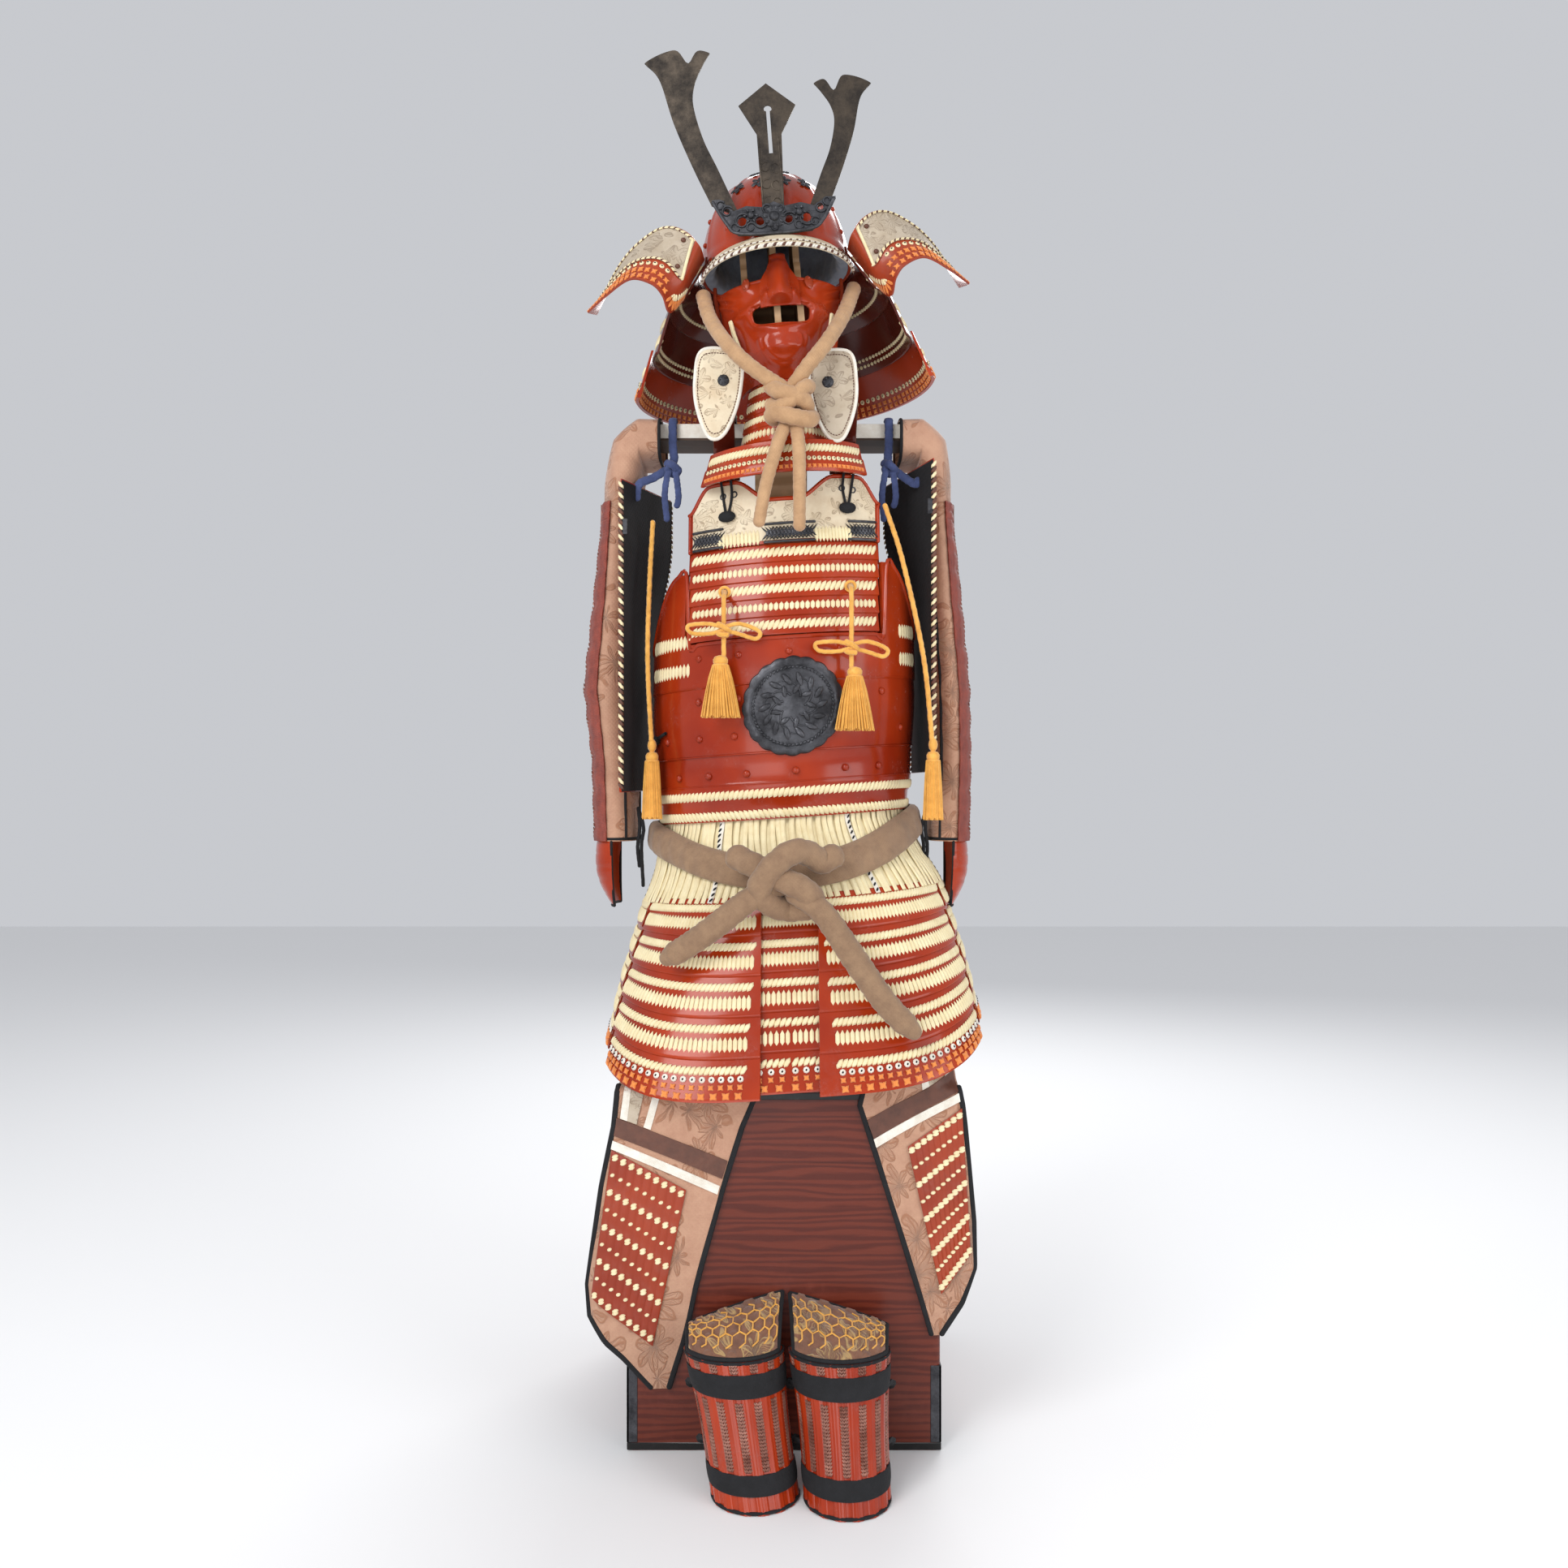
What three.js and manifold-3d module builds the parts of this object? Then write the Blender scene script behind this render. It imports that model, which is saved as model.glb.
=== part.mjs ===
import * as THREE from 'three';
import { mergeVertices } from 'three/addons/utils/BufferGeometryUtils.js';
import Module from 'manifold-3d';

const wasm = await Module();
wasm.setup();

// Driving dimensions, in millimetres
const gap = 0.3;
const rowRise = 0.066;
const headRoll = -0.075;
const headCentre = { x: -8, y: 0, z: 1450 };

const chest = { width: 376, depth: 373, bodyHeight: 346, height: 430, lidReach: 2, corner: 6 };
const post = { x: -4, y: 40, width: 70, depth: 46 };
const board = { x: -5, y: 40, width: 380, depth: 78, bottom: 1259, thickness: 22 };
const boardTop = board.bottom + board.thickness;
const torsoY = 30;
const skirtX = 12;

const deg = THREE.MathUtils.degToRad;
const mix = THREE.MathUtils.lerp;
const smooth = THREE.MathUtils.smoothstep;
const vec = (x, y, z) => new THREE.Vector3(x, y, z);
const steps = (count, from = 0, to = 1) =>
  Array.from({ length: count }, (_, i) => mix(from, to, i / (count - 1)));

const paint = (color, roughness, metalness = 0) => ({ color, roughness, metalness });
const finishes = {
  lacquer: paint('#8f2a14', 0.3),
  darkLacquer: paint('#5a1a0e', 0.35),
  leather: paint('#e6d6a6', 0.7),
  bronze: paint('#8d8264', 0.5, 0.8),
  iron: paint('#4c4a46', 0.5, 0.8),
  greyCloth: paint('#8d97a6', 0.9),
  tanCloth: paint('#c39a68', 0.9),
  brocade: paint('#b98d78', 0.85),
  goldBrocade: paint('#8a6a34', 0.85),
  goldCord: paint('#dfa52c', 0.8),
  box: paint('#5f2413', 0.4),
  wood: paint('#a97b4c', 0.6),
};

const armour = new THREE.Group();
const head = new THREE.Group();
const headTurn = new THREE.Group();
headTurn.position.set(headCentre.x, headCentre.y, headCentre.z);
headTurn.rotation.y = headRoll;
head.position.set(0, 0, -headCentre.z);
headTurn.add(head);
armour.add(headTurn);

function add(name, finish, geometry, parent = armour) {
  const mesh = new THREE.Mesh(geometry, new THREE.MeshStandardMaterial(finishes[finish]));
  mesh.name = name;
  parent.add(mesh);
  return mesh;
}

// Reads a column of a table on the straight line between the two rows around a height
function read(table, column, z) {
  const upper = table.findIndex(row => row.z >= z);
  if (upper === 0) return table[0][column];
  if (upper < 0) return table[table.length - 1][column];
  const low = table[upper - 1];
  const high = table[upper];
  return mix(low[column], high[column], (z - low.z) / (high.z - low.z));
}

function signedVolume(positions, faces) {
  let total = 0;
  const corner = i => vec(positions[3 * i], positions[3 * i + 1], positions[3 * i + 2]);
  for (let i = 0; i < faces.length; i += 3) {
    total += corner(faces[i]).dot(corner(faces[i + 1]).cross(corner(faces[i + 2])));
  }
  return total;
}

// A closed wall between an outer and an inner grid of points; the grids may have
// different numbers of rows, and wraps joins the last column to the first
function wall(outer, inner, wraps = false) {
  const positions = [];
  const faces = [];
  const place = rows => rows.map(row => row.map(p => positions.push(p.x, p.y, p.z) / 3 - 1));
  const close = rows => (wraps ? rows.map(row => [...row, row[0]]) : rows);
  const out = close(place(outer));
  const back = close(place(inner));
  const last = out[0].length - 1;
  const skin = (rows, flip) => {
    for (let v = 0; v < rows.length - 1; v += 1) {
      for (let u = 0; u < last; u += 1) {
        const [a, b, c, d] = [rows[v][u], rows[v + 1][u], rows[v + 1][u + 1], rows[v][u + 1]];
        faces.push(...(flip ? [a, d, c, a, c, b] : [a, b, c, a, c, d]));
      }
    }
  };
  const seam = (a, b) => {
    let i = 0;
    let j = 0;
    while (i < a.length - 1 || j < b.length - 1) {
      const first = j === b.length - 1 || (i + 1) / (a.length - 1) <= (j + 1) / (b.length - 1);
      if (i < a.length - 1 && first) {
        faces.push(a[i + 1], a[i], b[j]);
        i += 1;
      } else {
        faces.push(b[j], b[j + 1], a[i]);
        j += 1;
      }
    }
  };
  skin(out, false);
  skin(back, true);
  seam(back[0], out[0]);
  seam(out[out.length - 1], back[back.length - 1]);
  if (!wraps) {
    seam(out.map(row => row[0]), back.map(row => row[0]));
    seam(back.map(row => row[last]), out.map(row => row[last]));
  }
  if (signedVolume(positions, faces) < 0) faces.reverse();
  const geometry = new THREE.BufferGeometry();
  geometry.setAttribute('position', new THREE.Float32BufferAttribute(positions, 3));
  geometry.setIndex(faces);
  geometry.computeVertexNormals();
  return geometry;
}

const grid = (columns, rows, point) => rows.map(v => columns.map(u => point(u, v)));

// A sheet of even thickness about the surface point(u, v), from its own normals
function sheet(columns, rows, point, thickness) {
  const nudge = 0.002;
  const side = (u, v, half) => {
    const along = point(u + nudge, v).sub(point(u - nudge, v));
    const across = point(u, v + nudge).sub(point(u, v - nudge));
    return point(u, v).addScaledVector(along.cross(across).normalize(), half);
  };
  return wall(
    grid(columns, rows, (u, v) => side(u, v, thickness / 2)),
    grid(columns, rows, (u, v) => side(u, v, -thickness / 2)),
  );
}

function toSolid(source) {
  const bare = source.clone();
  bare.deleteAttribute('normal');
  bare.deleteAttribute('uv');
  const merged = mergeVertices(bare, 1e-4);
  return new wasm.Manifold(new wasm.Mesh({
    numProp: 3,
    vertProperties: new Float32Array(merged.attributes.position.array),
    triVerts: new Uint32Array(merged.index.array),
  }));
}

function toGeometry(body) {
  const { vertProperties, triVerts } = body.getMesh();
  const geometry = new THREE.BufferGeometry();
  geometry.setAttribute('position', new THREE.BufferAttribute(vertProperties, 3));
  geometry.setIndex(new THREE.BufferAttribute(triVerts, 1));
  geometry.computeVertexNormals();
  return geometry;
}

const join = geometries => toGeometry(geometries.map(toSolid).reduce((a, b) => a.add(b)));

function block(x, y, z, width, depth, height) {
  return new THREE.BoxGeometry(width, depth, height).translate(x, y, z + height / 2);
}

// A round or flat cord swept along points, its section turned so that wide lies level
function cord(points, radius, sides = 8, stations = 12, flatness = 1) {
  const path = new THREE.CatmullRomCurve3(points.map(p => vec(...p)));
  const section = new THREE.Shape(
    steps(sides + 1, 0, 2 * Math.PI).slice(0, sides)
      .map(a => new THREE.Vector2(radius * flatness * Math.cos(a), radius * Math.sin(a))),
  );
  return new THREE.ExtrudeGeometry(section, { steps: stations, extrudePath: path });
}

function ball(x, y, z, width, depth, height, around = 10, rings = 6) {
  return new THREE.SphereGeometry(0.5, around, rings).rotateX(Math.PI / 2)
    .scale(width, depth, height).translate(x, y, z);
}

// A flat plate cut from an outline in x and z, then bent in depth by bend(x, z)
function plate(outline, thickness, bend, holes = []) {
  const shape = new THREE.Shape(outline.map(([x, z]) => new THREE.Vector2(x, z)));
  shape.holes = holes;
  const geometry = new THREE.ExtrudeGeometry(shape, {
    depth: thickness, bevelEnabled: false, curveSegments: 4,
  });
  const { position } = geometry.attributes;
  for (let i = 0; i < position.count; i += 1) {
    const [x, z, d] = [position.getX(i), position.getY(i), position.getZ(i)];
    position.setXYZ(i, x, bend(x, z) - d, z);
  }
  geometry.computeVertexNormals();
  return geometry;
}

function roundHole(x, z, radius) {
  return new THREE.Path().absarc(x, z, radius, 0, 2 * Math.PI, true);
}

// The box stand, its post and the board that carries the shoulders
function addStand() {
  const outline = reach => {
    const [w, d, r] = [chest.width / 2 + reach, chest.depth / 2 + reach, chest.corner];
    const shape = new THREE.Shape();
    shape.moveTo(-w + r, -d);
    shape.lineTo(w - r, -d);
    shape.absarc(w - r, -d + r, r, -Math.PI / 2, 0);
    shape.absarc(w - r, d - r, r, 0, Math.PI / 2);
    shape.absarc(-w + r, d - r, r, Math.PI / 2, Math.PI);
    shape.absarc(-w + r, -d + r, r, Math.PI, 1.5 * Math.PI);
    return shape;
  };
  const slab = (bottom, top, reach) => new THREE.ExtrudeGeometry(outline(reach), {
    depth: top - bottom, bevelEnabled: false, curveSegments: 2,
  }).translate(0, 0, bottom);
  add('chest_body', 'box', slab(0, chest.bodyHeight - gap, 0));
  add('chest_lid', 'box', slab(chest.bodyHeight, chest.height, chest.lidReach));
  const postHeight = board.bottom - chest.height - 2 * gap;
  add('stand_post', 'wood',
    block(post.x, post.y, chest.height + gap, post.width, post.depth, postHeight));
  add('shoulder_board', 'wood',
    block(board.x, board.y, board.bottom, board.width, board.depth, board.thickness));
}

// Cuirass sections at the centre line: half width, and depth to the front and back
const torsoRows = [
  { z: 757, half: 163, front: 130, back: 118 },
  { z: 800, half: 169, front: 139, back: 124 },
  { z: 900, half: 175, front: 147, back: 132 },
  { z: 985, half: 173, front: 146, back: 134 },
  { z: 1090, half: 167, front: 136, back: 132 },
  { z: 1190, half: 160, front: 122, back: 124 },
];

// A point of the cuirass; turn is the angle from the front, positive to +X
function torso(turn, z, out) {
  const depth = read(torsoRows, Math.cos(turn) > 0 ? 'front' : 'back', z) + out;
  const x = (read(torsoRows, 'half', z) + out) * Math.sin(turn);
  return vec(x, torsoY - depth * Math.cos(turn), z + rowRise * x);
}

// Raised rows: each lame steps out at its foot, and the lacing band stands on it
const lameRows = (top, bottom, count, lap = 3.2) => {
  const pitch = (top - bottom) / count;
  const rows = [];
  for (let i = 0; i < count; i += 1) {
    const start = top - i * pitch;
    rows.push({ z: start - pitch * 0.02, out: i ? 0.6 : 0 });
    rows.push({ z: start - pitch * 0.45, out: 1.6 });
    rows.push({ z: start - pitch * 0.98, out: lap });
  }
  rows[0].z = top;
  rows[rows.length - 1].z = bottom;
  return rows;
};

const cuirass = { thickness: 3, hem: 757, waist: 985, chestTop: 1190, chestFoot: 1106 };

// Plates of the lower cuirass, front and back halves that meet at the sides; beside
// the upper lames, whose edge is at the angle shoulder, they rise under the arms
function addLowerCuirass(name, middle, shoulder) {
  const seams = [
    { z: 984, out: 2.4 }, { z: 930, out: 2.4 }, { z: 927, out: 0.8 }, { z: 888, out: 1.6 },
    { z: 843, out: 1 }, { z: 840, out: 0 }, { z: 806, out: 0.8 }, { z: 803, out: 2.2 },
    { z: 781, out: 0.8 }, { z: 757, out: 2.6 },
  ];
  const edge = 89.8;
  const offsets = [...steps(4, -edge, -shoulder - 0.8), ...steps(8, -shoulder, shoulder),
    ...steps(4, shoulder + 0.8, edge)];
  const top = offset => {
    const under = (Math.abs(offset) - shoulder) / (edge - shoulder);
    return cuirass.waist + (under > 0 ? 92 * (1 - smooth(under, 0.12, 1)) + 1 : 0);
  };
  const row = (z, out) => offsets.map(offset => torso(deg(middle + offset), z, out));
  const crown = out => offsets.map(offset => torso(deg(middle + offset), top(offset), out));
  const outer = [crown(2.4), ...seams.map(seam => row(seam.z, seam.out))];
  const inner = [crown(-cuirass.thickness),
    ...[984, 900, 800, 757].map(z => row(z, -cuirass.thickness))];
  add(name, 'lacquer', wall(outer, inner));
}

const chestHalf = 120;
const turnAt = (x, z) => Math.asin(x / read(torsoRows, 'half', z));

// Chest plate and upper lames, as one stack that stands inside the armholes
function addUpperFront() {
  const foot = cuirass.waist + 2.6;
  const neck = { half: 62, depth: 27, lobe: 84 };
  const topEdge = x => {
    const scoop = 1 - smooth(Math.abs(x), 18, neck.half);
    const shoulder = smooth(Math.abs(x), neck.lobe, chestHalf);
    return cuirass.chestTop - neck.depth * scoop - 34 * shoulder * shoulder;
  };
  const rows = [{ z: cuirass.chestFoot + 4, out: 3.4 }, { z: cuirass.chestFoot, out: 3.4 },
    ...lameRows(cuirass.chestFoot - 3, foot, 5, 3)];
  const columns = steps(12, -chestHalf, chestHalf);
  const at = (x, z, out) => torso(turnAt(x, z), z, out);
  const rim = [{ drop: 0, out: 5.6 }, { drop: 7, out: 3.4 }];
  const outer = rim.map(({ drop, out }) => columns.map(x => at(x, topEdge(x) - drop, out)));
  rows.forEach(row => outer.push(columns.map(x => at(x, row.z, row.out))));
  const inner = [columns.map(x => at(x, topEdge(x), -1))];
  [cuirass.chestFoot, 1050, foot].forEach(z => inner.push(columns.map(x => at(x, z, -2))));
  add('chest_lames', 'lacquer', wall(outer, inner));
}

function addUpperBack() {
  const foot = cuirass.waist + 2.6;
  const half = 132;
  const top = 1178;
  const at = (x, z, out) => torso(Math.PI - turnAt(x, z), z, out);
  const columns = steps(9, -half, half);
  const outer = lameRows(top, foot, 5, 3).map(row => columns.map(x => at(x, row.z, row.out)));
  const inner = [top, 1090, foot].map(z => columns.map(x => at(x, z, -2)));
  add('back_lames', 'lacquer', wall(outer, inner));
}

// Shoulder straps from the chest plate over the board to the back plate
function addStraps() {
  const width = 26;
  const thickness = 6;
  const rest = boardTop + gap + thickness / 2;
  const straps = [{ side: 'left', x: -77, foot: 1187.4, neck: 1216 },
    { side: 'right', x: 79, foot: 1197.2, neck: 1232 }];
  straps.forEach(({ side, x, foot, neck }) => {
    const path = new THREE.CatmullRomCurve3([
      vec(x, -80, foot), vec(x, -66, neck), vec(x, -58, neck + 14), vec(x, -94, neck + 38),
      vec(x, -105, neck + 50),
      vec(x, -74, rest + 4), vec(x, 0, rest + 1), vec(x, 40, rest), vec(x, 80, rest + 1),
      vec(x, 102, rest - 7), vec(x, 124, 1252), vec(x, 141, 1215), vec(x, 142, 1180 + rowRise * x),
    ]);
    const point = (u, v) => {
      const t = THREE.MathUtils.clamp(v, 0, 1);
      return path.getPoint(t).add(vec(u * width, 0, 0)).addScaledVector(path.getTangent(t), v - t);
    };
    add(`shoulder_strap_${side}`, 'darkLacquer', sheet([-0.5, 0.5], steps(15), point, thickness));
  });
}

// Round ornament on the plates below the chest, with a scalloped rim
function addMedallion() {
  const centre = { x: 11, z: 897 };
  const scallops = 10;
  const around = steps(2 * scallops + 1, 0, 2 * Math.PI).slice(0, -1);
  const at = (angle, radius, out) => {
    const [x, z] = [centre.x + radius * Math.cos(angle), centre.z + radius * Math.sin(angle)];
    return torso(turnAt(x, z), z, 2.4 + gap + out);
  };
  const rings = [{ r: 62, out: 2.5 }, { r: 56, out: 4.5 }, { r: 48, out: 3 }, { r: 8, out: 4 }];
  const rim = (r, i) => (r > 60 && i % 2 ? r - 2.6 : r);
  const outer = rings.map(({ r, out }) => around.map((a, i) => at(a, rim(r, i), out)));
  const inner = [62, 8].map(r => around.map((a, i) => at(a, rim(r, i), 0.6)));
  const front = at(0, 0, 5);
  const boss = ball(centre.x, front.y + 1.8, front.z, 44, 6.4, 44, 12, 6);
  add('medallion', 'iron', join([wall(outer, inner, true), boss]));
}

// Waist: laced cloth between the cuirass and the skirt; sections as for the torso
const skirtRows = [
  { z: 425, half: 250, front: 262, back: 204 },
  { z: 560, half: 225, front: 212, back: 180 },
  { z: 660, half: 198, front: 176, back: 150 },
  { z: 700, half: 178, front: 152, back: 136 },
  { z: 752, half: 159, front: 126.2, back: 113.2 },
  { z: 770, half: 159, front: 126.2, back: 113.2 },
];

// The skirt is round at the waist and squarer toward its foot
const skirtPower = z => mix(4, 2, smooth(z, 440, 700));
const skirtDrift = z => skirtX * (1 - smooth(z, 660, 752));
const clampSkirt = z => THREE.MathUtils.clamp(z, 425, 770);

function skirt(turn, z, out) {
  const power = 2 / skirtPower(z);
  const shape = value => Math.sign(value) * Math.abs(value) ** power;
  const depth = read(skirtRows, Math.cos(turn) > 0 ? 'front' : 'back', z) + out;
  const x = (read(skirtRows, 'half', z) + out) * shape(Math.sin(turn));
  return vec(x + skirtDrift(z), torsoY - depth * shape(Math.cos(turn)), z + rowRise * x);
}

const waistFoot = 664;

function addWaist() {
  const columns = steps(25, 0, 2 * Math.PI).slice(0, 24);
  const ring = (rows, out) => rows.map(z => columns.map(turn => skirt(turn, z, out)));
  const levels = [768, 752, 700, waistFoot];
  add('waist_lacing', 'leather', wall(ring(levels, 0), ring(levels, -3), true));
}

// Skirt panels of five laced lames each, widening downward
const tassets = [
  { name: 'tasset_front', from: -19, to: 19, out: -10, bottom: 436 },
  { name: 'tasset_front_left', from: -66, toX: -28, out: 0, bottom: 432 },
  { name: 'tasset_front_right', fromX: 42, to: 68, out: 0, bottom: 432 },
  { name: 'tasset_side_left', from: -112, to: -68, out: 0, bottom: 446 },
  { name: 'tasset_side_right', from: 70, to: 114, out: 0, bottom: 446 },
  { name: 'tasset_back_left', from: -178, to: -114, out: 0, bottom: 440 },
  { name: 'tasset_back_right', from: 116, to: 178, out: 0, bottom: 440 },
];

// Turn at which the skirt reaches x at a height
function skirtTurn(x, z) {
  const share = (x - skirtDrift(z)) / read(skirtRows, 'half', z);
  return Math.sign(share) * Math.asin(Math.abs(share) ** (skirtPower(z) / 2));
}

function addTassets() {
  tassets.forEach(({ name, from, fromX, to, toX, out, bottom }) => {
    const columns = share => {
      const z = mix(bottom, waistFoot - gap, share);
      const ends = [fromX ? skirtTurn(fromX, z) : deg(from), toX ? skirtTurn(toX, z) : deg(to)];
      return steps(fromX || toX ? 6 : 4, ...ends);
    };
    const foot = turn => bottom + 44 * Math.sin(turn) ** 2;
    const rows = lameRows(1, 0, 5, 3.4);
    const level = (share, turn) => mix(foot(turn), waistFoot - gap, share);
    const outer = rows.map(row =>
      columns(row.z).map(turn => skirt(turn, level(row.z, turn), out - 0.4 + row.out)));
    const inner = [1, 0.5, 0].map(share =>
      columns(share).map(turn => skirt(turn, level(share, turn), out - 3)));
    add(name, 'lacquer', wall(outer, inner));
  });
}

// Padded belt: a ring that sags to its knot at the front
const belt = { half: 20, depth: 15, side: 742, front: 690 };

function beltSeat(turn, z) {
  const rows = [
    { z: 660, half: 199, front: 177, back: 151 },
    { z: 700, half: 179, front: 153, back: 137 },
    { z: 745, half: 167.6, front: 136, back: 124 },
    { z: 800, half: 174, front: 144, back: 129 },
  ];
  const depth = read(rows, Math.cos(turn) > 0 ? 'front' : 'back', z);
  const x = read(rows, 'half', z) * Math.sin(turn);
  return vec(x + skirtDrift(z), torsoY - depth * Math.cos(turn), z + rowRise * x);
}

const beltHeight = turn => mix(belt.side, belt.front, Math.max(Math.cos(turn), 0) ** 2);

function addBelt() {
  const columns = steps(25, 0, 2 * Math.PI).slice(0, 24);
  const section = (turn, angle, flat) => {
    const p = beltSeat(turn, beltHeight(turn) + belt.half * Math.sin(angle));
    const bulge = flat ? 1 : 1 + belt.depth * Math.cos(angle) ** 0.7;
    return p.add(vec(bulge * Math.sin(turn), -bulge * Math.cos(turn), 0));
  };
  const angles = steps(5, Math.PI / 2, -Math.PI / 2);
  const outer = angles.map(a => columns.map(turn => section(turn, a, false)));
  const inner = angles.filter((_, i) => i % 2 === 0)
    .map(a => columns.map(turn => section(turn, a, true)));
  add('belt', 'tanCloth', wall(outer, inner, true));
}

function addBeltKnot() {
  const y = -166;
  const x = 0;
  const z = 684;
  const ends = [
    cord([[x - 10, y - 12, z - 4], [x - 60, y - 20, z - 34], [x - 110, y - 16, z - 74],
      [x - 146, y - 10, z - 98]], 17, 8, 6, 0.7),
    cord([[x + 12, y - 12, z - 2], [x + 60, y - 32, z - 50], [x + 108, y - 56, z - 122],
      [x + 156, y - 66, z - 180]], 17, 8, 7, 0.7),
  ];
  const knot = ball(x, y - 1, z, 84, 36, 76, 10, 6);
  const wrap = ball(x + 4, y - 16, z - 2, 40, 40, 84, 8, 6);
  add('belt_knot', 'tanCloth', join([knot, wrap, ...ends]));
}

// Helmet bowl: turn from the front, rise from the rim (0) to the crown (1)
const bowl = { half: 98, depth: 118, height: 122, rim: 1478, y: -5, ribs: 14, wall: 2.5 };

function bowlPoint(turn, rise, out) {
  const lean = rise * Math.PI / 2;
  const narrow = Math.cos(lean) ** 0.85;
  return vec(
    (bowl.half + out) * narrow * Math.sin(turn),
    bowl.y - (bowl.depth + out) * narrow * Math.cos(turn),
    bowl.rim + (bowl.height + out) * Math.sin(lean),
  );
}

function addBowl() {
  const columns = steps(bowl.ribs * 2 + 1, 0, 2 * Math.PI).slice(0, -1);
  const rises = [0, 0.06, 0.3, 0.6, 0.9];
  const rib = i => (i % 2 ? 0 : 1.3);
  const outer = rises.map((rise, v) =>
    columns.map((turn, i) => bowlPoint(turn, rise, v ? rib(i) : 1.6)));
  const inner = [0, 0.3, 0.6, 0.9].map(rise =>
    columns.map(turn => bowlPoint(turn, rise, -bowl.wall)));
  add('helmet_bowl', 'lacquer', wall(outer, inner, true), head);
}

// Cloth lining under the bowl, with a padded roll along the rim
function addLining() {
  const columns = steps(bowl.ribs * 2 + 1, 0, 2 * Math.PI).slice(0, -1);
  const skin = bowl.wall + gap;
  const outer = [0, 0.3, 0.6, 0.9].map(rise =>
    columns.map(turn => bowlPoint(turn, rise, -skin)));
  const inner = [{ rise: 0, depth: 12 }, { rise: 0.1, depth: 15 }, { rise: 0.2, depth: 3 },
    { rise: 0.6, depth: 2.5 }, { rise: 0.9, depth: 2.5 }];
  const within = inner.map(row =>
    columns.map(turn => bowlPoint(turn, row.rise, -skin - row.depth)));
  add('helmet_lining', 'greyCloth', wall(outer, within, true), head);
}

// Peak over the brow, widest at the middle
const visor = { reach: 34, drop: 12, spread: 62, thickness: 4 };

function visorPoint(turn, share, lift) {
  const fade = Math.cos(turn / deg(visor.spread) * Math.PI / 2.25);
  const out = 1.6 + gap + share * (6 + (visor.reach - 6) * fade);
  const p = bowlPoint(turn, 0, out);
  const sink = 8 * (Math.abs(turn) / deg(visor.spread)) ** 2;
  return p.setZ(bowl.rim + 4 - sink - visor.drop * share + lift);
}

function addVisor() {
  const columns = steps(17, -deg(visor.spread), deg(visor.spread));
  const top = [0, 0.5, 0.88, 1]
    .map((s, i) => columns.map(turn => visorPoint(turn, s, i > 1 ? 1 : 0)));
  const under = [0, 1].map(s => columns.map(turn => visorPoint(turn, s, -visor.thickness)));
  add('helmet_visor', 'leather', wall(top, under), head);
}

// Neck guard: three flaring lames, open at the face
const neckLames = [
  { open: 60, rows: [{ z: 1430, half: 146, front: 116, back: 162 },
    { z: 1476, half: 106.4, front: 124.4, back: 124.4 },
    { z: 1485, half: 104.4, front: 124.4, back: 124.4 }] },
  { open: 72, rows: [{ z: 1374, half: 173, front: 112, back: 188 },
    { z: 1430, half: 150.6, front: 121, back: 166.6 },
    { z: 1438, half: 144.1, front: 122, back: 160.6 }] },
  { open: 78, rows: [{ z: 1322, half: 198, front: 106, back: 212 },
    { z: 1374, half: 178.4, front: 118, back: 193.6 },
    { z: 1382, half: 175.4, front: 119, back: 190.5 }] },
];

function neckPoint(lame, turn, z, out) {
  const depth = read(lame.rows, Math.cos(turn) > 0 ? 'front' : 'back', z) + out;
  const x = (read(lame.rows, 'half', z) + out) * Math.sin(turn);
  return vec(x, bowl.y - depth * Math.cos(turn), z);
}

function addNeckGuard() {
  neckLames.forEach((lame, i) => {
    const top = lame.rows[2].z;
    const bottom = lame.rows[0].z;
    const columns = steps(17, deg(lame.open), deg(360 - lame.open));
    const outRows = [{ z: top, out: 0 }, { z: lame.rows[1].z, out: 0 },
      { z: bottom + 12, out: 0.2 },
      { z: bottom + 10, out: i === 2 ? 1.6 : 0.2 }, { z: bottom, out: i === 2 ? 2 : 0 }];
    const outer = outRows.map(row => columns.map(turn => neckPoint(lame, turn, row.z, row.out)));
    const inner = [top, lame.rows[1].z, bottom].map(z =>
      columns.map(turn => neckPoint(lame, turn, z, -3)));
    add(`neck_guard_${i + 1}`, 'darkLacquer', wall(outer, inner), head);
  });
}

// Turn-backs: the ends of the top lame curl out and back over the cheeks
function addTurnBacks() {
  const far = [[92.9, -66.6, 1482], [97, -100, 1488], [111, -96, 1507], [134, -85, 1520],
    [161, -70, 1516], [199, -45, 1493], [246, 22, 1452]];
  const near = [[126.1, -62.7, 1434], [141, -92, 1408], [147, -110, 1424], [160, -115, 1438],
    [187, -105, 1449], [221, -72, 1443], [252, -24, 1440]];
  [{ side: 'left', sign: -1 }, { side: 'right', sign: 1 }].forEach(({ side, sign }) => {
    const curve = points =>
      new THREE.CatmullRomCurve3(points.map(([x, y, z]) => vec(sign * x, y, z)));
    const edges = [curve(far), curve(near)];
    const point = (u, v) => {
      const t = THREE.MathUtils.clamp(u, 0, 1);
      const line = edges.map(edge => edge.getPoint(t).addScaledVector(edge.getTangent(t), u - t));
      return line[0].lerp(line[1], v);
    };
    add(`turn_back_${side}`, 'lacquer', sheet(steps(14), steps(3), point, 2.6), head);
  });
}

// Crest: an openwork base on the peak, two horns and a blade between them
const crest = { y: -131, plate: 2.6, base: 1483.4 };

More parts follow.
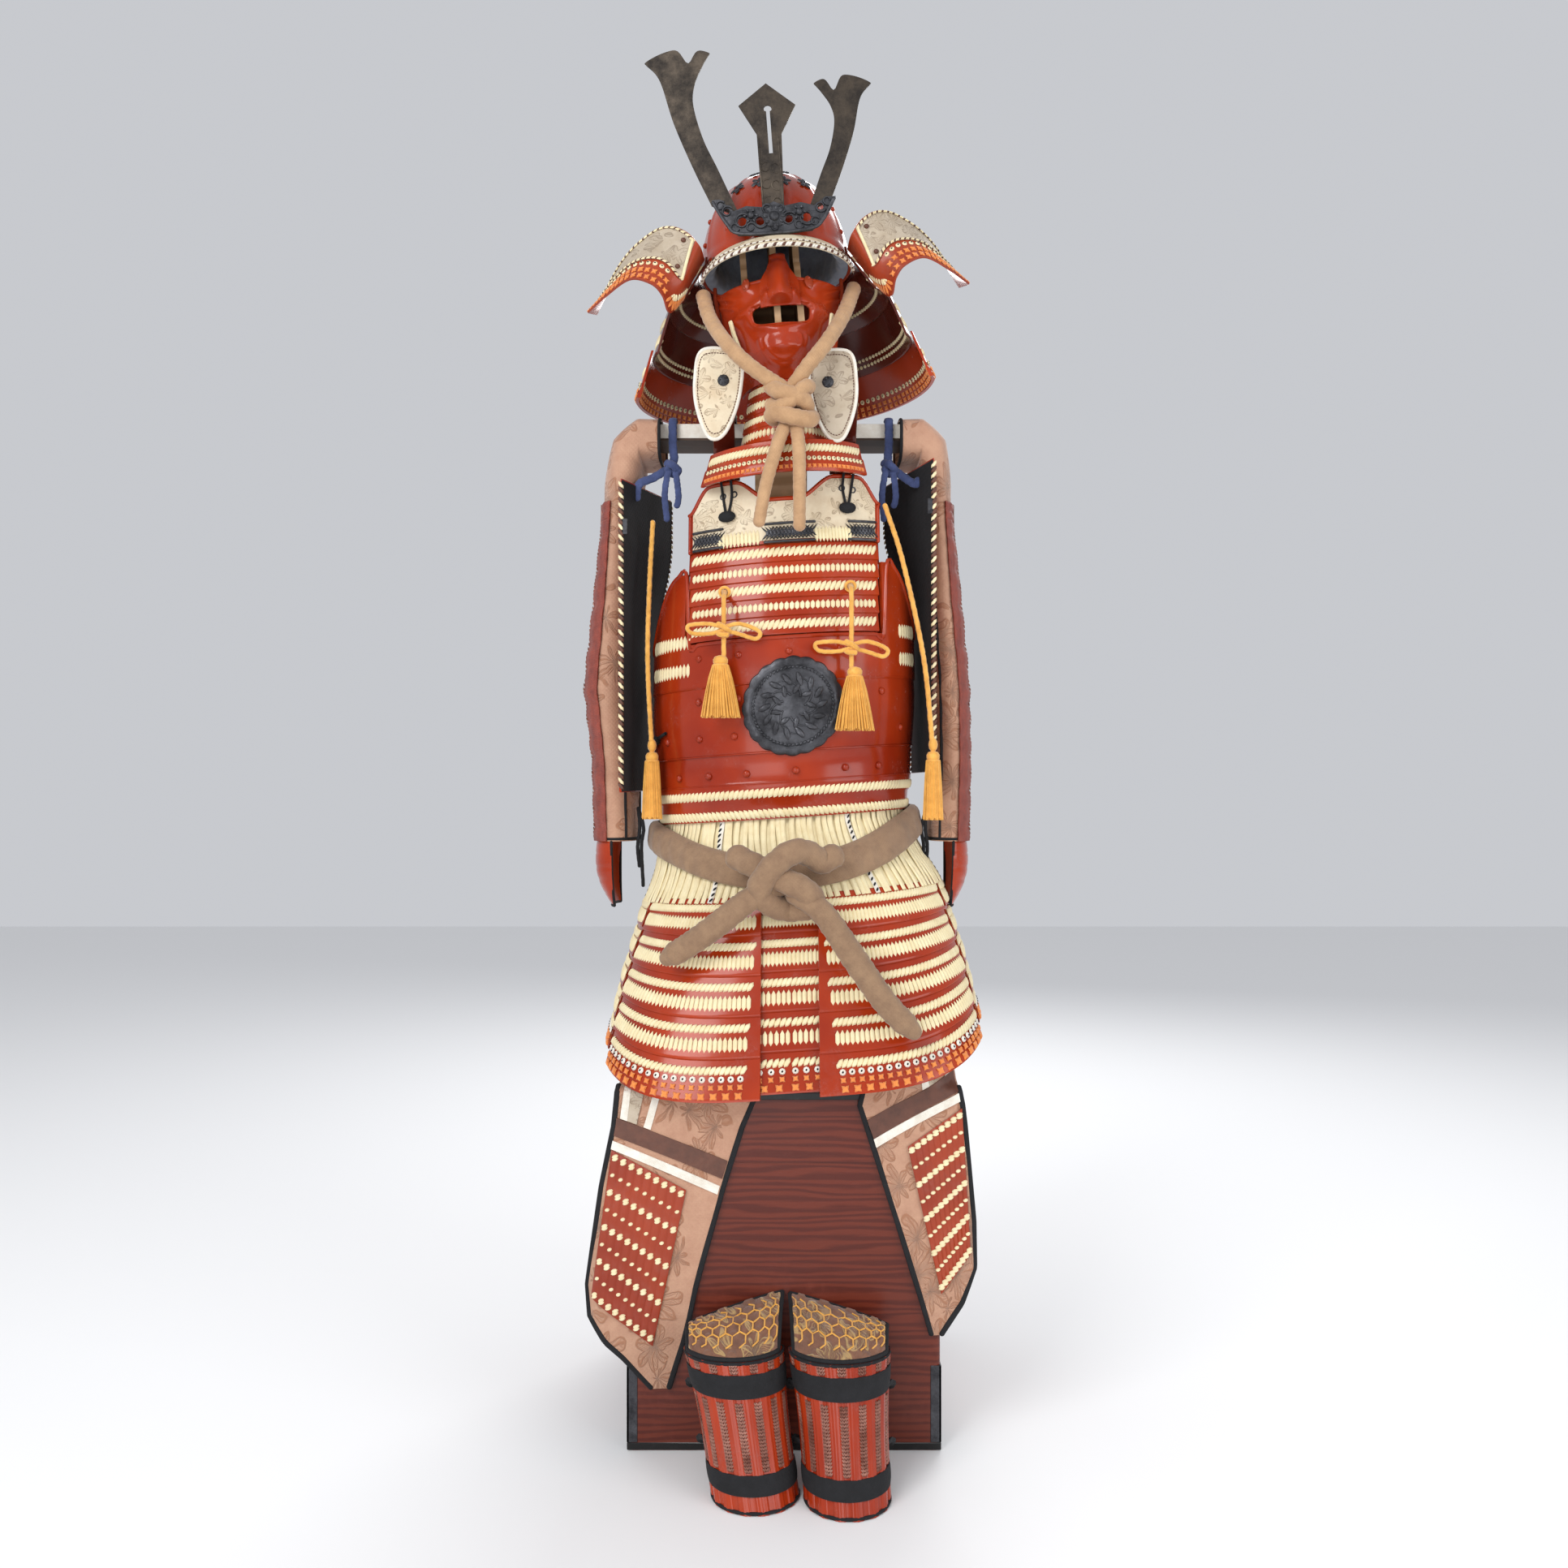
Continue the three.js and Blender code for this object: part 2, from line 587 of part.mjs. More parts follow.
function addCrest() {
  const bend = x => crest.y + x * x / 2200;
  const lean = (x, z) => bend(x) + 5.4 + gap + (z - 1520) * 0.06;
  const baseOutline = [[-46, crest.base], [0, crest.base - 3], [46, crest.base], [62, 1496],
    [78, 1524], [66, 1524], [50, 1514], [34, 1519], [14, 1516], [0, 1522], [-14, 1516],
    [-34, 1519], [-50, 1514], [-66, 1530], [-76, 1530], [-60, 1498]];
  const holes = [[-40, 1500, 6], [-18, 1499, 5.5], [18, 1499, 5.5], [40, 1500, 6],
    [-58, 1514, 4], [58, 1512, 4]].map(([x, z, r]) => roundHole(x, z, r));
  const base = plate(baseOutline, crest.plate, bend, holes);
  const rosette = ball(0, crest.y - 3, 1503, 30, 5.6, 30, 10, 4);
  const studs = [-29, 31].map(x => ball(x, crest.y - 1.6, 1506, 13, 4.6, 13, 6, 4));
  add('crest_base', 'iron', join([base, rosette, ...studs]), head);

  // Outline of one horn from its root at the inner side; stretch scales its height
  const horn = [[42, 1508], [62, 1557], [76, 1590], [84, 1625], [81, 1646], [71, 1664],
    [62, 1676], [80, 1677], [84, 1670], [90, 1666], [95, 1672], [98, 1684], [114, 1684],
    [134, 1674], [119, 1655], [107, 1610], [90, 1564], [72, 1522]];
  const sides = [{ side: 'left', sign: -1, stretch: 1.27, widen: 1.15 },
    { side: 'right', sign: 1, stretch: 0.98, widen: 1 }];
  sides.forEach(({ side, sign, stretch, widen }) => {
    const outline = horn.map(([x, z]) =>
      [sign * (42 + (x - 42) * widen), 1508 + (z - 1508) * stretch]);
    if (sign < 0) outline.reverse();
    add(`crest_horn_${side}`, 'bronze', plate(outline, 2.4, lean), head);
  });

  const blade = [[-14, 1510], [13, 1510], [17, 1610], [37, 1646], [2, 1676], [-34, 1650],
    [-14, 1612]];
  const slot = new THREE.Path();
  slot.moveTo(-0.2, 1586);
  slot.lineTo(-0.2, 1640);
  slot.absarc(2, 1643, 5, 1.14 * Math.PI, -0.14 * Math.PI, true);
  slot.lineTo(4.4, 1640);
  slot.lineTo(4.4, 1586);
  add('crest_blade', 'bronze', plate(blade, 2.4, (x, z) => lean(x, z) - 0.4, [slot]), head);
}

// Face mask in the head's own frame: sections of half width and depth below the eyes
const maskY = -15;
const maskRows = [
  { z: 1310, half: 58, depth: 90 },
  { z: 1325, half: 57, depth: 99 },
  { z: 1345, half: 62, depth: 112 },
  { z: 1372, half: 73, depth: 107 },
  { z: 1402, half: 81, depth: 104 },
  { z: 1440, half: 84, depth: 92 },
  { z: 1470, half: 84, depth: 78 },
];
const mask = { spread: 82, thickness: 2.5, top: 1468, bottom: 1310, noseHalf: 24 };

function maskPoint(turn, z, out) {
  return vec((read(maskRows, 'half', z) + out) * Math.sin(turn),
    maskY - (read(maskRows, 'depth', z) + out) * Math.cos(turn), z);
}

// Cheek folds and the lip roll, as rounded ridges on the outer face
function maskRelief(turn, z) {
  const ridge = (distance, width, height) => height * Math.exp(-((distance / width) ** 2));
  const side = Math.abs(turn);
  const cheek = ridge(z - 1416 - 26 * side, 9, 5) * smooth(side, 0.35, 0.6);
  const fold = ridge(z - 1398 + 40 * (side - 0.4) ** 2, 7, 4) * smooth(side, 0.4, 0.7);
  const lip = ridge(Math.hypot(turn * 95 / 46, (z - 1390) / 22) - 1, 0.25, 4);
  const chin = ridge(Math.hypot(turn * 95 / 26, (z - 1350) / 16), 1, 5);
  return cheek + fold + lip + chin;
}

function addMask() {
  const columns = steps(17, -deg(mask.spread), deg(mask.spread));
  const levels = steps(10);
  const topEdge = turn => mask.top - 14 * Math.exp(-(((Math.abs(turn) - 0.62) / 0.3) ** 2));
  const height = (turn, v) => mix(topEdge(turn), mask.bottom, v);
  const shell = wall(
    grid(columns, levels, (turn, v) => {
      const z = height(turn, v);
      return maskPoint(turn, z, v > 0 && v < 1 ? maskRelief(turn, z) : 0);
    }),
    grid(columns, steps(5), (turn, v) => maskPoint(turn, height(turn, v), -mask.thickness)),
  );
  const mouth = new THREE.CylinderGeometry(1, 1, 60, 20).scale(37, 1, 13)
    .translate(0, maskY - 110, 1389);
  add('mask', 'lacquer', toGeometry(toSolid(shell).subtract(toSolid(mouth))), head);

  // Nose piece, hooked on over the middle of the mask
  const rise = (x, z) => {
    const ridge = Math.max(0, 1 - (x / 15) ** 2);
    const length = smooth(z, 1397, 1404) * (1 - 0.72 * smooth(z, 1404, 1486));
    const wings = 9 * Math.exp(-(((Math.abs(x) - 15) / 6) ** 2) - ((z - 1407) / 9) ** 2);
    return 27 * ridge * length + wings;
  };
  const seat = (x, z, out) =>
    maskPoint(Math.asin(x / (read(maskRows, 'half', z) + out)), z, out);
  const across = steps(9, -mask.noseHalf, mask.noseHalf);
  const down = steps(7, 1473, 1396);
  const outer = grid(across, down, (x, z) => seat(x, z, 6.3 + rise(x, z)));
  const inner = grid(across, down, (x, z) => seat(x, z, 3.9));
  add('mask_nose', 'lacquer', wall(outer, inner), head);
}

// Throat guard: laced lames under the chin; the lowest is wide
function addThroatGuard() {
  const spread = 58;
  const drift = 0.097;
  const rows = [
    { z: 1186, half: 124, depth: 124 }, { z: 1227, half: 112, depth: 116 },
    { z: 1232, half: 66, depth: 101 }, { z: 1309.6, half: 54, depth: 90 },
  ];
  const at = (turn, z, out) => vec(
    (read(rows, 'half', z) + out) * Math.sin(turn) - drift * (1309.6 - z),
    maskY - (read(rows, 'depth', z) + out) * Math.cos(turn), z);
  const columns = steps(9, -deg(spread), deg(spread));
  const upper = lameRows(1309.6, 1232.4, 4, 2);
  const lower = [{ z: 1227, out: 0 }, { z: 1208, out: 0 }, { z: 1206, out: 1.4 },
    { z: 1186, out: 2 }];
  const outer = [...upper, ...lower].map(row => columns.map(turn => at(turn, row.z, row.out)));
  const inner = [1309.6, 1232, 1227, 1186].map(z => columns.map(turn => at(turn, z, -3)));
  add('throat_guard', 'lacquer', wall(outer, inner), head);
}

// Head rest of upright boards on a neck post, which fills out mask and helmet
function addHeadRest() {
  armour.updateMatrixWorld(true);
  const toHead = head.matrixWorld.clone().invert();
  const clear = bowl.wall + gap + 2.5 + 6.2;
  const bottom = 1352;
  const brow = 1462;
  const half = 4;
  const boards = [{ x: -43, drop: 6 }, { x: -4.5, drop: 0 }, { x: 25, drop: 3 }];
  const solids = boards.map(({ x, drop }) => {
    const edge = Math.abs(x) + half;
    const face = steps(5, bottom, brow).map(z => {
      const share = edge / (read(maskRows, 'half', z) - mask.thickness);
      const depth = read(maskRows, 'depth', z) - mask.thickness - gap - 1.6 - drop / 3;
      return [maskY - depth * Math.sqrt(1 - share ** 2), z];
    });
    const crown = steps(7, 0.3, 0.84).map(rise => {
      const p = bowlPoint(0, rise, -clear - drop);
      const reach = bowl.y - p.y;
      const share = edge / ((bowl.half - clear - drop) * reach / (bowl.depth - clear - drop));
      return { share, y: reach * Math.sqrt(Math.max(0, 1 - share ** 2)), z: p.z };
    }).filter(p => p.share < 0.9);
    const outline = [
      ...face, [-72, brow], ...crown.map(p => [bowl.y - p.y, p.z]),
      ...crown.reverse().map(p => [bowl.y + p.y, p.z]), [60, brow], [60, bottom],
    ];
    const shape = new THREE.Shape(outline.map(([y, z]) => new THREE.Vector2(y, z)));
    return new THREE.ExtrudeGeometry(shape, { depth: 2 * half, bevelEnabled: false })
      .applyMatrix4(new THREE.Matrix4().makeBasis(vec(0, 1, 0), vec(0, 0, 1), vec(1, 0, 0)))
      .translate(x - half, 0, 0);
  });
  const neck = block(headCentre.x, 20, boardTop + gap, 44, 44, 80).applyMatrix4(toHead);
  const base = block(-8, 0, bottom, 86, 90, 12);
  const brace = block(-9, 30, bottom, 76, 12, 120);
  add('head_rest', 'wood', join([...solids, neck, base, brace]), head);
}

// Padded helmet cord: two strands under the chin, a knot and two tails
function addHelmetCord() {
  const strands = [
    [[-104, -66, 1428], [-94, -94, 1390], [-72, -130, 1348], [-40, -142, 1314], [0, -140, 1288]],
    [[90, -60, 1440], [76, -94, 1396], [54, -130, 1350], [28, -142, 1314], [8, -140, 1286]],
  ].map(points => cord(points, 9, 6, 8));
  const tails = [
    [[2, -140, 1244], [-8, -153, 1216], [-22, -151, 1168], [-31, -146, 1121]],
    [[14, -140, 1244], [18, -153, 1216], [19, -151, 1168], [19, -146, 1116]],
  ].map(points => cord(points, 8, 6, 6));
  const knot = ball(8, -133.6, 1271, 50, 40, 74, 8, 6);
  const wrap = ball(9, -141, 1253, 64, 44, 38, 10, 5);
  add('helmet_cord', 'tanCloth', join([knot, wrap, ...strands, ...tails]));
}

// Leaf guards over the strap ends
function addLeafGuards() {
  const y = -108.7;
  const leaf = [[-14, -56], [6, -52], [24, -10], [29, 40], [18, 54], [-22, 54], [-31, 20],
    [-29, -18]];
  [{ side: 'left', x: -81, z: 1291, turn: 1 }, { side: 'right', x: 60, z: 1289, turn: -1 }]
    .forEach(({ side, x, z, turn }) => {
      const corners = leaf.map(([a, b]) => vec(turn * a, 0, b));
      const curve = new THREE.CatmullRomCurve3(corners, true, 'centripetal');
      const outline = curve.getPoints(16).slice(0, -1).map(p => [p.x, p.z]);
      if (turn < 0) outline.reverse();
      const flat = plate(outline, 2.6, a => -Math.abs(a) / 30);
      const stud = ball(turn * 5, -2.6, 15, 15, 4.4, 15, 8, 4);
      add(`leaf_guard_${side}`, 'leather', join([flat, stud]).translate(x, y, z));
    });
}

// Tassel: a bell head with strands rooted in it
function tasselParts(x, y, top, bottom, radius, flare) {
  const headHeight = 15;
  const profile = [[0, -headHeight], [radius, -headHeight], [radius * 0.9, -5], [0, 0]];
  const bell = new THREE.LatheGeometry(profile.map(([r, h]) => new THREE.Vector2(r, h)), 8)
    .rotateX(Math.PI / 2).translate(x, y, top);
  const strands = [];
  [{ count: 8, at: 0.74 }, { count: 4, at: 0.34 }].forEach(({ count, at }) => {
    for (let i = 0; i < count; i += 1) {
      const angle = (2 * Math.PI * i) / count + at;
      const length = top - bottom - headHeight + 4 - 3 * Math.abs(Math.sin(5 * angle));
      const strand = new THREE.CylinderGeometry(1.3, 1.4, length, 3).rotateX(Math.PI / 2);
      const splay = 1 + 0.16 * at;
      strands.push(strand.translate(0, 0, -length / 2).rotateY(-flare * Math.cos(angle) * splay)
        .rotateX(0.03 * Math.sin(angle) * splay)
        .translate(x + radius * at * Math.cos(angle), y + radius * at * Math.sin(angle),
          top - headHeight + 4));
    }
  });
  return [bell, ...strands];
}

function addTassels() {
  [{ side: 'left', x: -75, ring: 1042, bow: 994, head: 960, end: 882, sign: -1 },
    { side: 'right', x: 84, ring: 1050, bow: 972, head: 946, end: 866, sign: 1 }]
    .forEach(({ side, x, ring, bow, head: top, end, sign }) => {
      const seat = torso(turnAt(x, ring), ring - rowRise * x, 3.2 + gap).y;
      const y = -125;
      const parts = [
        ball(x, seat - 4.2, ring, 14, 8, 14, 8, 4),
        cord([[x, seat - 4, ring], [x, y - 1, ring - 14], [x, y, bow], [x, y, top - 4]], 3.4, 5, 6),
        ball(x, y - 2, bow, 17, 14, 22, 8, 4),
        cord([[x, y - 2, bow], [x - 22, y - 2, bow + 5], [x - 46, y - 1, bow - 2],
          [x - 40, y + 1, bow - 11], [x - 18, y - 1, bow - 8], [x, y - 3, bow - 4]], 3, 4, 7),
        cord([[x, y - 2, bow], [x + 22, y - 2, bow + 4], [x + 48, y - 1, bow - 8],
          [x + 42, y + 1, bow - 17], [x + 18, y - 1, bow - 10], [x, y - 3, bow - 4]], 3, 4, 7),
        ...tasselParts(x + sign * 4, y - 1, top, end, 9.5, 0.18),
      ];
      add(`front_tassel_${side}`, 'goldCord', join(parts));
    });
  const sides = [
    { side: 'left', route: [[-172, -32, 1144], [-176, -36, 1060], [-178, -40, 960],
      [-172, -44, 842]] },
    { side: 'right', route: [[130, -62, 1160], [152, -76, 1085], [178, -84, 960],
      [190, -84, 842]] },
  ];
  sides.forEach(({ side, route }) => {
    const [x, y, z] = route[route.length - 1];
    const parts = [
      cord(route, 3.4, 5, 12),
      ball(x, y, z + 8, 13, 13, 20, 6, 4),
      ...tasselParts(x, y, z, z - 88, 8.5, 0.06),
    ];
    add(`side_tassel_${side}`, 'goldCord', join(parts));
  });
}

// Shoulder guards hang edge on beside the body, open to the front
const guard = {
  front: 208, rear: 157, lowRear: 178, frontY: -62, depth: 160, top: 1208, bottom: 803, base: 3,
};

function addShoulderGuards() {
  [{ side: 'left', sign: -1, inset: 0 }, { side: 'right', sign: 1, inset: 17 }]
    .forEach(({ side, sign, inset }) => {
      const length = Math.hypot(guard.front - guard.rear, guard.depth);
      const lean = (guard.front - guard.rear) / length;
      const at = (u, z, out) => {
        const slack = smooth(z, 1000, 1150);
        const rear = mix(guard.lowRear, guard.rear - inset, slack);
        const x = sign * (mix(guard.front - inset, rear, u) + (out * guard.depth) / length);
        return vec(x, guard.frontY + guard.depth * u + out * lean, z + rowRise * x);
      };
      const columns = steps(4);
      const rows = lameRows(guard.top, guard.bottom, 6, 2);
      const outer = rows.map(row => columns.map(u => at(u, row.z, guard.base + row.out)));
      const inner = [guard.top, 1150, 1075, 1000, guard.bottom]
        .map(z => columns.map(u => at(u, z, 0)));
      const tieX = sign * (148 - inset / 2);
      const meet = at(0.27, guard.top - 18, 1);
      const tie = cord([
        [tieX, 14, boardTop + gap + 4.6], [tieX, 3, boardTop + gap + 6], [tieX, -6.6, boardTop - 1],
        [tieX, -5.4, board.bottom - 8], [tieX, -6, 1226], [mix(tieX, meet.x, 0.5), -11, 1207],
        [meet.x - sign * 4, meet.y, 1196], [meet.x, meet.y, meet.z],
      ], 4, 5, 12);
      add(`shoulder_guard_${side}`, 'lacquer', join([wall(outer, inner), tie]));
    });
}

// Sleeves: open tubes from the board's ends down to the wrist. Reach is the distance
// of a section's middle from the board's middle; tilt turns the section at the shoulder
const sleeveWall = 2.5;
const sleeveRows = {
  left: [
    { reach: 158, z: 1258.6, tilt: 90, half: 28, depth: 62, square: 4 },
    { reach: 187, z: 1258.6, tilt: 86, half: 28.5, depth: 64, square: 4 },
    { reach: 204, z: 1240, tilt: 44, half: 28, depth: 64, square: 3 },
    { reach: 213, z: 1196, tilt: 10, half: 24, depth: 63, square: 2.2 },
    { reach: 217, z: 1148, tilt: 2, half: 22, depth: 62, square: 2 },
    { reach: 222, z: 1049, tilt: 2, half: 27, depth: 64, square: 2 },
    { reach: 230, z: 930, tilt: 0, half: 32, depth: 66, square: 2 },
    { reach: 222, z: 830, tilt: 0, half: 30, depth: 62, square: 2 },
    { reach: 220, z: 724, tilt: 0, half: 28, depth: 52, square: 2 },
  ],
  right: [
    { reach: 158, z: 1258.6, tilt: 90, half: 28, depth: 62, square: 4 },
    { reach: 187, z: 1258.6, tilt: 86, half: 28.5, depth: 64, square: 4 },
    { reach: 202, z: 1240, tilt: 44, half: 28, depth: 64, square: 3 },
    { reach: 208, z: 1196, tilt: 10, half: 22, depth: 63, square: 2.2 },
    { reach: 211, z: 1148, tilt: 2, half: 20, depth: 62, square: 2 },
    { reach: 217, z: 1049, tilt: 2, half: 24, depth: 64, square: 2 },
    { reach: 226, z: 930, tilt: 0, half: 26, depth: 66, square: 2 },
    { reach: 228, z: 830, tilt: 0, half: 27, depth: 62, square: 2 },
    { reach: 226, z: 724, tilt: 0, half: 26, depth: 52, square: 2 },
  ],
};

function sleevePoint(side, place, angle, out) {
  const rows = sleeveRows[side];
  const low = Math.min(Math.floor(place), rows.length - 2);
  const at = column => mix(rows[low][column], rows[low + 1][column], place - low);
  const power = 2 / at('square');
  const shape = value => Math.sign(value) * Math.abs(value) ** power;
  const across = (at('half') + out) * shape(Math.cos(angle));
  const tilt = deg(at('tilt'));
  const sign = side === 'left' ? -1 : 1;
  return vec(board.x + sign * (at('reach') + across * Math.cos(tilt)),
    board.y - 4 + (at('depth') + out) * shape(Math.sin(angle)), at('z') + across * Math.sin(tilt));
}

function addSleeves() {
  ['left', 'right'].forEach(side => {
    const last = sleeveRows[side].length - 1;
    const around = steps(17, 0, 2 * Math.PI).slice(0, 16);
    const places = steps(last + 1, 0, last);
    const puff = (row, angle) => (row < 3 ? 0 : Math.sin(row * 2.7 + 2 * Math.sin(angle)));
    const swell = (place, angle) => {
      const low = Math.floor(place);
      return mix(puff(low, angle), puff(low + 1, angle), place - low);
    };
    const outer = grid(around, places, (a, p) => sleevePoint(side, p, a, swell(p, a)));
    const inner = grid(around, places,
      (a, p) => sleevePoint(side, p, a, swell(p, a) - sleeveWall));
    add(`sleeve_${side}`, 'brocade', wall(outer, inner, true));

    const arc = steps(5, -deg(45), deg(45));
    const stretch = steps(10, 3.5, 8);
    const ridge = i => (i % 2 ? 3.8 : 2.4);
    const face = stretch.map((p, i) =>
      arc.map(a => sleevePoint(side, p, a, swell(p, a) + gap + ridge(i))));
    const back = stretch.map(p => arc.map(a => sleevePoint(side, p, a, swell(p, a) + gap + 0.5)));
    add(`arm_plates_${side}`, 'lacquer', wall(face, back));

    // Hand guard below the wrist: a shell over the outer half, drawn in toward the fingers
    const hand = { top: sleeveRows[side][last].z - gap, length: 86, thickness: 3 };
    const shellAt = (a, v, out) => {
      const p = sleevePoint(side, last, a, out);
      const sign = side === 'left' ? -1 : 1;
      const middle = { x: board.x + sign * sleeveRows[side][last].reach, y: board.y - 4 };
      const narrow = 1 - 0.75 * v ** 3;
      const taper = 1 - 0.3 * v ** 2;
      return vec(mix(middle.x, p.x, narrow), mix(middle.y, p.y, taper), hand.top - hand.length * v);
    };
    const fan = steps(7, -deg(84), deg(84));
    const swellHand = v => 3 * Math.sin(Math.PI * v);
    const shell = grid(fan, steps(5), (a, v) => shellAt(a, v, swellHand(v)));
    const hollow = grid(fan, steps(4), (a, v) => shellAt(a, v, swellHand(v) - hand.thickness));
    add(`hand_guard_${side}`, 'lacquer', wall(shell, hollow));
  });
}

// Thigh guards hang from the waist behind the skirt and lie on the chest's front
const thighWall = 3;
const thighFront = -chest.depth / 2 - chest.lidReach - 2 * gap - thighWall / 2;
const thighRows = {
  left: [
    { z: 76, inner: -138, outer: -158 }, { z: 112, inner: -127, outer: -192 },
    { z: 131, inner: -121, outer: -214 }, { z: 160, inner: -114, outer: -234 },
    { z: 197, inner: -106, outer: -237 }, { z: 317, inner: -73, outer: -219 },
    { z: 390, inner: -50, outer: -204 }, { z: 430, inner: -33, outer: -200 },
    { z: 470, inner: -30, outer: -200 }, { z: 560, inner: -34, outer: -176 },
    { z: 690, inner: -30, outer: -112 },
  ],
  right: [
    { z: 140, inner: 177, outer: 188 }, { z: 178, inner: 166, outer: 213 },
    { z: 219, inner: 153, outer: 229 }, { z: 275, inner: 136, outer: 228 },
    { z: 390, inner: 99, outer: 217 }, { z: 415, inner: 91, outer: 214 },
    { z: 430, inner: 95, outer: 211 },
    { z: 470, inner: 90, outer: 204 }, { z: 560, inner: 70, outer: 180 },
    { z: 690, inner: 40, outer: 118 },
  ],
};

// Depth of the thigh guards: along the chest's front below, inside the skirt above
function thighY(x, z) {
  const wrap = 22 * (Math.max(0, Math.abs(x) - 210) / 36) ** 2;
  const level = clampSkirt(z - rowRise * x);
  const power = skirtPower(level);
  const out = -17.5;
  const across = (x - skirtDrift(level)) / (read(skirtRows, 'half', level) + out);
  const round = (1 - Math.min(0.97, Math.abs(across)) ** power) ** (1 / power);
  const under = torsoY - (read(skirtRows, 'front', level) + out) * round;
  return mix(thighFront + wrap, under, smooth(z, 431, 444));
}

function thighPoint(side, u, z, out) {
  const x = mix(read(thighRows[side], 'inner', z), read(thighRows[side], 'outer', z), u);
  return vec(x, thighY(x, z) - out, z);
}

function addThighGuards() {
  ['left', 'right'].forEach(side => {
    const low = thighRows[side][0].z;
    const levels = [690, 640, 560, 500, 470, 452, 445, 438, 431, 415, 390, 317, 245, 197, 160, 131, 112]
      .filter(z => z > low);
    levels.push(low);
    const columns = steps(6);
    const outer = grid(columns, levels, (u, z) => thighPoint(side, u, z, thighWall / 2));
    const inner = grid(columns, levels, (u, z) => thighPoint(side, u, z, -thighWall / 2));
    add(`thigh_guard_${side}`, 'brocade', wall(outer, inner));

    const corners = side === 'left'
      ? { top: [[-206, 362], [-117, 314]], foot: [[-232, 184], [-157, 128]] }
      : { top: [[213, 412], [148, 366]], foot: [[224, 238], [188, 190]] };
    const at = (u, v, out) => {
      const [x, z] = [0, 1].map(i => mix(
        mix(corners.top[0][i], corners.top[1][i], u),
        mix(corners.foot[0][i], corners.foot[1][i], u), v));
      return vec(x, thighY(x, z) - thighWall / 2 - gap - out, z);
    };
    const rows = [];
    steps(10).forEach((v, i) => rows.push({ v, out: i % 2 ? 3.6 : 2.2 }));
    const across = steps(6);
    add(`thigh_plates_${side}`, 'lacquer', wall(
      rows.map(row => across.map(u => at(u, row.v, row.out))),
      steps(5).map(v => across.map(u => at(u, v, 0.8))),
    ));
  });
}

// Shin guards stand on the floor, open at the back; their knee flaps lean on the chest
const shins = {
  left: {
    foot: { x: -32, half: 48, y: -290, depth: 48 }, head: { x: -58, half: 56, y: -250, depth: 46 },
  },
  right: {
    foot: { x: 71, half: 47, y: -300, depth: 50 }, head: { x: 64, half: 57, y: -254, depth: 48 },
  },
};
const shin = { height: 150, thickness: 3, spread: 96, splints: 4 };

function shinPoint(side, turn, z, out) {
  const { foot, head: top } = shins[side];
  const share = z / shin.height;
  const at = column => mix(foot[column], top[column], share);
  const waist = 1 - 0.06 * Math.sin(Math.PI * share);
  return vec(at('x') + (at('half') * waist + out) * Math.sin(turn),
    at('y') - (at('depth') * waist + out) * Math.cos(turn), z);
}

function addShinGuards() {
  ['left', 'right'].forEach(side => {
    const columns = steps(shin.splints * 4 + 1, -deg(shin.spread), deg(shin.spread));
    const bands = [{ z: 150, out: 2 }, { z: 132, out: 2 }, { z: 130, out: 0 },
      { z: 42, out: 0 }, { z: 40, out: 2 }, { z: 21, out: 2 }, { z: 19, out: 0 }, { z: 0, out: 0 }];
    const ridge = i => (i % 4 === 1 || i % 4 === 2 ? 1.6 : 0);
    const outer = bands.map(({ z, out }) =>
      columns.map((turn, i) => shinPoint(side, turn, z, out || ridge(i))));
    const inner = [150, 75, 0]
      .map(z => columns.map(turn => shinPoint(side, turn, z, -shin.thickness)));
    add(`shin_guard_${side}`, 'lacquer', wall(outer, inner));

    const sign = side === 'left' ? 1 : -1;
    const rise = side === 'left' ? 192 : 190;
    const flap = { rise, low: 163, thickness: 4, rest: -chest.depth / 2 - gap };
    const rear = turn => {
      const share = (turn / deg(shin.spread)) * sign;
      const x = shinPoint(side, turn, shin.height, 4).x;
      const back = smooth(share, -1, 0.55);
      return vec(x, mix(-226, flap.rest, back), mix(flap.low, flap.rise, smooth(share, -1, 1)));
    };
    const quilt = (u, v) => 1.5 * Math.abs(Math.sin(u * 9) * Math.cos(v * 8));
    const spread = deg(shin.spread) * 0.72;
    const flapPoint = (u, v) => {
      const turn = u * spread;
      const start = shinPoint(side, turn, shin.height + 2.2 + gap, -1);
      return start.lerp(rear(turn), v).add(vec(0, 0, 7 * Math.sin(Math.PI * Math.min(v, 1))));
    };
    const us = steps(7, -1, 1);
    const vs = steps(6);
    const skin = flap.thickness / 2;
    const top = grid(us, vs, (u, v) => flapPoint(u, v).add(vec(0, 0, skin + quilt(u * 1.5, v))));
    const under = grid(us, steps(5), (u, v) => flapPoint(u, v).sub(vec(0, 0, skin)));
    add(`knee_flap_${side}`, 'goldBrocade', wall(top, under));
  });
}

addStand();
addLowerCuirass('cuirass_front', 0, 46.8);
addLowerCuirass('cuirass_back', 180, 51.8);
addUpperFront();
addUpperBack();
addStraps();
addMedallion();
addWaist();
addTassets();
addBelt();
addBeltKnot();
addBowl();
addLining();
addVisor();
addNeckGuard();
addTurnBacks();
addCrest();
addMask();
addThroatGuard();
addHeadRest();
addHelmetCord();
addLeafGuards();
addTassels();
addShoulderGuards();
addSleeves();
addThighGuards();
addShinGuards();

export default armour;
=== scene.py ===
import math

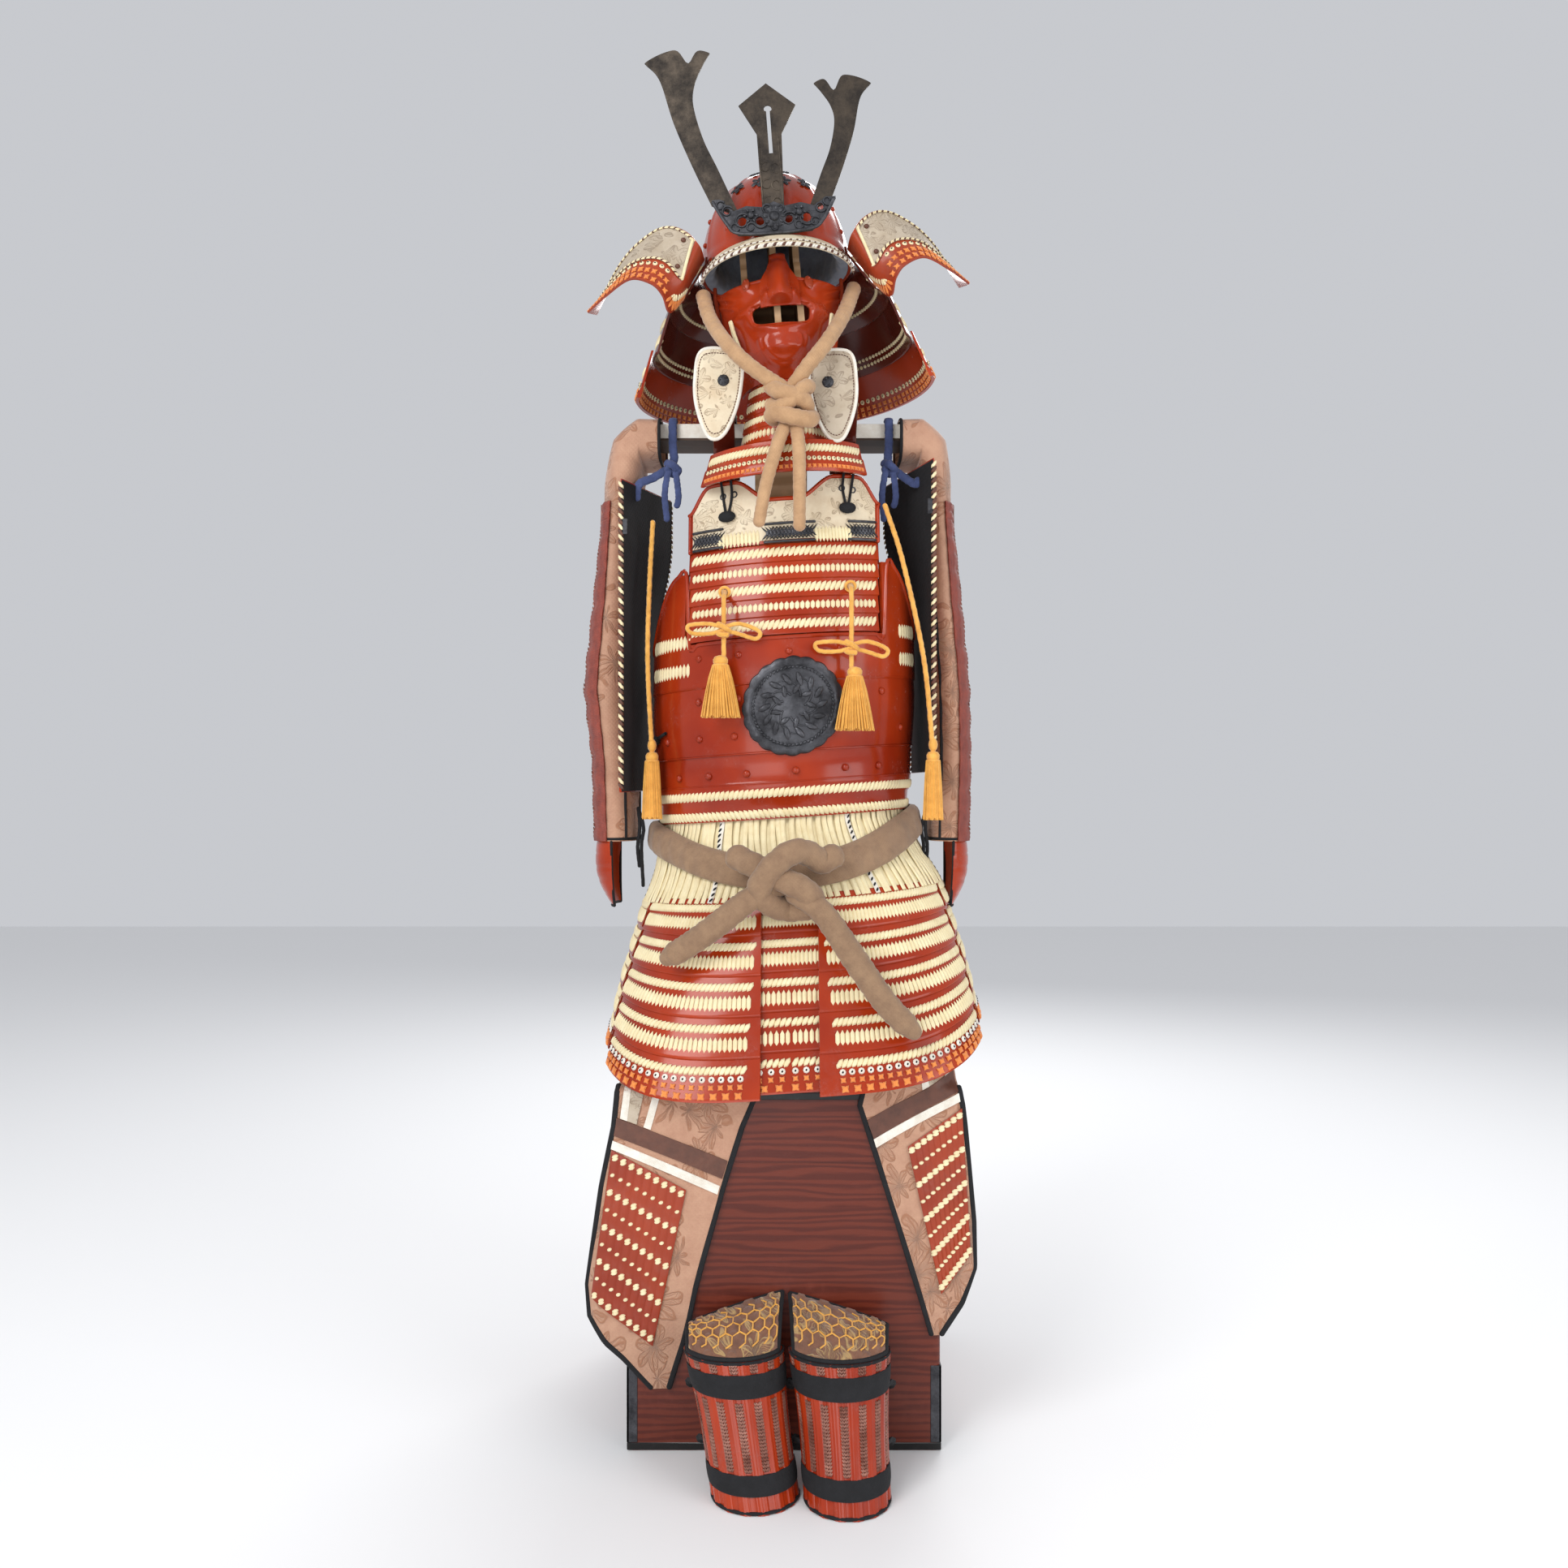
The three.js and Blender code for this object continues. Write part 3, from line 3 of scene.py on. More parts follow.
import bmesh
import bpy
import numpy as np
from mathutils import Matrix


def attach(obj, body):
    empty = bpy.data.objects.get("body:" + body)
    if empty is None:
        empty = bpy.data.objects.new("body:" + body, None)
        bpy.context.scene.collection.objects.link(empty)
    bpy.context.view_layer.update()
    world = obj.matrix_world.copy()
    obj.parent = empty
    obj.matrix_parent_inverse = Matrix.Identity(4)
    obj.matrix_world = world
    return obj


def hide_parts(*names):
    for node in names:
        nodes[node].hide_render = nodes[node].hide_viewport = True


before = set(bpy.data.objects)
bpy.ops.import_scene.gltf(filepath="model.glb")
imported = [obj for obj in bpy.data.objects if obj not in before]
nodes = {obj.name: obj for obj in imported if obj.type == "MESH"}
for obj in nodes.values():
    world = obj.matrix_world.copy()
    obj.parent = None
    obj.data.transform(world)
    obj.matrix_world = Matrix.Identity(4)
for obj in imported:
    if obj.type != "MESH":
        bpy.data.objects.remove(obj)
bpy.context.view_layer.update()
mm = 0.001  # every size below is in millimetres, and meshes are written in metres
seed = np.random.default_rng(7)

# Camera: level, straight in front, as high as the knot of the belt
photo = {"width": 1932, "focal": 1727, "distance": 1.870, "height": 0.800}
cameraData = bpy.data.cameras.new("camera")
cameraData.sensor_width = 36
cameraData.lens = 36 * photo["focal"] / photo["width"]
camera = bpy.data.objects.new("camera", cameraData)
camera.location = (0, -photo["distance"], photo["height"])
camera.rotation_euler = (math.pi / 2, 0, 0)
bpy.context.scene.collection.objects.link(camera)
bpy.context.scene.camera = camera
bpy.context.scene.view_settings.view_transform = "Standard"

# Studio: pale floor, soft light from the upper left, a weaker one from the right and behind
studio = {"floor": (0.86, 0.86, 0.86, 1), "sky": (0.93, 0.95, 1.0, 1), "skyPower": 0.62}
lamps = [
    {"name": "key", "at": (-1.6, -2.4, 2.6), "power": 56, "size": 1.6},
    {"name": "fill", "at": (2.2, -2.0, 1.4), "power": 30, "size": 1.8},
    {"name": "low", "at": (-0.6, -2.6, 0.4), "power": 16, "size": 1.4},
    {"name": "rim", "at": (0.6, 2.2, 2.4), "power": 45, "size": 1.6},
]


def makeStudio():
    world = bpy.data.worlds.new("studio")
    bpy.context.scene.world = world
    world.use_nodes = True
    sky = world.node_tree.nodes["Background"]
    sky.inputs["Color"].default_value = studio["sky"]
    sky.inputs["Strength"].default_value = studio["skyPower"]
    for lamp in lamps:
        data = bpy.data.lights.new(lamp["name"], "AREA")
        data.energy = lamp["power"]
        data.size = lamp["size"]
        light = bpy.data.objects.new(lamp["name"], data)
        light.location = lamp["at"]
        aim = np.array([0, 0, 0.85]) - np.array(lamp["at"])
        light.rotation_euler = (math.atan2(math.hypot(aim[0], aim[1]), -aim[2]), 0,
            math.atan2(aim[1], aim[0]) - math.pi / 2)
        bpy.context.scene.collection.objects.link(light)
    floorMesh = bpy.data.meshes.new("floor")
    floorMesh.from_pydata([(-6, -6, 0), (6, -6, 0), (6, 6, 0), (-6, 6, 0)], [], [(0, 1, 2, 3)])
    floor = bpy.data.objects.new("floor", floorMesh)
    floor.location.z = -0.0005
    paint = bpy.data.materials.new("floor")
    paint.use_nodes = True
    paint.node_tree.nodes["Principled BSDF"].inputs["Base Color"].default_value = studio["floor"]
    paint.node_tree.nodes["Principled BSDF"].inputs["Roughness"].default_value = 0.8
    floorMesh.materials.append(paint)
    bpy.context.scene.collection.objects.link(floor)


makeStudio()
print("studio ready")


# Node groups: each reads a position and puts out masks and heights
def newGroup(name, numbers):
    tree = bpy.data.node_groups.new(name, "ShaderNodeTree")
    tree.interface.new_socket("Vector", in_out="INPUT", socket_type="NodeSocketVector")
    for label, value in numbers.items():
        socket = tree.interface.new_socket(label, in_out="INPUT", socket_type="NodeSocketFloat")
        socket.default_value = value
    for label in ("Mask", "Height"):
        tree.interface.new_socket(label, in_out="OUTPUT", socket_type="NodeSocketFloat")
    return tree, tree.nodes.new("NodeGroupInput"), tree.nodes.new("NodeGroupOutput")


def addNode(tree, kind, values=None, **settings):
    node = tree.nodes.new(kind)
    for key, value in settings.items():
        setattr(node, key, value)
    for key, value in (values or {}).items():
        if isinstance(value, bpy.types.NodeSocket):
            tree.links.new(value, node.inputs[key])
        else:
            node.inputs[key].default_value = value
    return node


def calc(tree, operation, a, b=0.5, clamp=False):
    return addNode(tree, "ShaderNodeMath", {0: a, 1: b}, operation=operation, use_clamp=clamp).outputs[0]


def spread(tree, value, low, high, toLow=0.0, toHigh=1.0):
    return addNode(tree, "ShaderNodeMapRange",
        {"Value": value, "From Min": low, "From Max": high, "To Min": toLow, "To Max": toHigh}).outputs[0]


def noise(tree, vector, scale, detail=4.0, rough=0.55):
    return addNode(tree, "ShaderNodeTexNoise",
        {"Vector": vector, "Scale": scale, "Detail": detail, "Roughness": rough}).outputs[0]


def stretch(tree, vector, scale):
    return addNode(tree, "ShaderNodeMapping", {"Vector": vector, "Scale": scale}).outputs[0]


def makeWear():
    # Broad cloudy patches with fine specks in them; the height is the specks alone
    tree, given, out = newGroup("scuffs", {"Scale": 30.0, "Amount": 0.5})
    broad = noise(tree, given.outputs["Vector"], given.outputs["Scale"], 5.0, 0.65)
    fine = noise(tree, given.outputs["Vector"], calc(tree, "MULTIPLY", given.outputs["Scale"], 9.0), 3.0,
        0.6)
    patches = spread(tree, broad, 0.52, 0.72)
    mask = calc(tree, "MULTIPLY", calc(tree, "MULTIPLY", patches, spread(tree, fine, 0.3, 0.7)),
        given.outputs["Amount"], True)
    tree.links.new(mask, out.inputs["Mask"])
    tree.links.new(fine, out.inputs["Height"])
    return tree


def makeWeave():
    # Two sets of fine crossing waves; where they cross the thread stands highest
    tree, given, out = newGroup("threads", {"Scale": 700.0})
    waves = []
    for direction in ((1.0, 0.6, 1.0), (1.0, 0.6, -1.0)):
        turned = addNode(tree, "ShaderNodeVectorMath", {0: given.outputs["Vector"], 1: direction},
            operation="DOT_PRODUCT").outputs["Value"]
        angle = calc(tree, "MULTIPLY", turned, given.outputs["Scale"])
        waves.append(calc(tree, "SINE", angle, 0.0))
    height = calc(tree, "MULTIPLY_ADD", calc(tree, "MAXIMUM", waves[0], waves[1]), 0.5)
    tree.links.new(height, out.inputs["Height"])
    tree.links.new(noise(tree, given.outputs["Vector"], 60.0, 5.0, 0.7), out.inputs["Mask"])
    return tree


def makeLeaves():
    # Leaf sprays about scattered centres: lobe radius = 0.26 + 0.3 |sin(n angle / 2)|, with an
    # outline, a midrib and fine veins; noise bends them all
    tree, given, out = newGroup("leaves", {"Scale": 30.0, "Veins": 9.0})
    bend = addNode(tree, "ShaderNodeTexNoise", {"Vector": given.outputs["Vector"], "Scale": 30.0})
    shift = addNode(tree, "ShaderNodeVectorMath", {0: bend.outputs["Color"], 1: (0.022, 0.022, 0.022)},
        operation="MULTIPLY").outputs[0]
    at = addNode(tree, "ShaderNodeVectorMath", {0: given.outputs["Vector"], 1: shift},
        operation="ADD").outputs[0]
    cells = addNode(tree, "ShaderNodeTexVoronoi", {"Vector": at, "Scale": given.outputs["Scale"]},
        feature="F1")
    offset = addNode(tree, "ShaderNodeVectorMath", {0: at, 1: cells.outputs["Position"]},
        operation="SUBTRACT").outputs[0]
    parts = addNode(tree, "ShaderNodeSeparateXYZ", {0: offset}).outputs
    sideways = calc(tree, "ADD", parts[0], calc(tree, "MULTIPLY", parts[1], 0.7))
    angle = calc(tree, "ARCTAN2", sideways, parts[2])
    reach = cells.outputs["Distance"]
    turned = calc(tree, "MULTIPLY", angle, calc(tree, "MULTIPLY", given.outputs["Veins"], 0.5))
    lobe = calc(tree, "ABSOLUTE", calc(tree, "SINE", turned, 0.0), 0.0)
    size = calc(tree, "MULTIPLY_ADD", lobe, 0.3)
    size.node.inputs[2].default_value = 0.26
    inside = calc(tree, "SUBTRACT", size, reach)
    outline = spread(tree, calc(tree, "ABSOLUTE", inside, 0.0), 0.045, 0.015)
    body = spread(tree, inside, 0.0, 0.03)
    rib = calc(tree, "MULTIPLY", spread(tree, lobe, 0.965, 0.995), body)
    veins = calc(tree, "ADD", calc(tree, "MULTIPLY", lobe, 26.0), calc(tree, "MULTIPLY", reach, 46.0))
    hatch = calc(tree, "MULTIPLY", spread(tree, calc(tree, "SINE", veins, 0.0), -0.2, 0.9), body)
    strong = calc(tree, "MAXIMUM", outline, rib)
    mask = calc(tree, "MAXIMUM", strong, calc(tree, "MULTIPLY", hatch, 0.6), True)
    tree.links.new(mask, out.inputs["Mask"])
    tree.links.new(mask, out.inputs["Height"])
    return tree


def makeGrain():
    # Wood grain: noise drawn out along X with waves of the year rings across it
    tree, given, out = newGroup("grain", {"Scale": 12.0})
    long = stretch(tree, given.outputs["Vector"], (0.12, 1.0, 1.0))
    rings = addNode(tree, "ShaderNodeTexWave",
        {"Vector": long, "Scale": given.outputs["Scale"], "Distortion": 9.0, "Detail": 3.0,
        "Detail Scale": 1.4}, bands_direction="Z").outputs[1]
    fibre = noise(tree, stretch(tree, given.outputs["Vector"], (0.04, 1.0, 1.0)), 420.0, 4.0, 0.6)
    tree.links.new(rings, out.inputs["Mask"])
    tree.links.new(calc(tree, "MULTIPLY_ADD", fibre, 0.6), out.inputs["Height"])
    return tree


scuffs, threads, leaves, grain = makeWear(), makeWeave(), makeLeaves(), makeGrain()


def startMaterial(name, settings):
    paint = bpy.data.materials.new(name)
    paint.use_nodes = True
    tree = paint.node_tree
    shader = tree.nodes["Principled BSDF"]
    for key, value in settings.items():
        shader.inputs[key].default_value = value
    where = tree.nodes.new("ShaderNodeTexCoord").outputs["Object"]
    return paint, tree, shader, where


def use(tree, group, vector, **values):
    node = tree.nodes.new("ShaderNodeGroup")
    node.node_tree = group
    tree.links.new(vector, node.inputs["Vector"])
    for key, value in values.items():
        node.inputs[key].default_value = value
    return node.outputs["Mask"], node.outputs["Height"]


def mixColour(tree, share, a, b):
    node = tree.nodes.new("ShaderNodeMix")
    node.data_type = "RGBA"
    tree.links.new(share, node.inputs[0])
    for socket, value in ((node.inputs[6], a), (node.inputs[7], b)):
        if isinstance(value, bpy.types.NodeSocket):
            tree.links.new(value, socket)
        else:
            socket.default_value = (*value, 1)
    return node.outputs[2]


def finishBump(tree, shader, height, strength, distance):
    bump = addNode(tree, "ShaderNodeBump", {"Strength": strength, "Distance": distance * mm,
        "Height": height})
    tree.links.new(bump.outputs[0], shader.inputs["Normal"])


def lacquer(name, colour, deep, roughness=0.2, worn=0.5):
    # Glossy coat over a colour that darkens in clouds, with dull scuffs that show the ground
    paint, tree, shader, where = startMaterial(name,
        {"Coat Weight": 0.22, "Coat Roughness": 0.12, "Specular IOR Level": 0.25})
    mask, specks = use(tree, scuffs, where, Scale=26.0, Amount=worn)
    clouds = spread(tree, noise(tree, where, 7.0, 3.0), 0.35, 0.65)
    base = mixColour(tree, clouds, colour, deep)
    tree.links.new(mixColour(tree, mask, base, [0.6 * c + 0.05 for c in colour]),
        shader.inputs["Base Color"])
    tree.links.new(spread(tree, mask, 0, 0.6, roughness, roughness + 0.25), shader.inputs["Roughness"])
    finishBump(tree, shader, specks, 0.12, 0.3)
    return paint


def cloth(name, colour, shade, roughness=0.85, sheen=0.25, thread=900.0, relief=0.4):
    # Threads in relief; folds of a second tone follow soft noise
    paint, tree, shader, where = startMaterial(name, {"Sheen Weight": sheen, "Roughness": roughness})
    tone, height = use(tree, threads, where, Scale=thread)
    tree.links.new(mixColour(tree, spread(tree, tone, 0.35, 0.68), colour, shade),
        shader.inputs["Base Color"])
    finishBump(tree, shader, height, relief, 0.4)
    return paint


def printedLeather(name, colour, print_, stain):
    # Smoked leather: pale ground, leaf print in thin brown lines, cloudy stains, pores
    paint, tree, shader, where = startMaterial(name, {"Roughness": 0.6})
    motif, _ = use(tree, leaves, where, Scale=46.0, Veins=5.0)
    worn, pores = use(tree, scuffs, where, Scale=38.0, Amount=1.0)
    clouds = spread(tree, noise(tree, where, 26.0, 6.0, 0.7), 0.4, 0.7)
    base = mixColour(tree, clouds, colour, stain)
    share = calc(tree, "MULTIPLY", calc(tree, "SUBTRACT", motif, worn, True), 0.6)
    tree.links.new(mixColour(tree, share, base, print_), shader.inputs["Base Color"])
    finishBump(tree, shader, pores, 0.35, 0.4)
    return paint


def brocade(name, ground, figure, dark):
    # Leaves woven in relief on a ground of fine threads
    paint, tree, shader, where = startMaterial(name, {"Sheen Weight": 0.3, "Roughness": 0.8})
    flat = stretch(tree, where, (1.0, 0.7, 0.8))
    motif, relief = use(tree, leaves, flat, Scale=24.0, Veins=7.0)
    tone, height = use(tree, threads, where, Scale=1100.0)
    base = mixColour(tree, spread(tree, tone, 0.35, 0.7), ground, dark)
    tree.links.new(mixColour(tree, calc(tree, "MULTIPLY", motif, 0.85), base, figure),
        shader.inputs["Base Color"])
    both = calc(tree, "ADD", calc(tree, "MULTIPLY", height, 0.25), relief)
    finishBump(tree, shader, both, 0.7, 1.0)
    return paint


def metal(name, colour, patina, roughness=0.42, share=0.9, metallic=0.85):
    # Old metal: patina in patches, brighter where it is rubbed, finely pitted
    paint, tree, shader, where = startMaterial(name, {"Metallic": metallic})
    mask, pits = use(tree, scuffs, where, Scale=34.0, Amount=share)
    clouds = spread(tree, noise(tree, where, 30.0, 6.0, 0.75), 0.38, 0.62)
    tone = mixColour(tree, clouds, colour, patina)
    tree.links.new(mixColour(tree, mask, tone, [min(1.0, 1.7 * c) for c in colour]),
        shader.inputs["Base Color"])
    tree.links.new(spread(tree, clouds, 0, 1, roughness, roughness + 0.25), shader.inputs["Roughness"])
    finishBump(tree, shader, pits, 0.3, 0.4)
    return paint


def wood(name, colour, dark, roughness, coat, scale=12.0):
    # Year rings in a darker tone, fibres in relief, and pale worn patches
    paint, tree, shader, where = startMaterial(name,
        {"Coat Weight": coat, "Coat Roughness": 0.2, "Specular IOR Level": 0.25})
    rings, fibre = use(tree, grain, where, Scale=scale)
    worn, _ = use(tree, scuffs, where, Scale=9.0, Amount=0.6)
    base = mixColour(tree, spread(tree, rings, 0.2, 0.85), colour, dark)
    tree.links.new(mixColour(tree, worn, base, [1.5 * c + 0.01 for c in colour]),
        shader.inputs["Base Color"])
    tree.links.new(spread(tree, worn, 0, 1, roughness, roughness + 0.2), shader.inputs["Roughness"])
    finishBump(tree, shader, fibre, 0.35, 0.5)
    return paint


paints = {
    "red": lacquer("red lacquer", (0.40, 0.038, 0.006), (0.27, 0.020, 0.004)),
    "redDull": lacquer("rose lacquer", (0.36, 0.050, 0.016), (0.25, 0.028, 0.010), 0.35, 0.6),
    # Dark lacquer of the shoulder straps; on the two upper neck lames this dark red is painted shade
    "redDark": lacquer("dark lacquer and painted shade", (0.115, 0.016, 0.008), (0.07, 0.010, 0.006), 0.16, 0.3),
    "black": lacquer("black lacquer", (0.012, 0.011, 0.011), (0.006, 0.006, 0.006), 0.3, 0.4),
    "cream": cloth("cream silk", (0.84, 0.74, 0.47), (0.74, 0.61, 0.35), 0.7, 0.2, 2400.0, 0.25),
    "orange": cloth("orange silk", (0.83, 0.27, 0.045), (0.66, 0.18, 0.03), 0.65, 0.3, 2200.0),
    "white": cloth("white silk", (0.83, 0.80, 0.72), (0.68, 0.62, 0.52), 0.7, 0.3, 2200.0),
    "gold": cloth("gold silk", (0.82, 0.42, 0.07), (0.62, 0.28, 0.03), 0.55, 0.4, 1800.0, 0.3),
    "tan": cloth("tan cotton", (0.50, 0.30, 0.155), (0.40, 0.23, 0.115), 0.9, 0.25, 1500.0, 0.5),
    "belt": cloth("brown cotton", (0.30, 0.185, 0.105), (0.22, 0.13, 0.075), 0.9, 0.2, 1500.0, 0.5),
    "blackCloth": cloth("black cotton", (0.010, 0.010, 0.012), (0.005, 0.005, 0.006), 0.9, 0.0),
    "blue": cloth("blue cotton", (0.065, 0.090, 0.22), (0.035, 0.050, 0.13), 0.9, 0.15),
    "greyCloth": cloth("grey cotton", (0.28, 0.32, 0.40), (0.20, 0.23, 0.29), 0.9, 0.3),
    "brownLeather": cloth("brown leather", (0.13, 0.045, 0.025), (0.08, 0.028, 0.016), 0.5, 0.0,
                          500.0, 0.3),
    "leather": printedLeather("cream leather", (0.72, 0.62, 0.45), (0.20, 0.12, 0.06),
                              (0.60, 0.47, 0.31)),
    # Grey leather; on the right leaf guard this darker grey is painted shade over the cream leather
    "greyLeatherAndShade": printedLeather("grey leather and painted shade", (0.50, 0.42, 0.32), (0.16, 0.11, 0.07),
                                  (0.38, 0.30, 0.21)),
    "brocade": brocade("rose brocade", (0.50, 0.285, 0.185), (0.33, 0.145, 0.075),
                       (0.42, 0.22, 0.14)),
    "goldBrocade": brocade("brown brocade", (0.22, 0.095, 0.05), (0.46, 0.30, 0.12),
                           (0.14, 0.06, 0.035)),
    "bronze": metal("old bronze", (0.080, 0.062, 0.046), (0.036, 0.030, 0.026), 0.5, 0.5, 0.7),
    "iron": metal("dark iron", (0.085, 0.086, 0.095), (0.036, 0.036, 0.040), 0.38),
    "mailCloth": cloth("red mail", (0.30, 0.055, 0.032), (0.17, 0.030, 0.020), 0.5, 0.0, 1900.0,
                       1.0),
    "mail": metal("mail", (0.34, 0.16, 0.12), (0.17, 0.06, 0.04), 0.5, 0.8, 0.5),
    "chestWood": wood("chest lacquer", (0.135, 0.024, 0.012), (0.085, 0.014, 0.008), 0.3, 0.15,
                      34.0),
    "paleWood": wood("pale wood", (0.46, 0.30, 0.17), (0.33, 0.20, 0.10), 0.6, 0.0, 16.0),
    # Painted shade: this dark wood colours the shoulder board's core, for the shade on its underside
    "darkWood": wood("wood in painted shade", (0.085, 0.050, 0.032), (0.05, 0.03, 0.02), 0.6, 0.0),
}
print("materials ready")


# Slots that a paint has unless its piece names another
paintSlots = {
    "cream": "cream_lacing", "orange": "cream_lacing", "red": "red_lacquer", "iron": "iron",
    "bronze": "bronze", "mail": "iron", "brocade": "brocade", "leather": "printed_leather",
    "greyLeatherAndShade": "printed_leather", "tan": "tan_cloth", "belt": "tan_cloth",
}


# Meshes are gathered as arrays and written once
class Batch:
    def __init__(self):
        self.points, self.quads, self.triangles, self.count = [], [], [], 0

    def add(self, points, quads=None, triangles=None):
        points = np.asarray(points, float).reshape(-1, 3)
        if quads is not None and len(quads):
            self.quads.append(np.asarray(quads).reshape(-1, 4) + self.count)
        if triangles is not None and len(triangles):
            self.triangles.append(np.asarray(triangles).reshape(-1, 3) + self.count)
        self.points.append(points)
        self.count += len(points)

    def piece(self, name, paint, slot=None, replaces=(), crease=40, weld=False):
        mesh = bpy.data.meshes.new(name)
        faces = [row for block in self.quads + self.triangles for row in block.tolist()]
        mesh.from_pydata((np.concatenate(self.points) * mm).tolist(), [], faces)
        if weld:
            work = bmesh.new()
            work.from_mesh(mesh)
            bmesh.ops.remove_doubles(work, verts=work.verts, dist=2e-5)
            bmesh.ops.dissolve_degenerate(work, edges=work.edges, dist=1e-6)
            work.to_mesh(mesh)
            work.free()
        mesh.shade_smooth()
        mesh.set_sharp_from_angle(angle=math.radians(crease))
        made = bpy.data.objects.new(name, mesh)
        bpy.context.scene.collection.objects.link(made)
        mesh.materials.append(paints[paint])
        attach(made, "root")
        slot = slot or paintSlots.get(paint)
        if replaces:
            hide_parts(*replaces)
        return made


def batches(count):
    return [Batch() for _ in range(count)]


def unit(vectors):
    return vectors / np.maximum(np.linalg.norm(vectors, axis=-1, keepdims=True), 1e-9)


def place(x, y, z):
    return np.stack(np.broadcast_arrays(x, y, z), -1).astype(float)


def fullTurn(count):
    # Angles all the way round, without the last, which is the first again
    return np.linspace(0, 2 * math.pi, count, endpoint=False)


def forward(points):
    # For each point, the direction to the front
    return np.broadcast_to([0.0, -1.0, 0.0], points.shape)


def ease(value, low, high):
    t = np.clip((value - low) / (high - low), 0, 1)
    return t * t * (3 - 2 * t)


def look(table, column, z):
    return np.interp(z, table["z"], table[column])


def gridFaces(rows, columns, wrap=False):
    # Quads of a grid of points, numbered row by row; wrap joins the last column to the first
    index = np.arange(rows * columns).reshape(rows, columns)
    if wrap:
        index = np.concatenate([index, index[:, :1]], 1)
    return np.stack([index[:-1, :-1], index[1:, :-1], index[1:, 1:], index[:-1, 1:]], -1)


def addWall(batch, outer, inner, wrap=False):
    # A closed wall: the outer grid, the inner one turned round, and a strip along each free edge
    rows, columns = outer.shape[:2]
    total = rows * columns
    faces = [gridFaces(rows, columns, wrap).reshape(-1, 4)]
    faces.append(faces[0][:, ::-1] + total)
    index = np.arange(total).reshape(rows, columns)
    ring = [index[0], index[-1][::-1]]
    if wrap:
        ring = [np.append(line, line[0]) for line in ring]
    else:
        ring += [index[:, -1], index[::-1, 0]]
    for line in ring:
        a, b = line[:-1], line[1:]
        faces.append(np.stack([a, b, b + total, a + total], -1))
    faces = np.concatenate(faces)
    points = np.concatenate([outer.reshape(-1, 3), inner.reshape(-1, 3)])
    a, b, c = points[faces[:, 0]], points[faces[:, 1]], points[faces[:, 2]]
    d = points[faces[:, 3]]
    volume = (np.einsum("ij,ij->i", a, np.cross(b, c)) + np.einsum("ij,ij->i", a, np.cross(c, d)))
    if volume.sum() < 0:
        faces = faces[:, ::-1]
    batch.add(points, faces)


def onSurface(surface, u, v, out=0.0, du=0.01, dv=0.5):
    # Point, side, up and outward directions of a surface, from its small differences
    u, v = np.broadcast_arrays(np.asarray(u, float), np.asarray(v, float))
    point = surface(u, v, out)
    side = unit(surface(u + du, v, out) - surface(u - du, v, out))
    up = surface(u, v + dv, out) - surface(u, v - dv, out)
    up = unit(up - np.sum(up * side, -1, keepdims=True) * side)
    return point, side, up, np.cross(side, up)


def ellipsoid(around, rings, under=-1.0):
    # Unit ball: long axis X, height Z; closed at both poles. With its lower pole raised to
    # under, the rings below the middle are left out, since they lie in the surface
    tilt = np.linspace(-math.pi / 2, math.pi / 2, rings + 2)[1:-1]
    tilt = tilt[tilt > -0.01] if under > -1 else tilt
    rings = len(tilt)
    turn = np.arange(around) * 2 * math.pi / around
    middle = place(np.cos(tilt)[:, None] * np.cos(turn), np.cos(tilt)[:, None] * np.sin(turn),
        np.sin(tilt)[:, None] * np.ones(around)).reshape(-1, 3)
    points = np.concatenate([middle, [[0, 0, under], [0, 0, 1]]])
    low, high = rings * around, rings * around + 1
    first = np.arange(around)
    last = first + (rings - 1) * around
    triangles = np.concatenate([np.stack([np.full(around, low), np.roll(first, -1), first], -1),
        np.stack([np.full(around, high), last, np.roll(last, -1)], -1)])
    return points, gridFaces(rings, around, True).reshape(-1, 4)[:, ::-1], triangles


pillow, pebble, dome = ellipsoid(6, 3, -0.6), ellipsoid(8, 3, -0.6), ellipsoid(12, 5)


def stamp(batch, shape, centres, along, normal, sizes):
    # Copies of a unit shape, each scaled by its half sizes along, across and out of the surface
    points, quads, triangles = shape
    centres, along, normal = (np.reshape(a, (-1, 3)) for a in (centres, along, normal))
    across = np.cross(normal, along)
    sizes = np.broadcast_to(np.asarray(sizes, float), (len(centres), 3))
    made = (centres[:, None] + points[None, :, :1] * sizes[:, None, :1] * along[:, None]
        + points[None, :, 1:2] * sizes[:, None, 1:2] * across[:, None] + points[None, :, 2:]
        * sizes[:, None, 2:] * normal[:, None])
    step = (np.arange(len(centres)) * len(points))[:, None, None]
    batch.add(made, quads[None] + step, triangles[None] + step)


def smoothPath(points, count, closed=False):
    # Catmull-Rom curve through the points, sampled at even steps of its length
    p = np.asarray(points, float)
    p = np.concatenate([p[-1:], p, p[:2]]) if closed else np.concatenate([2 * p[:1] - p[1:2], p,
        2 * p[-1:] - p[-2:-1]])
    t = np.linspace(0, len(p) - 3, 24 * len(p))
    i = np.minimum(t.astype(int), len(p) - 4)
    f = (t - i)[:, None]
    a, b, c, d = p[i], p[i + 1], p[i + 2], p[i + 3]
    line = 0.5 * (2 * b + (c - a) * f + (2 * a - 5 * b + 4 * c - d) * f ** 2 + (3 * b - a - 3 * c + d)
        * f ** 3)
    length = np.append(0, np.cumsum(np.linalg.norm(np.diff(line, axis=0), axis=1)))
    even = np.linspace(0, length[-1], count + (1 if closed else 0))
    line = np.stack([np.interp(even, length, line[:, k]) for k in range(3)], -1)
    return line[:-1] if closed else line


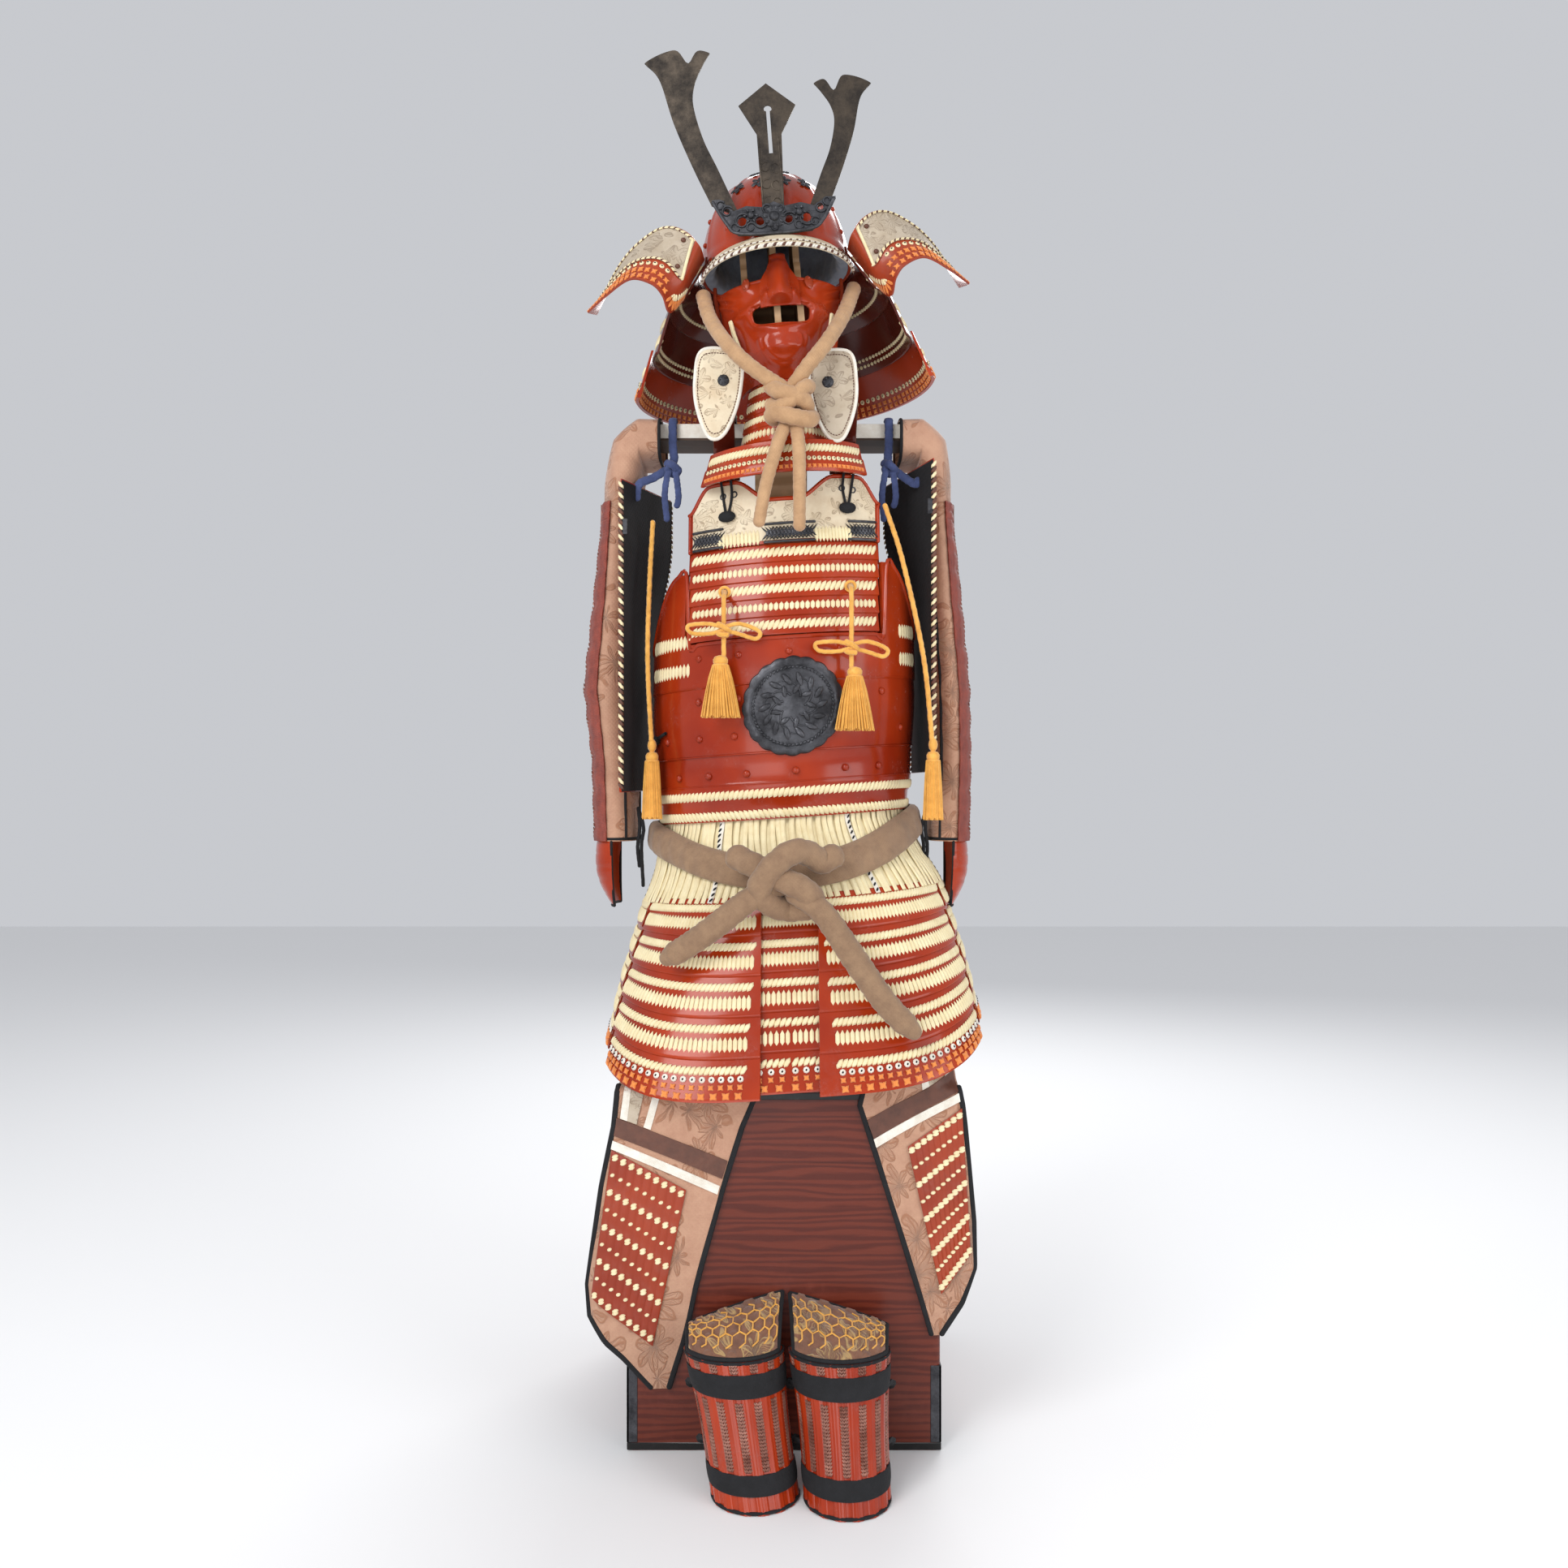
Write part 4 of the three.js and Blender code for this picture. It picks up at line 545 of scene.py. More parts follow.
def tube(batch, path, radius, sides=10, closed=False, flat=1.0, facing=(0, -1, 0), wrinkle=0.0,
         ends=True):
    # A round or flat cord carried along a path; radius may be an array over the path. The
    # section's flat side turns toward facing, and wrinkle adds uneven creases round it
    path = np.asarray(path, float)
    ahead = np.roll(path, -1, 0) - np.roll(path, 1, 0)
    if not closed:
        ahead[0], ahead[-1] = path[1] - path[0], path[-1] - path[-2]
    ahead = unit(ahead)
    front = np.broadcast_to(np.asarray(facing, float), path.shape)
    side = unit(np.cross(ahead, front) + 1e-6)
    out = unit(np.cross(side, ahead))
    radius = np.broadcast_to(np.asarray(radius, float), len(path))[:, None]
    turn = np.arange(sides) * 2 * math.pi / sides
    s = np.arange(len(path))[:, None]
    crease = 1 + wrinkle * (np.sin(1.31 * s + 2.0 * np.sin(turn + 0.2 * s)) + 0.6
        * np.sin(2.9 * s + 1.3 * np.cos(turn)))
    across = (radius * crease * np.cos(turn))[..., None] * side[:, None]
    depth = (radius * flat * crease * np.sin(turn))[..., None] * out[:, None]
    rings = path[:, None] + across + depth
    if not closed and ends:
        cap = lambda ring, centre, way: [centre + (ring - centre) * k + way * j for k,
            j in ((0.8, 0.35), (0.45, 0.6), (0.02, 0.7))]
        start = cap(rings[0], path[0], -ahead[0] * radius[0])
        finish = cap(rings[-1], path[-1], ahead[-1] * radius[-1])
        rings = np.concatenate([np.array(start[::-1]), rings, np.array(finish)])
    faces = gridFaces(len(rings), sides, True).reshape(-1, 4)
    count = len(rings) * sides
    if closed:
        index = np.arange(count).reshape(len(rings), sides)
        last, first = index[-1], index[0]
        faces = np.concatenate([faces, np.stack([last, first, np.roll(first, -1), np.roll(last, -1)],
            -1)])
        batch.add(rings, faces)
        return
    tips = np.stack([rings[0].mean(0), rings[-1].mean(0)])
    index = np.arange(count).reshape(len(rings), sides)
    caps = np.concatenate([np.stack([np.full(sides, count), np.arange(sides),
        np.roll(np.arange(sides), -1)], -1), np.stack([np.full(sides, count + 1), np.roll(index[-1], -1),
        index[-1]], -1)])
    batch.add(np.concatenate([rings.reshape(-1, 3), tips]), faces, caps)


def cord(batch, route, steps, radius, sides=10, **settings):
    # A tube along the smooth curve through a route's few points
    tube(batch, smoothPath(route, steps), radius, sides, **settings)


def strokeRow(batch, surface, ends, v, count, length, width, height, slant=0.0, out=0.0,
              bow=None, shape=pillow):
    # A row of short lacing strokes on a surface, each turned from upright by slant
    trial = np.linspace(*ends, 160)
    line = surface(trial, v + (bow(trial) if bow else 0 * trial), 0 * trial)
    run = np.append(0, np.cumsum(np.linalg.norm(np.diff(line, axis=0), axis=1)))
    u = np.interp((np.arange(count) + 0.5) / count * run[-1], run, trial)
    level = v + (bow(u) if bow else 0.0)
    point, side, up, normal = onSurface(surface, u, level, out)
    along = up * math.cos(slant) + side * math.sin(slant)
    stamp(batch, shape, point, along, normal, (length / 2, width / 2, height))


def crossRow(batch, surface, ends, v, count, size, height, out=0.0, bow=None):
    for slant in (0.8, -0.8):
        strokeRow(batch, surface, ends, v, count, size, size * 0.42, height, slant, out, bow)


def lameProfile(top, bottom, count, lap=3.2):
    # Height and step of each lame's rows: in at its head, out at its foot, over the next head
    pitch = (top - bottom) / count
    rows = []
    for i in range(count):
        start = top - i * pitch
        rows += [(start - pitch * 0.02, 0.6 if i else 0.0), (start - pitch * 0.2, 0.9),
            (start - pitch * 0.45, 1.6), (start - pitch * 0.9, lap - 0.1), (start - pitch * 0.955, lap),
            (start - pitch * 0.98, lap - 0.6)]
    rows[0], rows[-1] = (top, 0.0), (bottom, lap - 0.6)
    return np.array(rows)


def addShell(batch, surface, us, rows, thickness, wrap=False):
    # Wall on a surface: rows hold height and step out; the back lies at an even depth
    z, out = rows[:, 0][:, None], rows[:, 1][:, None]
    us = np.asarray(us)[None]
    addWall(batch, surface(us, z, out), surface(us, z, np.full_like(out, -thickness)), wrap)


def everyTurn(low, high, count):
    return np.radians(np.linspace(low, high, count))


# The frame's own dimensions, in millimetres
rowRise = 0.066
headRoll = -0.075
headCentre = (-8, 0, 1450)
torsoY = 30
boardTop = 1281
gap = 0.3
torsoTable = {"z": [757, 800, 900, 985, 1090, 1190], "half": [163, 169, 175, 173, 167, 160],
              "front": [130, 139, 147, 146, 136, 122], "back": [118, 124, 132, 134, 132, 124]}
skirtTable = {"z": [425, 560, 660, 700, 752, 770], "half": [250, 225, 198, 178, 159, 159],
              "front": [262, 212, 176, 152, 126.2, 126.2],
              "back": [204, 180, 150, 136, 113.2, 113.2]}


def torso(turn, z, out):
    # Ellipse of the cuirass at a height, deeper in front; turn is the angle from the front
    depth = np.where(np.cos(turn) > 0, look(torsoTable, "front", z), look(torsoTable, "back", z)) + out
    x = (look(torsoTable, "half", z) + out) * np.sin(turn)
    return place(x, torsoY - depth * np.cos(turn), z + rowRise * x)


def torsoBack(turn, z, out):
    return torso(math.pi - turn, z, out)


def skirt(turn, z, out):
    # Superellipse of the skirt: round at the waist, squarer toward the foot
    power = 2 / (4 + (2 - 4) * ease(z, 440, 700))
    shape = lambda value: np.sign(value) * np.abs(value) ** power
    depth = np.where(np.cos(turn) > 0, look(skirtTable, "front", z), look(skirtTable, "back", z)) + out
    x = (look(skirtTable, "half", z) + out) * shape(np.sin(turn))
    drift = 12 * (1 - ease(z, 660, 752))
    return place(x + drift, torsoY - depth * shape(np.cos(turn)), z + rowRise * x)


def toHead(points):
    # The helmet and mask lean over as one about the middle of the head
    x, y, z = points[..., 0], points[..., 1], points[..., 2] - headCentre[2]
    c, s = math.cos(headRoll), math.sin(headRoll)
    return place(x * c + z * s + headCentre[0], y, headCentre[2] - x * s + z * c)


# The box chest: lacquered planks, black rims and corner plates
chest = {"half": 188, "depth": 186.5, "height": 430, "bodyTop": 346, "rim": 9, "corner": 46}


def slab(batch, low, high, bevel=1.0):
    # A block with small flats along its edges: a closed grid of eight rings about its middle
    low, high = np.array(low, float), np.array(high, float)
    corners = np.array([(-1, -1), (1, -1), (1, 1), (-1, 1)])
    half = (high - low) / 2
    middle = (low + high) / 2
    rings = []
    for z, k in ((-1, 1), (-1, 0), (1, 0), (1, 1)):
        ring = []
        for i, (a, b) in enumerate(corners):
            inset = bevel if k else 0
            first = (a * (half[0] - bevel), b * (half[1] - inset))
            second = (a * (half[0] - inset), b * (half[1] - bevel))
            ring += [first, second] if (a * b > 0) == (i % 2 == 0) and i in (1, 3) else [second, first]
        drop = bevel if not k else 0
        rings.append([(x, y, z * (half[2] - drop)) for x, y in ring])
    rings = np.array(rings) + middle
    caps = np.array([[rings[0].mean(0)], [rings[-1].mean(0)]])
    count = rings.shape[1]
    sides = gridFaces(4, count, True).reshape(-1, 4)
    first = np.arange(count)
    low_, high_ = 4 * count, 4 * count + 1
    ends = np.concatenate([np.stack([np.full(count, low_), np.roll(first, -1), first], -1),
        np.stack([np.full(count, high_), first + 3 * count, np.roll(first, -1) + 3 * count], -1)])
    batch.add(np.concatenate([rings.reshape(-1, 3), caps.reshape(-1, 3)]), sides[:, ::-1], ends)


def dressChest():
    for name in ("chest_body", "chest_lid"):
        nodes[name].data.materials.clear()
        nodes[name].data.materials.append(paints["chestWood"])
    h, d, rim = chest["half"], chest["depth"], chest["rim"]
    trim, plates = batches(2)
    for z, reach in ((0.2, 0.8), (chest["height"] - rim - 0.2, 2.6)):
        for a, b in (((-h - reach, -d - reach), (h + reach, -d - reach + 3.5)),
                ((-h - reach, d + reach - 3.5), (h + reach, d + reach)),
                ((-h - reach, -d), (-h - reach + 3.5, d)), ((h + reach - 3.5, -d), (h + reach, d))):
            slab(trim, (*a, z), (*b, z + rim), 0.8)
    c = chest["corner"]
    for x in (-1, 1):
        for y in (-1, 1):
            for z, tall in ((9.6, 92), (chest["bodyTop"] - 70, 66)):
                xs = sorted((x * (h + 0.9), x * (h - 12)))
                ys = sorted((y * (d + 0.9), y * (d - 2)))
                slab(plates, (xs[0], ys[0], z), (xs[1], ys[1], z + tall), 0.5)
                xs = sorted((x * (h + 0.9), x * (h - 2)))
                ys = sorted((y * (d + 0.9), y * (d - c)))
                slab(plates, (xs[0], ys[0], z), (xs[1], ys[1], z + tall), 0.5)
    trim.piece("chest_rims", "black", "chest_lacquer")
    plates.piece("chest_corner_plates", "iron")


# Post and shoulder board: a board with a pale rounded edge; its core is painted dark wood, which stands
# in for the shade under the board
boardShape = {"x": -5, "y": 40, "half": 190, "depth": 39, "bottom": 1259, "thick": 22}


def dressStand():
    for name in ("stand_post", "head_rest"):
        nodes[name].data.materials.clear()
        nodes[name].data.materials.append(paints["paleWood"])
    b = boardShape
    turn = fullTurn(96)
    # Stadium outline: a superellipse of high power; the edge rounds over in a quarter circle
    ex = np.sign(np.cos(turn)) * np.abs(np.cos(turn)) ** 0.16
    ey = np.sign(np.sin(turn)) * np.abs(np.sin(turn)) ** 0.42
    pale, dark = batches(2)
    rows = [(0.985, 3.0), (1.0, 5.0), (1.0, 17.0), (0.992, 20.0), (0.97, 21.9)]
    outer = np.stack([place(b["x"] + b["half"] * k * ex, b["y"] + b["depth"] * k * ey, b["bottom"] + z)
        for k, z in rows])
    inner = np.stack([place(b["x"] + (b["half"] - 7) * ex, b["y"] + (b["depth"] - 7) * ey,
        b["bottom"] + z) for _, z in rows])
    addWall(pale, outer, inner, True)
    pale.piece("board_edge", "white", "plain_wood", replaces=("shoulder_board",))
    levels = [(0.0, 0.1), (0.97, 0.1), (0.984, 2.8), (0.93, 3.2), (0.93, 21.5), (0.0, 21.5)]
    rings = np.stack([place(b["x"] + b["half"] * k * ex, b["y"] + b["depth"] * k * ey, b["bottom"] + z)
        for k, z in levels])
    dark.add(rings, gridFaces(len(levels), len(turn), True).reshape(-1, 4))
    # The core's dark wood is painted shade, for the shade under the board
    dark.piece("board_core", "darkWood", "plain_wood", weld=True)


# Cuirass: plates with seams and rivets, laced upper lames, printed chest plate
cuirass = {"thick": 3, "waist": 985, "chestFoot": 1106, "chestTop": 1190, "rivet": 4.8}


def dressLowerCuirass():
    seams = np.array([(984, 2.4), (978, 2.6), (931, 2.5), (928.5, 2.3), (927, 0.8), (910, 1.5),
        (888, 1.6), (843.5, 1.2), (841.5, 1.0), (840, 0.0), (820, 0.6), (806, 0.8), (804, 1.6),
        (803, 2.2), (797, 2.4), (783, 2.2), (781, 0.8), (768, 1.6), (757, 2.6)])
    for name, middle, shoulder in (("cuirass_front", 0, 46.8), ("cuirass_back", 180, 51.8)):
        edge = 89.8
        offset = np.concatenate([np.linspace(-edge, -shoulder - 0.8, 22),
            np.linspace(-shoulder, shoulder, 60), np.linspace(shoulder + 0.8, edge, 22)])
        turn = np.radians(middle + offset)
        under = (np.abs(offset) - shoulder) / (edge - shoulder)
        top = cuirass["waist"] + np.where(under > 0, 93 - 92 * ease(under, 0.12, 1), 0)
        lift = np.array([0, 0.3, 0.7, 1])[:, None]
        z = np.concatenate([top[None] * (1 - lift[:3]) + 984.4 * lift[:3],
            np.repeat(seams[:, :1], len(turn), 1)])
        out = np.concatenate([np.full(3, 2.4), seams[:, 1]])[:, None] + 0 * z
        batch = Batch()
        addWall(batch, torso(turn[None], z, out), torso(turn[None], z, np.full_like(z, -3.0)))
        rivets = Batch()
        for level, places in ((966, (-38, -19, 2, 24, 45)), (911, (-38, -19, 45)),
                (864, (-60, -38, -21, 60)), (816, (-52, -34, -16, 5, 27, 45))):
            turns = np.radians(middle + np.array(places))
            point, side, _, normal = onSurface(torso, turns, np.full(len(turns), level), 2.2)
            stamp(rivets, dome, point, side, normal, (cuirass["rivet"], cuirass["rivet"], 3.6))
        # Beading along the top edge and beside the seams
        edgeLine = onSurface(torso, turn, top - 1.2, 2.2)[0]
        cord(rivets, edgeLine[::3], 150, 2.6, 8)
        for level in (930, 841, 803):
            line = onSurface(torso, np.linspace(turn[0], turn[-1], 80), np.full(80, level), 2.0)[0]
            tube(rivets, line, 0.9, 6)
        batch.piece(name + "_plates", "red", replaces=(name,))
        rivets.piece(name + "_rivets", "red")
        lacing = Batch()
        reach = (np.radians(middle - 88.5), np.radians(middle + 88.5))
        for level, slant in ((790, 0.9), (764, -0.9)):
            strokeRow(lacing, torso, reach, level, 74, 15, 7.2, 2.6, slant * 0.6, 2.2)
        for low, high in ((-76, -43), (58, 76)):
            for level in (989, 953):
                strokeRow(lacing, torso, np.radians([middle + low, middle + high]), level,
                    int((high - low) / 2.5), 19, 6.6, 2.4, 0.06, 2.4)
        lacing.piece(name + "_lacing", "cream")


def chestEdge(x):
    # Top line of the chest plate: a neck scoop in the middle, round lobes beside it
    scoop = 1 - ease(np.abs(x), 18, 62)
    shoulder = ease(np.abs(x), 84, 120)
    return cuirass["chestTop"] - 27 * scoop - 34 * shoulder ** 2


def chestSheet(x, z, out):
    return torso(np.arcsin(np.clip(x / look(torsoTable, "half", z), -1, 1)), z, out)


def dressUpperFront():
    foot, top = cuirass["waist"] + 2.6, cuirass["chestFoot"] - 3
    xs = np.linspace(-120, 120, 90)
    lames = lameProfile(top, foot, 5, 3)
    shell, leather, trim = batches(3)
    addWall(shell, chestSheet(xs[None], lames[:, :1], lames[:, 1:]),
        chestSheet(xs[None], lames[:, :1], np.full((len(lames), 1), -2.0)))
    share = np.linspace(0, 1, 18)[:, None]
    z = chestEdge(xs)[None] * (1 - share) + (cuirass["chestFoot"] - 2) * share
    addWall(shell, chestSheet(xs[None], z, 2.4 + 0 * z), chestSheet(xs[None], z, -2 + 0 * z))
    shell.piece("chest_lames_red", "red", replaces=("chest_lames",))
    inset = np.linspace(-115, 115, 90)
    z = (chestEdge(inset) - 5)[None] * (1 - share) + (cuirass["chestFoot"] + 2) * share
    addWall(leather, chestSheet(inset[None], z, 3.2 + 0 * z), chestSheet(inset[None], z, 2.5 + 0 * z))
    leather.piece("chest_leather", "leather")
    rim = np.concatenate([chestSheet(xs, chestEdge(xs) - 2, 3.2 + 0 * xs),
        chestSheet(np.full(12, 119.0), np.linspace(1150, 1104, 12), 2.6)])
    tube(trim, rim, 2.6, 10)
    left = chestSheet(np.full(12, -119.0), np.linspace(1152, 1104, 12), 2.6)
    tube(trim, left, 2.4, 8)
    trim.piece("chest_rim", "red")
    lacing = Batch()
    pitch = (top - foot) / 5
    ends = (-116, 116)
    for i in range(5):
        level = top - pitch * (i + 0.47)
        slant = (0.6, 0.12, 0.6, 0.12, 0.6)[i]
        strokeRow(lacing, chestSheet, ends, level, 38, 17 if slant > 0.5 else 12.5, 6.6, 2.5, slant, 1.6)
    # Pleats between the openwork strips at the plate's foot
    for low, high in ((-82, -30), (38, 84)):
        strokeRow(lacing, chestSheet, (low, high), 1113, 11, 21, 5.4, 2.0, 0, 3.4)
    lacing.piece("chest_lacing", "cream")
    # Openwork strips with swallow-tail ends: leaf stamps between two bars
    work, cords = batches(2)
    for low, high in ((-114, -76), (-24, 38), (80, 115)):
        for level in (1129, 1105.5):
            line = chestSheet(np.linspace(low, high, 24), np.full(24, level), 4.2)
            tube(work, line, 1.7, 6)
        count = int((high - low) / 4.6)
        for slant in (0.75, -0.75):
            strokeRow(work, chestSheet, (low + 2, high - 2), 1117, count, 26, 2.6, 1.6, slant, 4.0)
        strokeRow(work, chestSheet, (low + 2, high - 2), 1117, count, 8, 5.4, 2.8, 0, 4.0, shape=pebble)
    for x, z in ((-76, 1171), (-62, 1172), (72, 1172), (86, 1170)):
        point, side, _, normal = onSurface(chestSheet, [x], [z], 3.4)
        ring = fullTurn(14)
        around = point + 3.6 * (np.cos(ring)[:, None] * side + np.sin(ring)[:, None] * [[0, 0, 1]])
        tube(work, around, 1.0, 6, closed=True)
    work.piece("chest_openwork", "iron")
    for x, z in ((-70, 1144), (78, 1146)):
        point, side, _, normal = onSurface(chestSheet, [x], [z], 6.0)
        stamp(cords, dome, point, side, normal, (12, 7.5, 6.5))
        for dx in (-6, 6):
            route = chestSheet(np.array([x + dx, x + dx * 0.9, x + dx * 0.3]),
                np.array([z + 46.0, z + 26, z + 4]), np.array([9.0, 4.6, 5.0]))
            cord(cords, route, 14, 1.7, 8)
    for offset in (-6, 6):
        route = torso(np.radians([-76, -72, -66, -60]), np.array([867 + offset, 868, 872, 876.0]),
            np.array([4.5, 6.0, 5.0, 4.5]))
        cord(cords, route, 14, 2.2, 8)
    knot = onSurface(torso, np.radians([-71.0]), [868.0], 5.5)
    stamp(cords, dome, knot[0], knot[1], knot[3], (9, 6, 5.5))
    cords.piece("chest_ties", "blackCloth")


def dressUpperBack():
    foot, top = cuirass["waist"] + 2.6, 1178
    xs = np.linspace(-132, 132, 80)
    lames = lameProfile(top, foot, 5, 3)
    sheet = lambda x, z, out: torsoBack(np.arcsin(np.clip(x / look(torsoTable, "half", z), -1, 1)), z,
        out)
    shell, lacing = batches(2)
    addWall(shell, sheet(xs[None], lames[:, :1], lames[:, 1:]),
        sheet(xs[None], lames[:, :1], np.full((len(lames), 1), -2.0)))
    shell.piece("back_lames_red", "red", replaces=("back_lames",))
    pitch = (top - foot) / 5
    for i in range(5):
        for share, slant, tall in ((0.28, 0.95, 14), (0.68, 0.0, 15)):
            level = top - pitch * (i + share)
            back = lambda u, v, out: sheet(-u, v, out)
            strokeRow(lacing, back, (-127, 127), level, 40, tall, 6.6, 2.4, slant * 0.65, 1.4)
    lacing.piece("back_lacing", "cream")


# Shoulder straps: dark leather bands with red piping, on the frame's own route
def dressStraps():
    rest = boardTop + gap + 3
    for side, x, foot, neck in (("left", -77, 1187.4, 1216), ("right", 79, 1197.2, 1232)):
        route = [(x, -80, foot), (x, -66, neck), (x, -58, neck + 14), (x, -94, neck + 38),
            (x, -105, neck + 50), (x, -74, rest + 4), (x, 0, rest + 1), (x, 40, rest), (x, 80, rest + 1),
            (x, 102, rest - 7), (x, 124, 1252), (x, 141, 1215), (x, 142, 1180 + rowRise * x)]
        path = smoothPath(route, 70)
        ahead = unit(np.gradient(path, axis=0))
        out = np.cross(ahead, [1, 0, 0])
        across = np.linspace(-1, 1, 9)
        bulge = 1.0 * (1 - across ** 4)
        outer = path[:, None] + across[None, :, None] * np.array([13, 0, 0]) + (2 + bulge)[None, :,
            None] * out[:, None]
        inner = path[:, None] + across[None, :, None] * np.array([13, 0, 0]) - (2 + bulge)[None, :,
            None] * out[:, None]
        band, piping = batches(2)
        addWall(band, outer, inner)
        band.piece(f"shoulder_strap_{side}_band", "redDark", "dark_lacquer",
            replaces=(f"shoulder_strap_{side}",))
        for edge in (-12.4, 12.4):
            tube(piping, path + np.array([edge, 0, 0]), 1.8, 6)
        piping.piece(f"shoulder_strap_{side}_piping", "brownLeather")


# Medallion: scalloped dark plate with a plain whorl of petals and a rope border
medal = {"x": 11, "z": 897, "radius": 62, "scallops": 20}


def medalPoint(angle, radius, out):
    x, z = medal["x"] + radius * np.cos(angle), medal["z"] + radius * np.sin(angle)
    turn = np.arcsin(x / look(torsoTable, "half", z))
    return torso(turn, z, 2.7 + out)


def dressMedallion():
    plate, relief = batches(2)
    angle = fullTurn(160)[None]
    radius = np.array([62, 60.5, 57, 54, 52, 50, 46, 30, 16, 9, 3, 0.2])[:, None]
    out = np.array([1.0, 3.2, 4.2, 4.6, 4.0, 2.6, 2.6, 3.0, 3.4, 4.2, 5.2, 5.4])[:, None]
    edge = 1 + 0.035 * np.abs(np.cos(angle * medal["scallops"]
        / 2)) * (radius > 50) - 0.02 * (radius > 50)
    outer = medalPoint(angle, radius * edge, out + 0 * angle)
    inner = medalPoint(angle, radius * edge, 0.5 + 0 * angle + 0 * radius)
    addWall(plate, outer, inner, True)
    plate.piece("medallion_plate", "iron", replaces=("medallion",), weld=True)
    turns = fullTurn(64)
    rope = medalPoint(turns, 48.5 + 0 * turns, 4.0)
    ahead = unit(np.roll(rope, -1, 0) - rope)
    normal = forward(rope)
    stamp(relief, pebble, rope, unit(ahead + 0.6 * np.cross(normal, ahead)), normal, (2.8, 1.3, 1.6))
    for ring, count, size, bend in ((34, 14, (9.5, 4.0, 2.6), 0.5), (21, 9, (8.0, 3.6, 2.8), -0.4)):
        turns = np.arange(count) * 2 * math.pi / count
        point = medalPoint(turns, ring + 0 * turns, 3.4)
        radial = place(np.cos(turns + bend), 0 * turns, np.sin(turns + bend))
        stamp(relief, pebble, point, radial, forward(point), size)
    for start in np.arange(7) * 2 * math.pi / 7:
        t = np.linspace(0, 1, 16)
        curl = medalPoint(start + 1.3 * t, 14 + 30 * t - 8 * t ** 3, 3.8 - 0.6 * t)
        tube(relief, curl, 1.5 * (1 - 0.5 * t), 6)
    relief.piece("medallion_relief", "iron")


# Waist: side by side cords of cream braid with a black and white one here and there
waist = {"top": 768, "foot": 658, "cords": 118}


def dressWaist():
    cloth_, cream, mixed, dark = batches(4)
    us = np.linspace(-math.pi, math.pi, 128, endpoint=False)
    rows = np.array([(768, -1.2), (752, -1.2), (700, -1.2), (664, -1.2)])
    addShell(cloth_, skirt, us, rows, 3, True)
    cloth_.piece("waist_band", "cream", replaces=("waist_lacing",))
    turns = np.linspace(-math.pi, math.pi, waist["cords"], endpoint=False)
    turns = turns + seed.normal(0, 0.006, len(turns))
    levels = np.linspace(waist["foot"], waist["top"], 12)
    for i, turn in enumerate(turns):
        sway = 0.010 * np.sin(levels / 31 + i * 1.7)
        lift = 0.6 + 0.7 * np.sin(levels / 23 + i * 2.3) ** 2
        line = skirt(turn + sway, levels, lift)
        tube(mixed if i % 20 == 9 else cream, line, 3.6, 6, flat=0.5, ends=False,
            facing=(math.sin(turn), -math.cos(turn), 0))
    cream.piece("waist_cords", "cream")
    for turn in turns[9::20]:
        steps = np.arange(waist["foot"] + 4, waist["top"], 6.5)
        point, side, up, normal = onSurface(skirt, np.full(len(steps), turn), steps, 2.6)
        stamp(dark, pillow, point, unit(up + 0.8 * side), normal, (3.6, 1.5, 1.3))
    dark.piece("waist_cord_twists", "blackCloth")
    mixed.piece("waist_twisted_cords", "white", "cream_lacing")


# Skirt panels: five laced lames each, the lowest with knots in white and orange
tassets = [
    {"name": "tasset_front", "ends": (-19, 19), "out": -10, "bottom": 436},
    {"name": "tasset_front_left", "ends": (-66, -9), "edge": (1, -28), "out": 0, "bottom": 432},
    {"name": "tasset_front_right", "ends": (11, 68), "edge": (0, 42), "out": 0, "bottom": 432},
    {"name": "tasset_side_left", "ends": (-112, -68), "out": 0, "bottom": 446},
    {"name": "tasset_side_right", "ends": (70, 114), "out": 0, "bottom": 446},
    {"name": "tasset_back_left", "ends": (-178, -114), "out": 0, "bottom": 440},
    {"name": "tasset_back_right", "ends": (116, 178), "out": 0, "bottom": 440},
]


def skirtTurn(x, z):
    # Turn at which the skirt reaches x at a height
    power = 4 + (2 - 4) * ease(z, 440, 700)
    share = (x - 12 * (1 - ease(z, 660, 752))) / look(skirtTable, "half", z)
    return np.sign(share) * np.arcsin(np.abs(share) ** (power / 2))


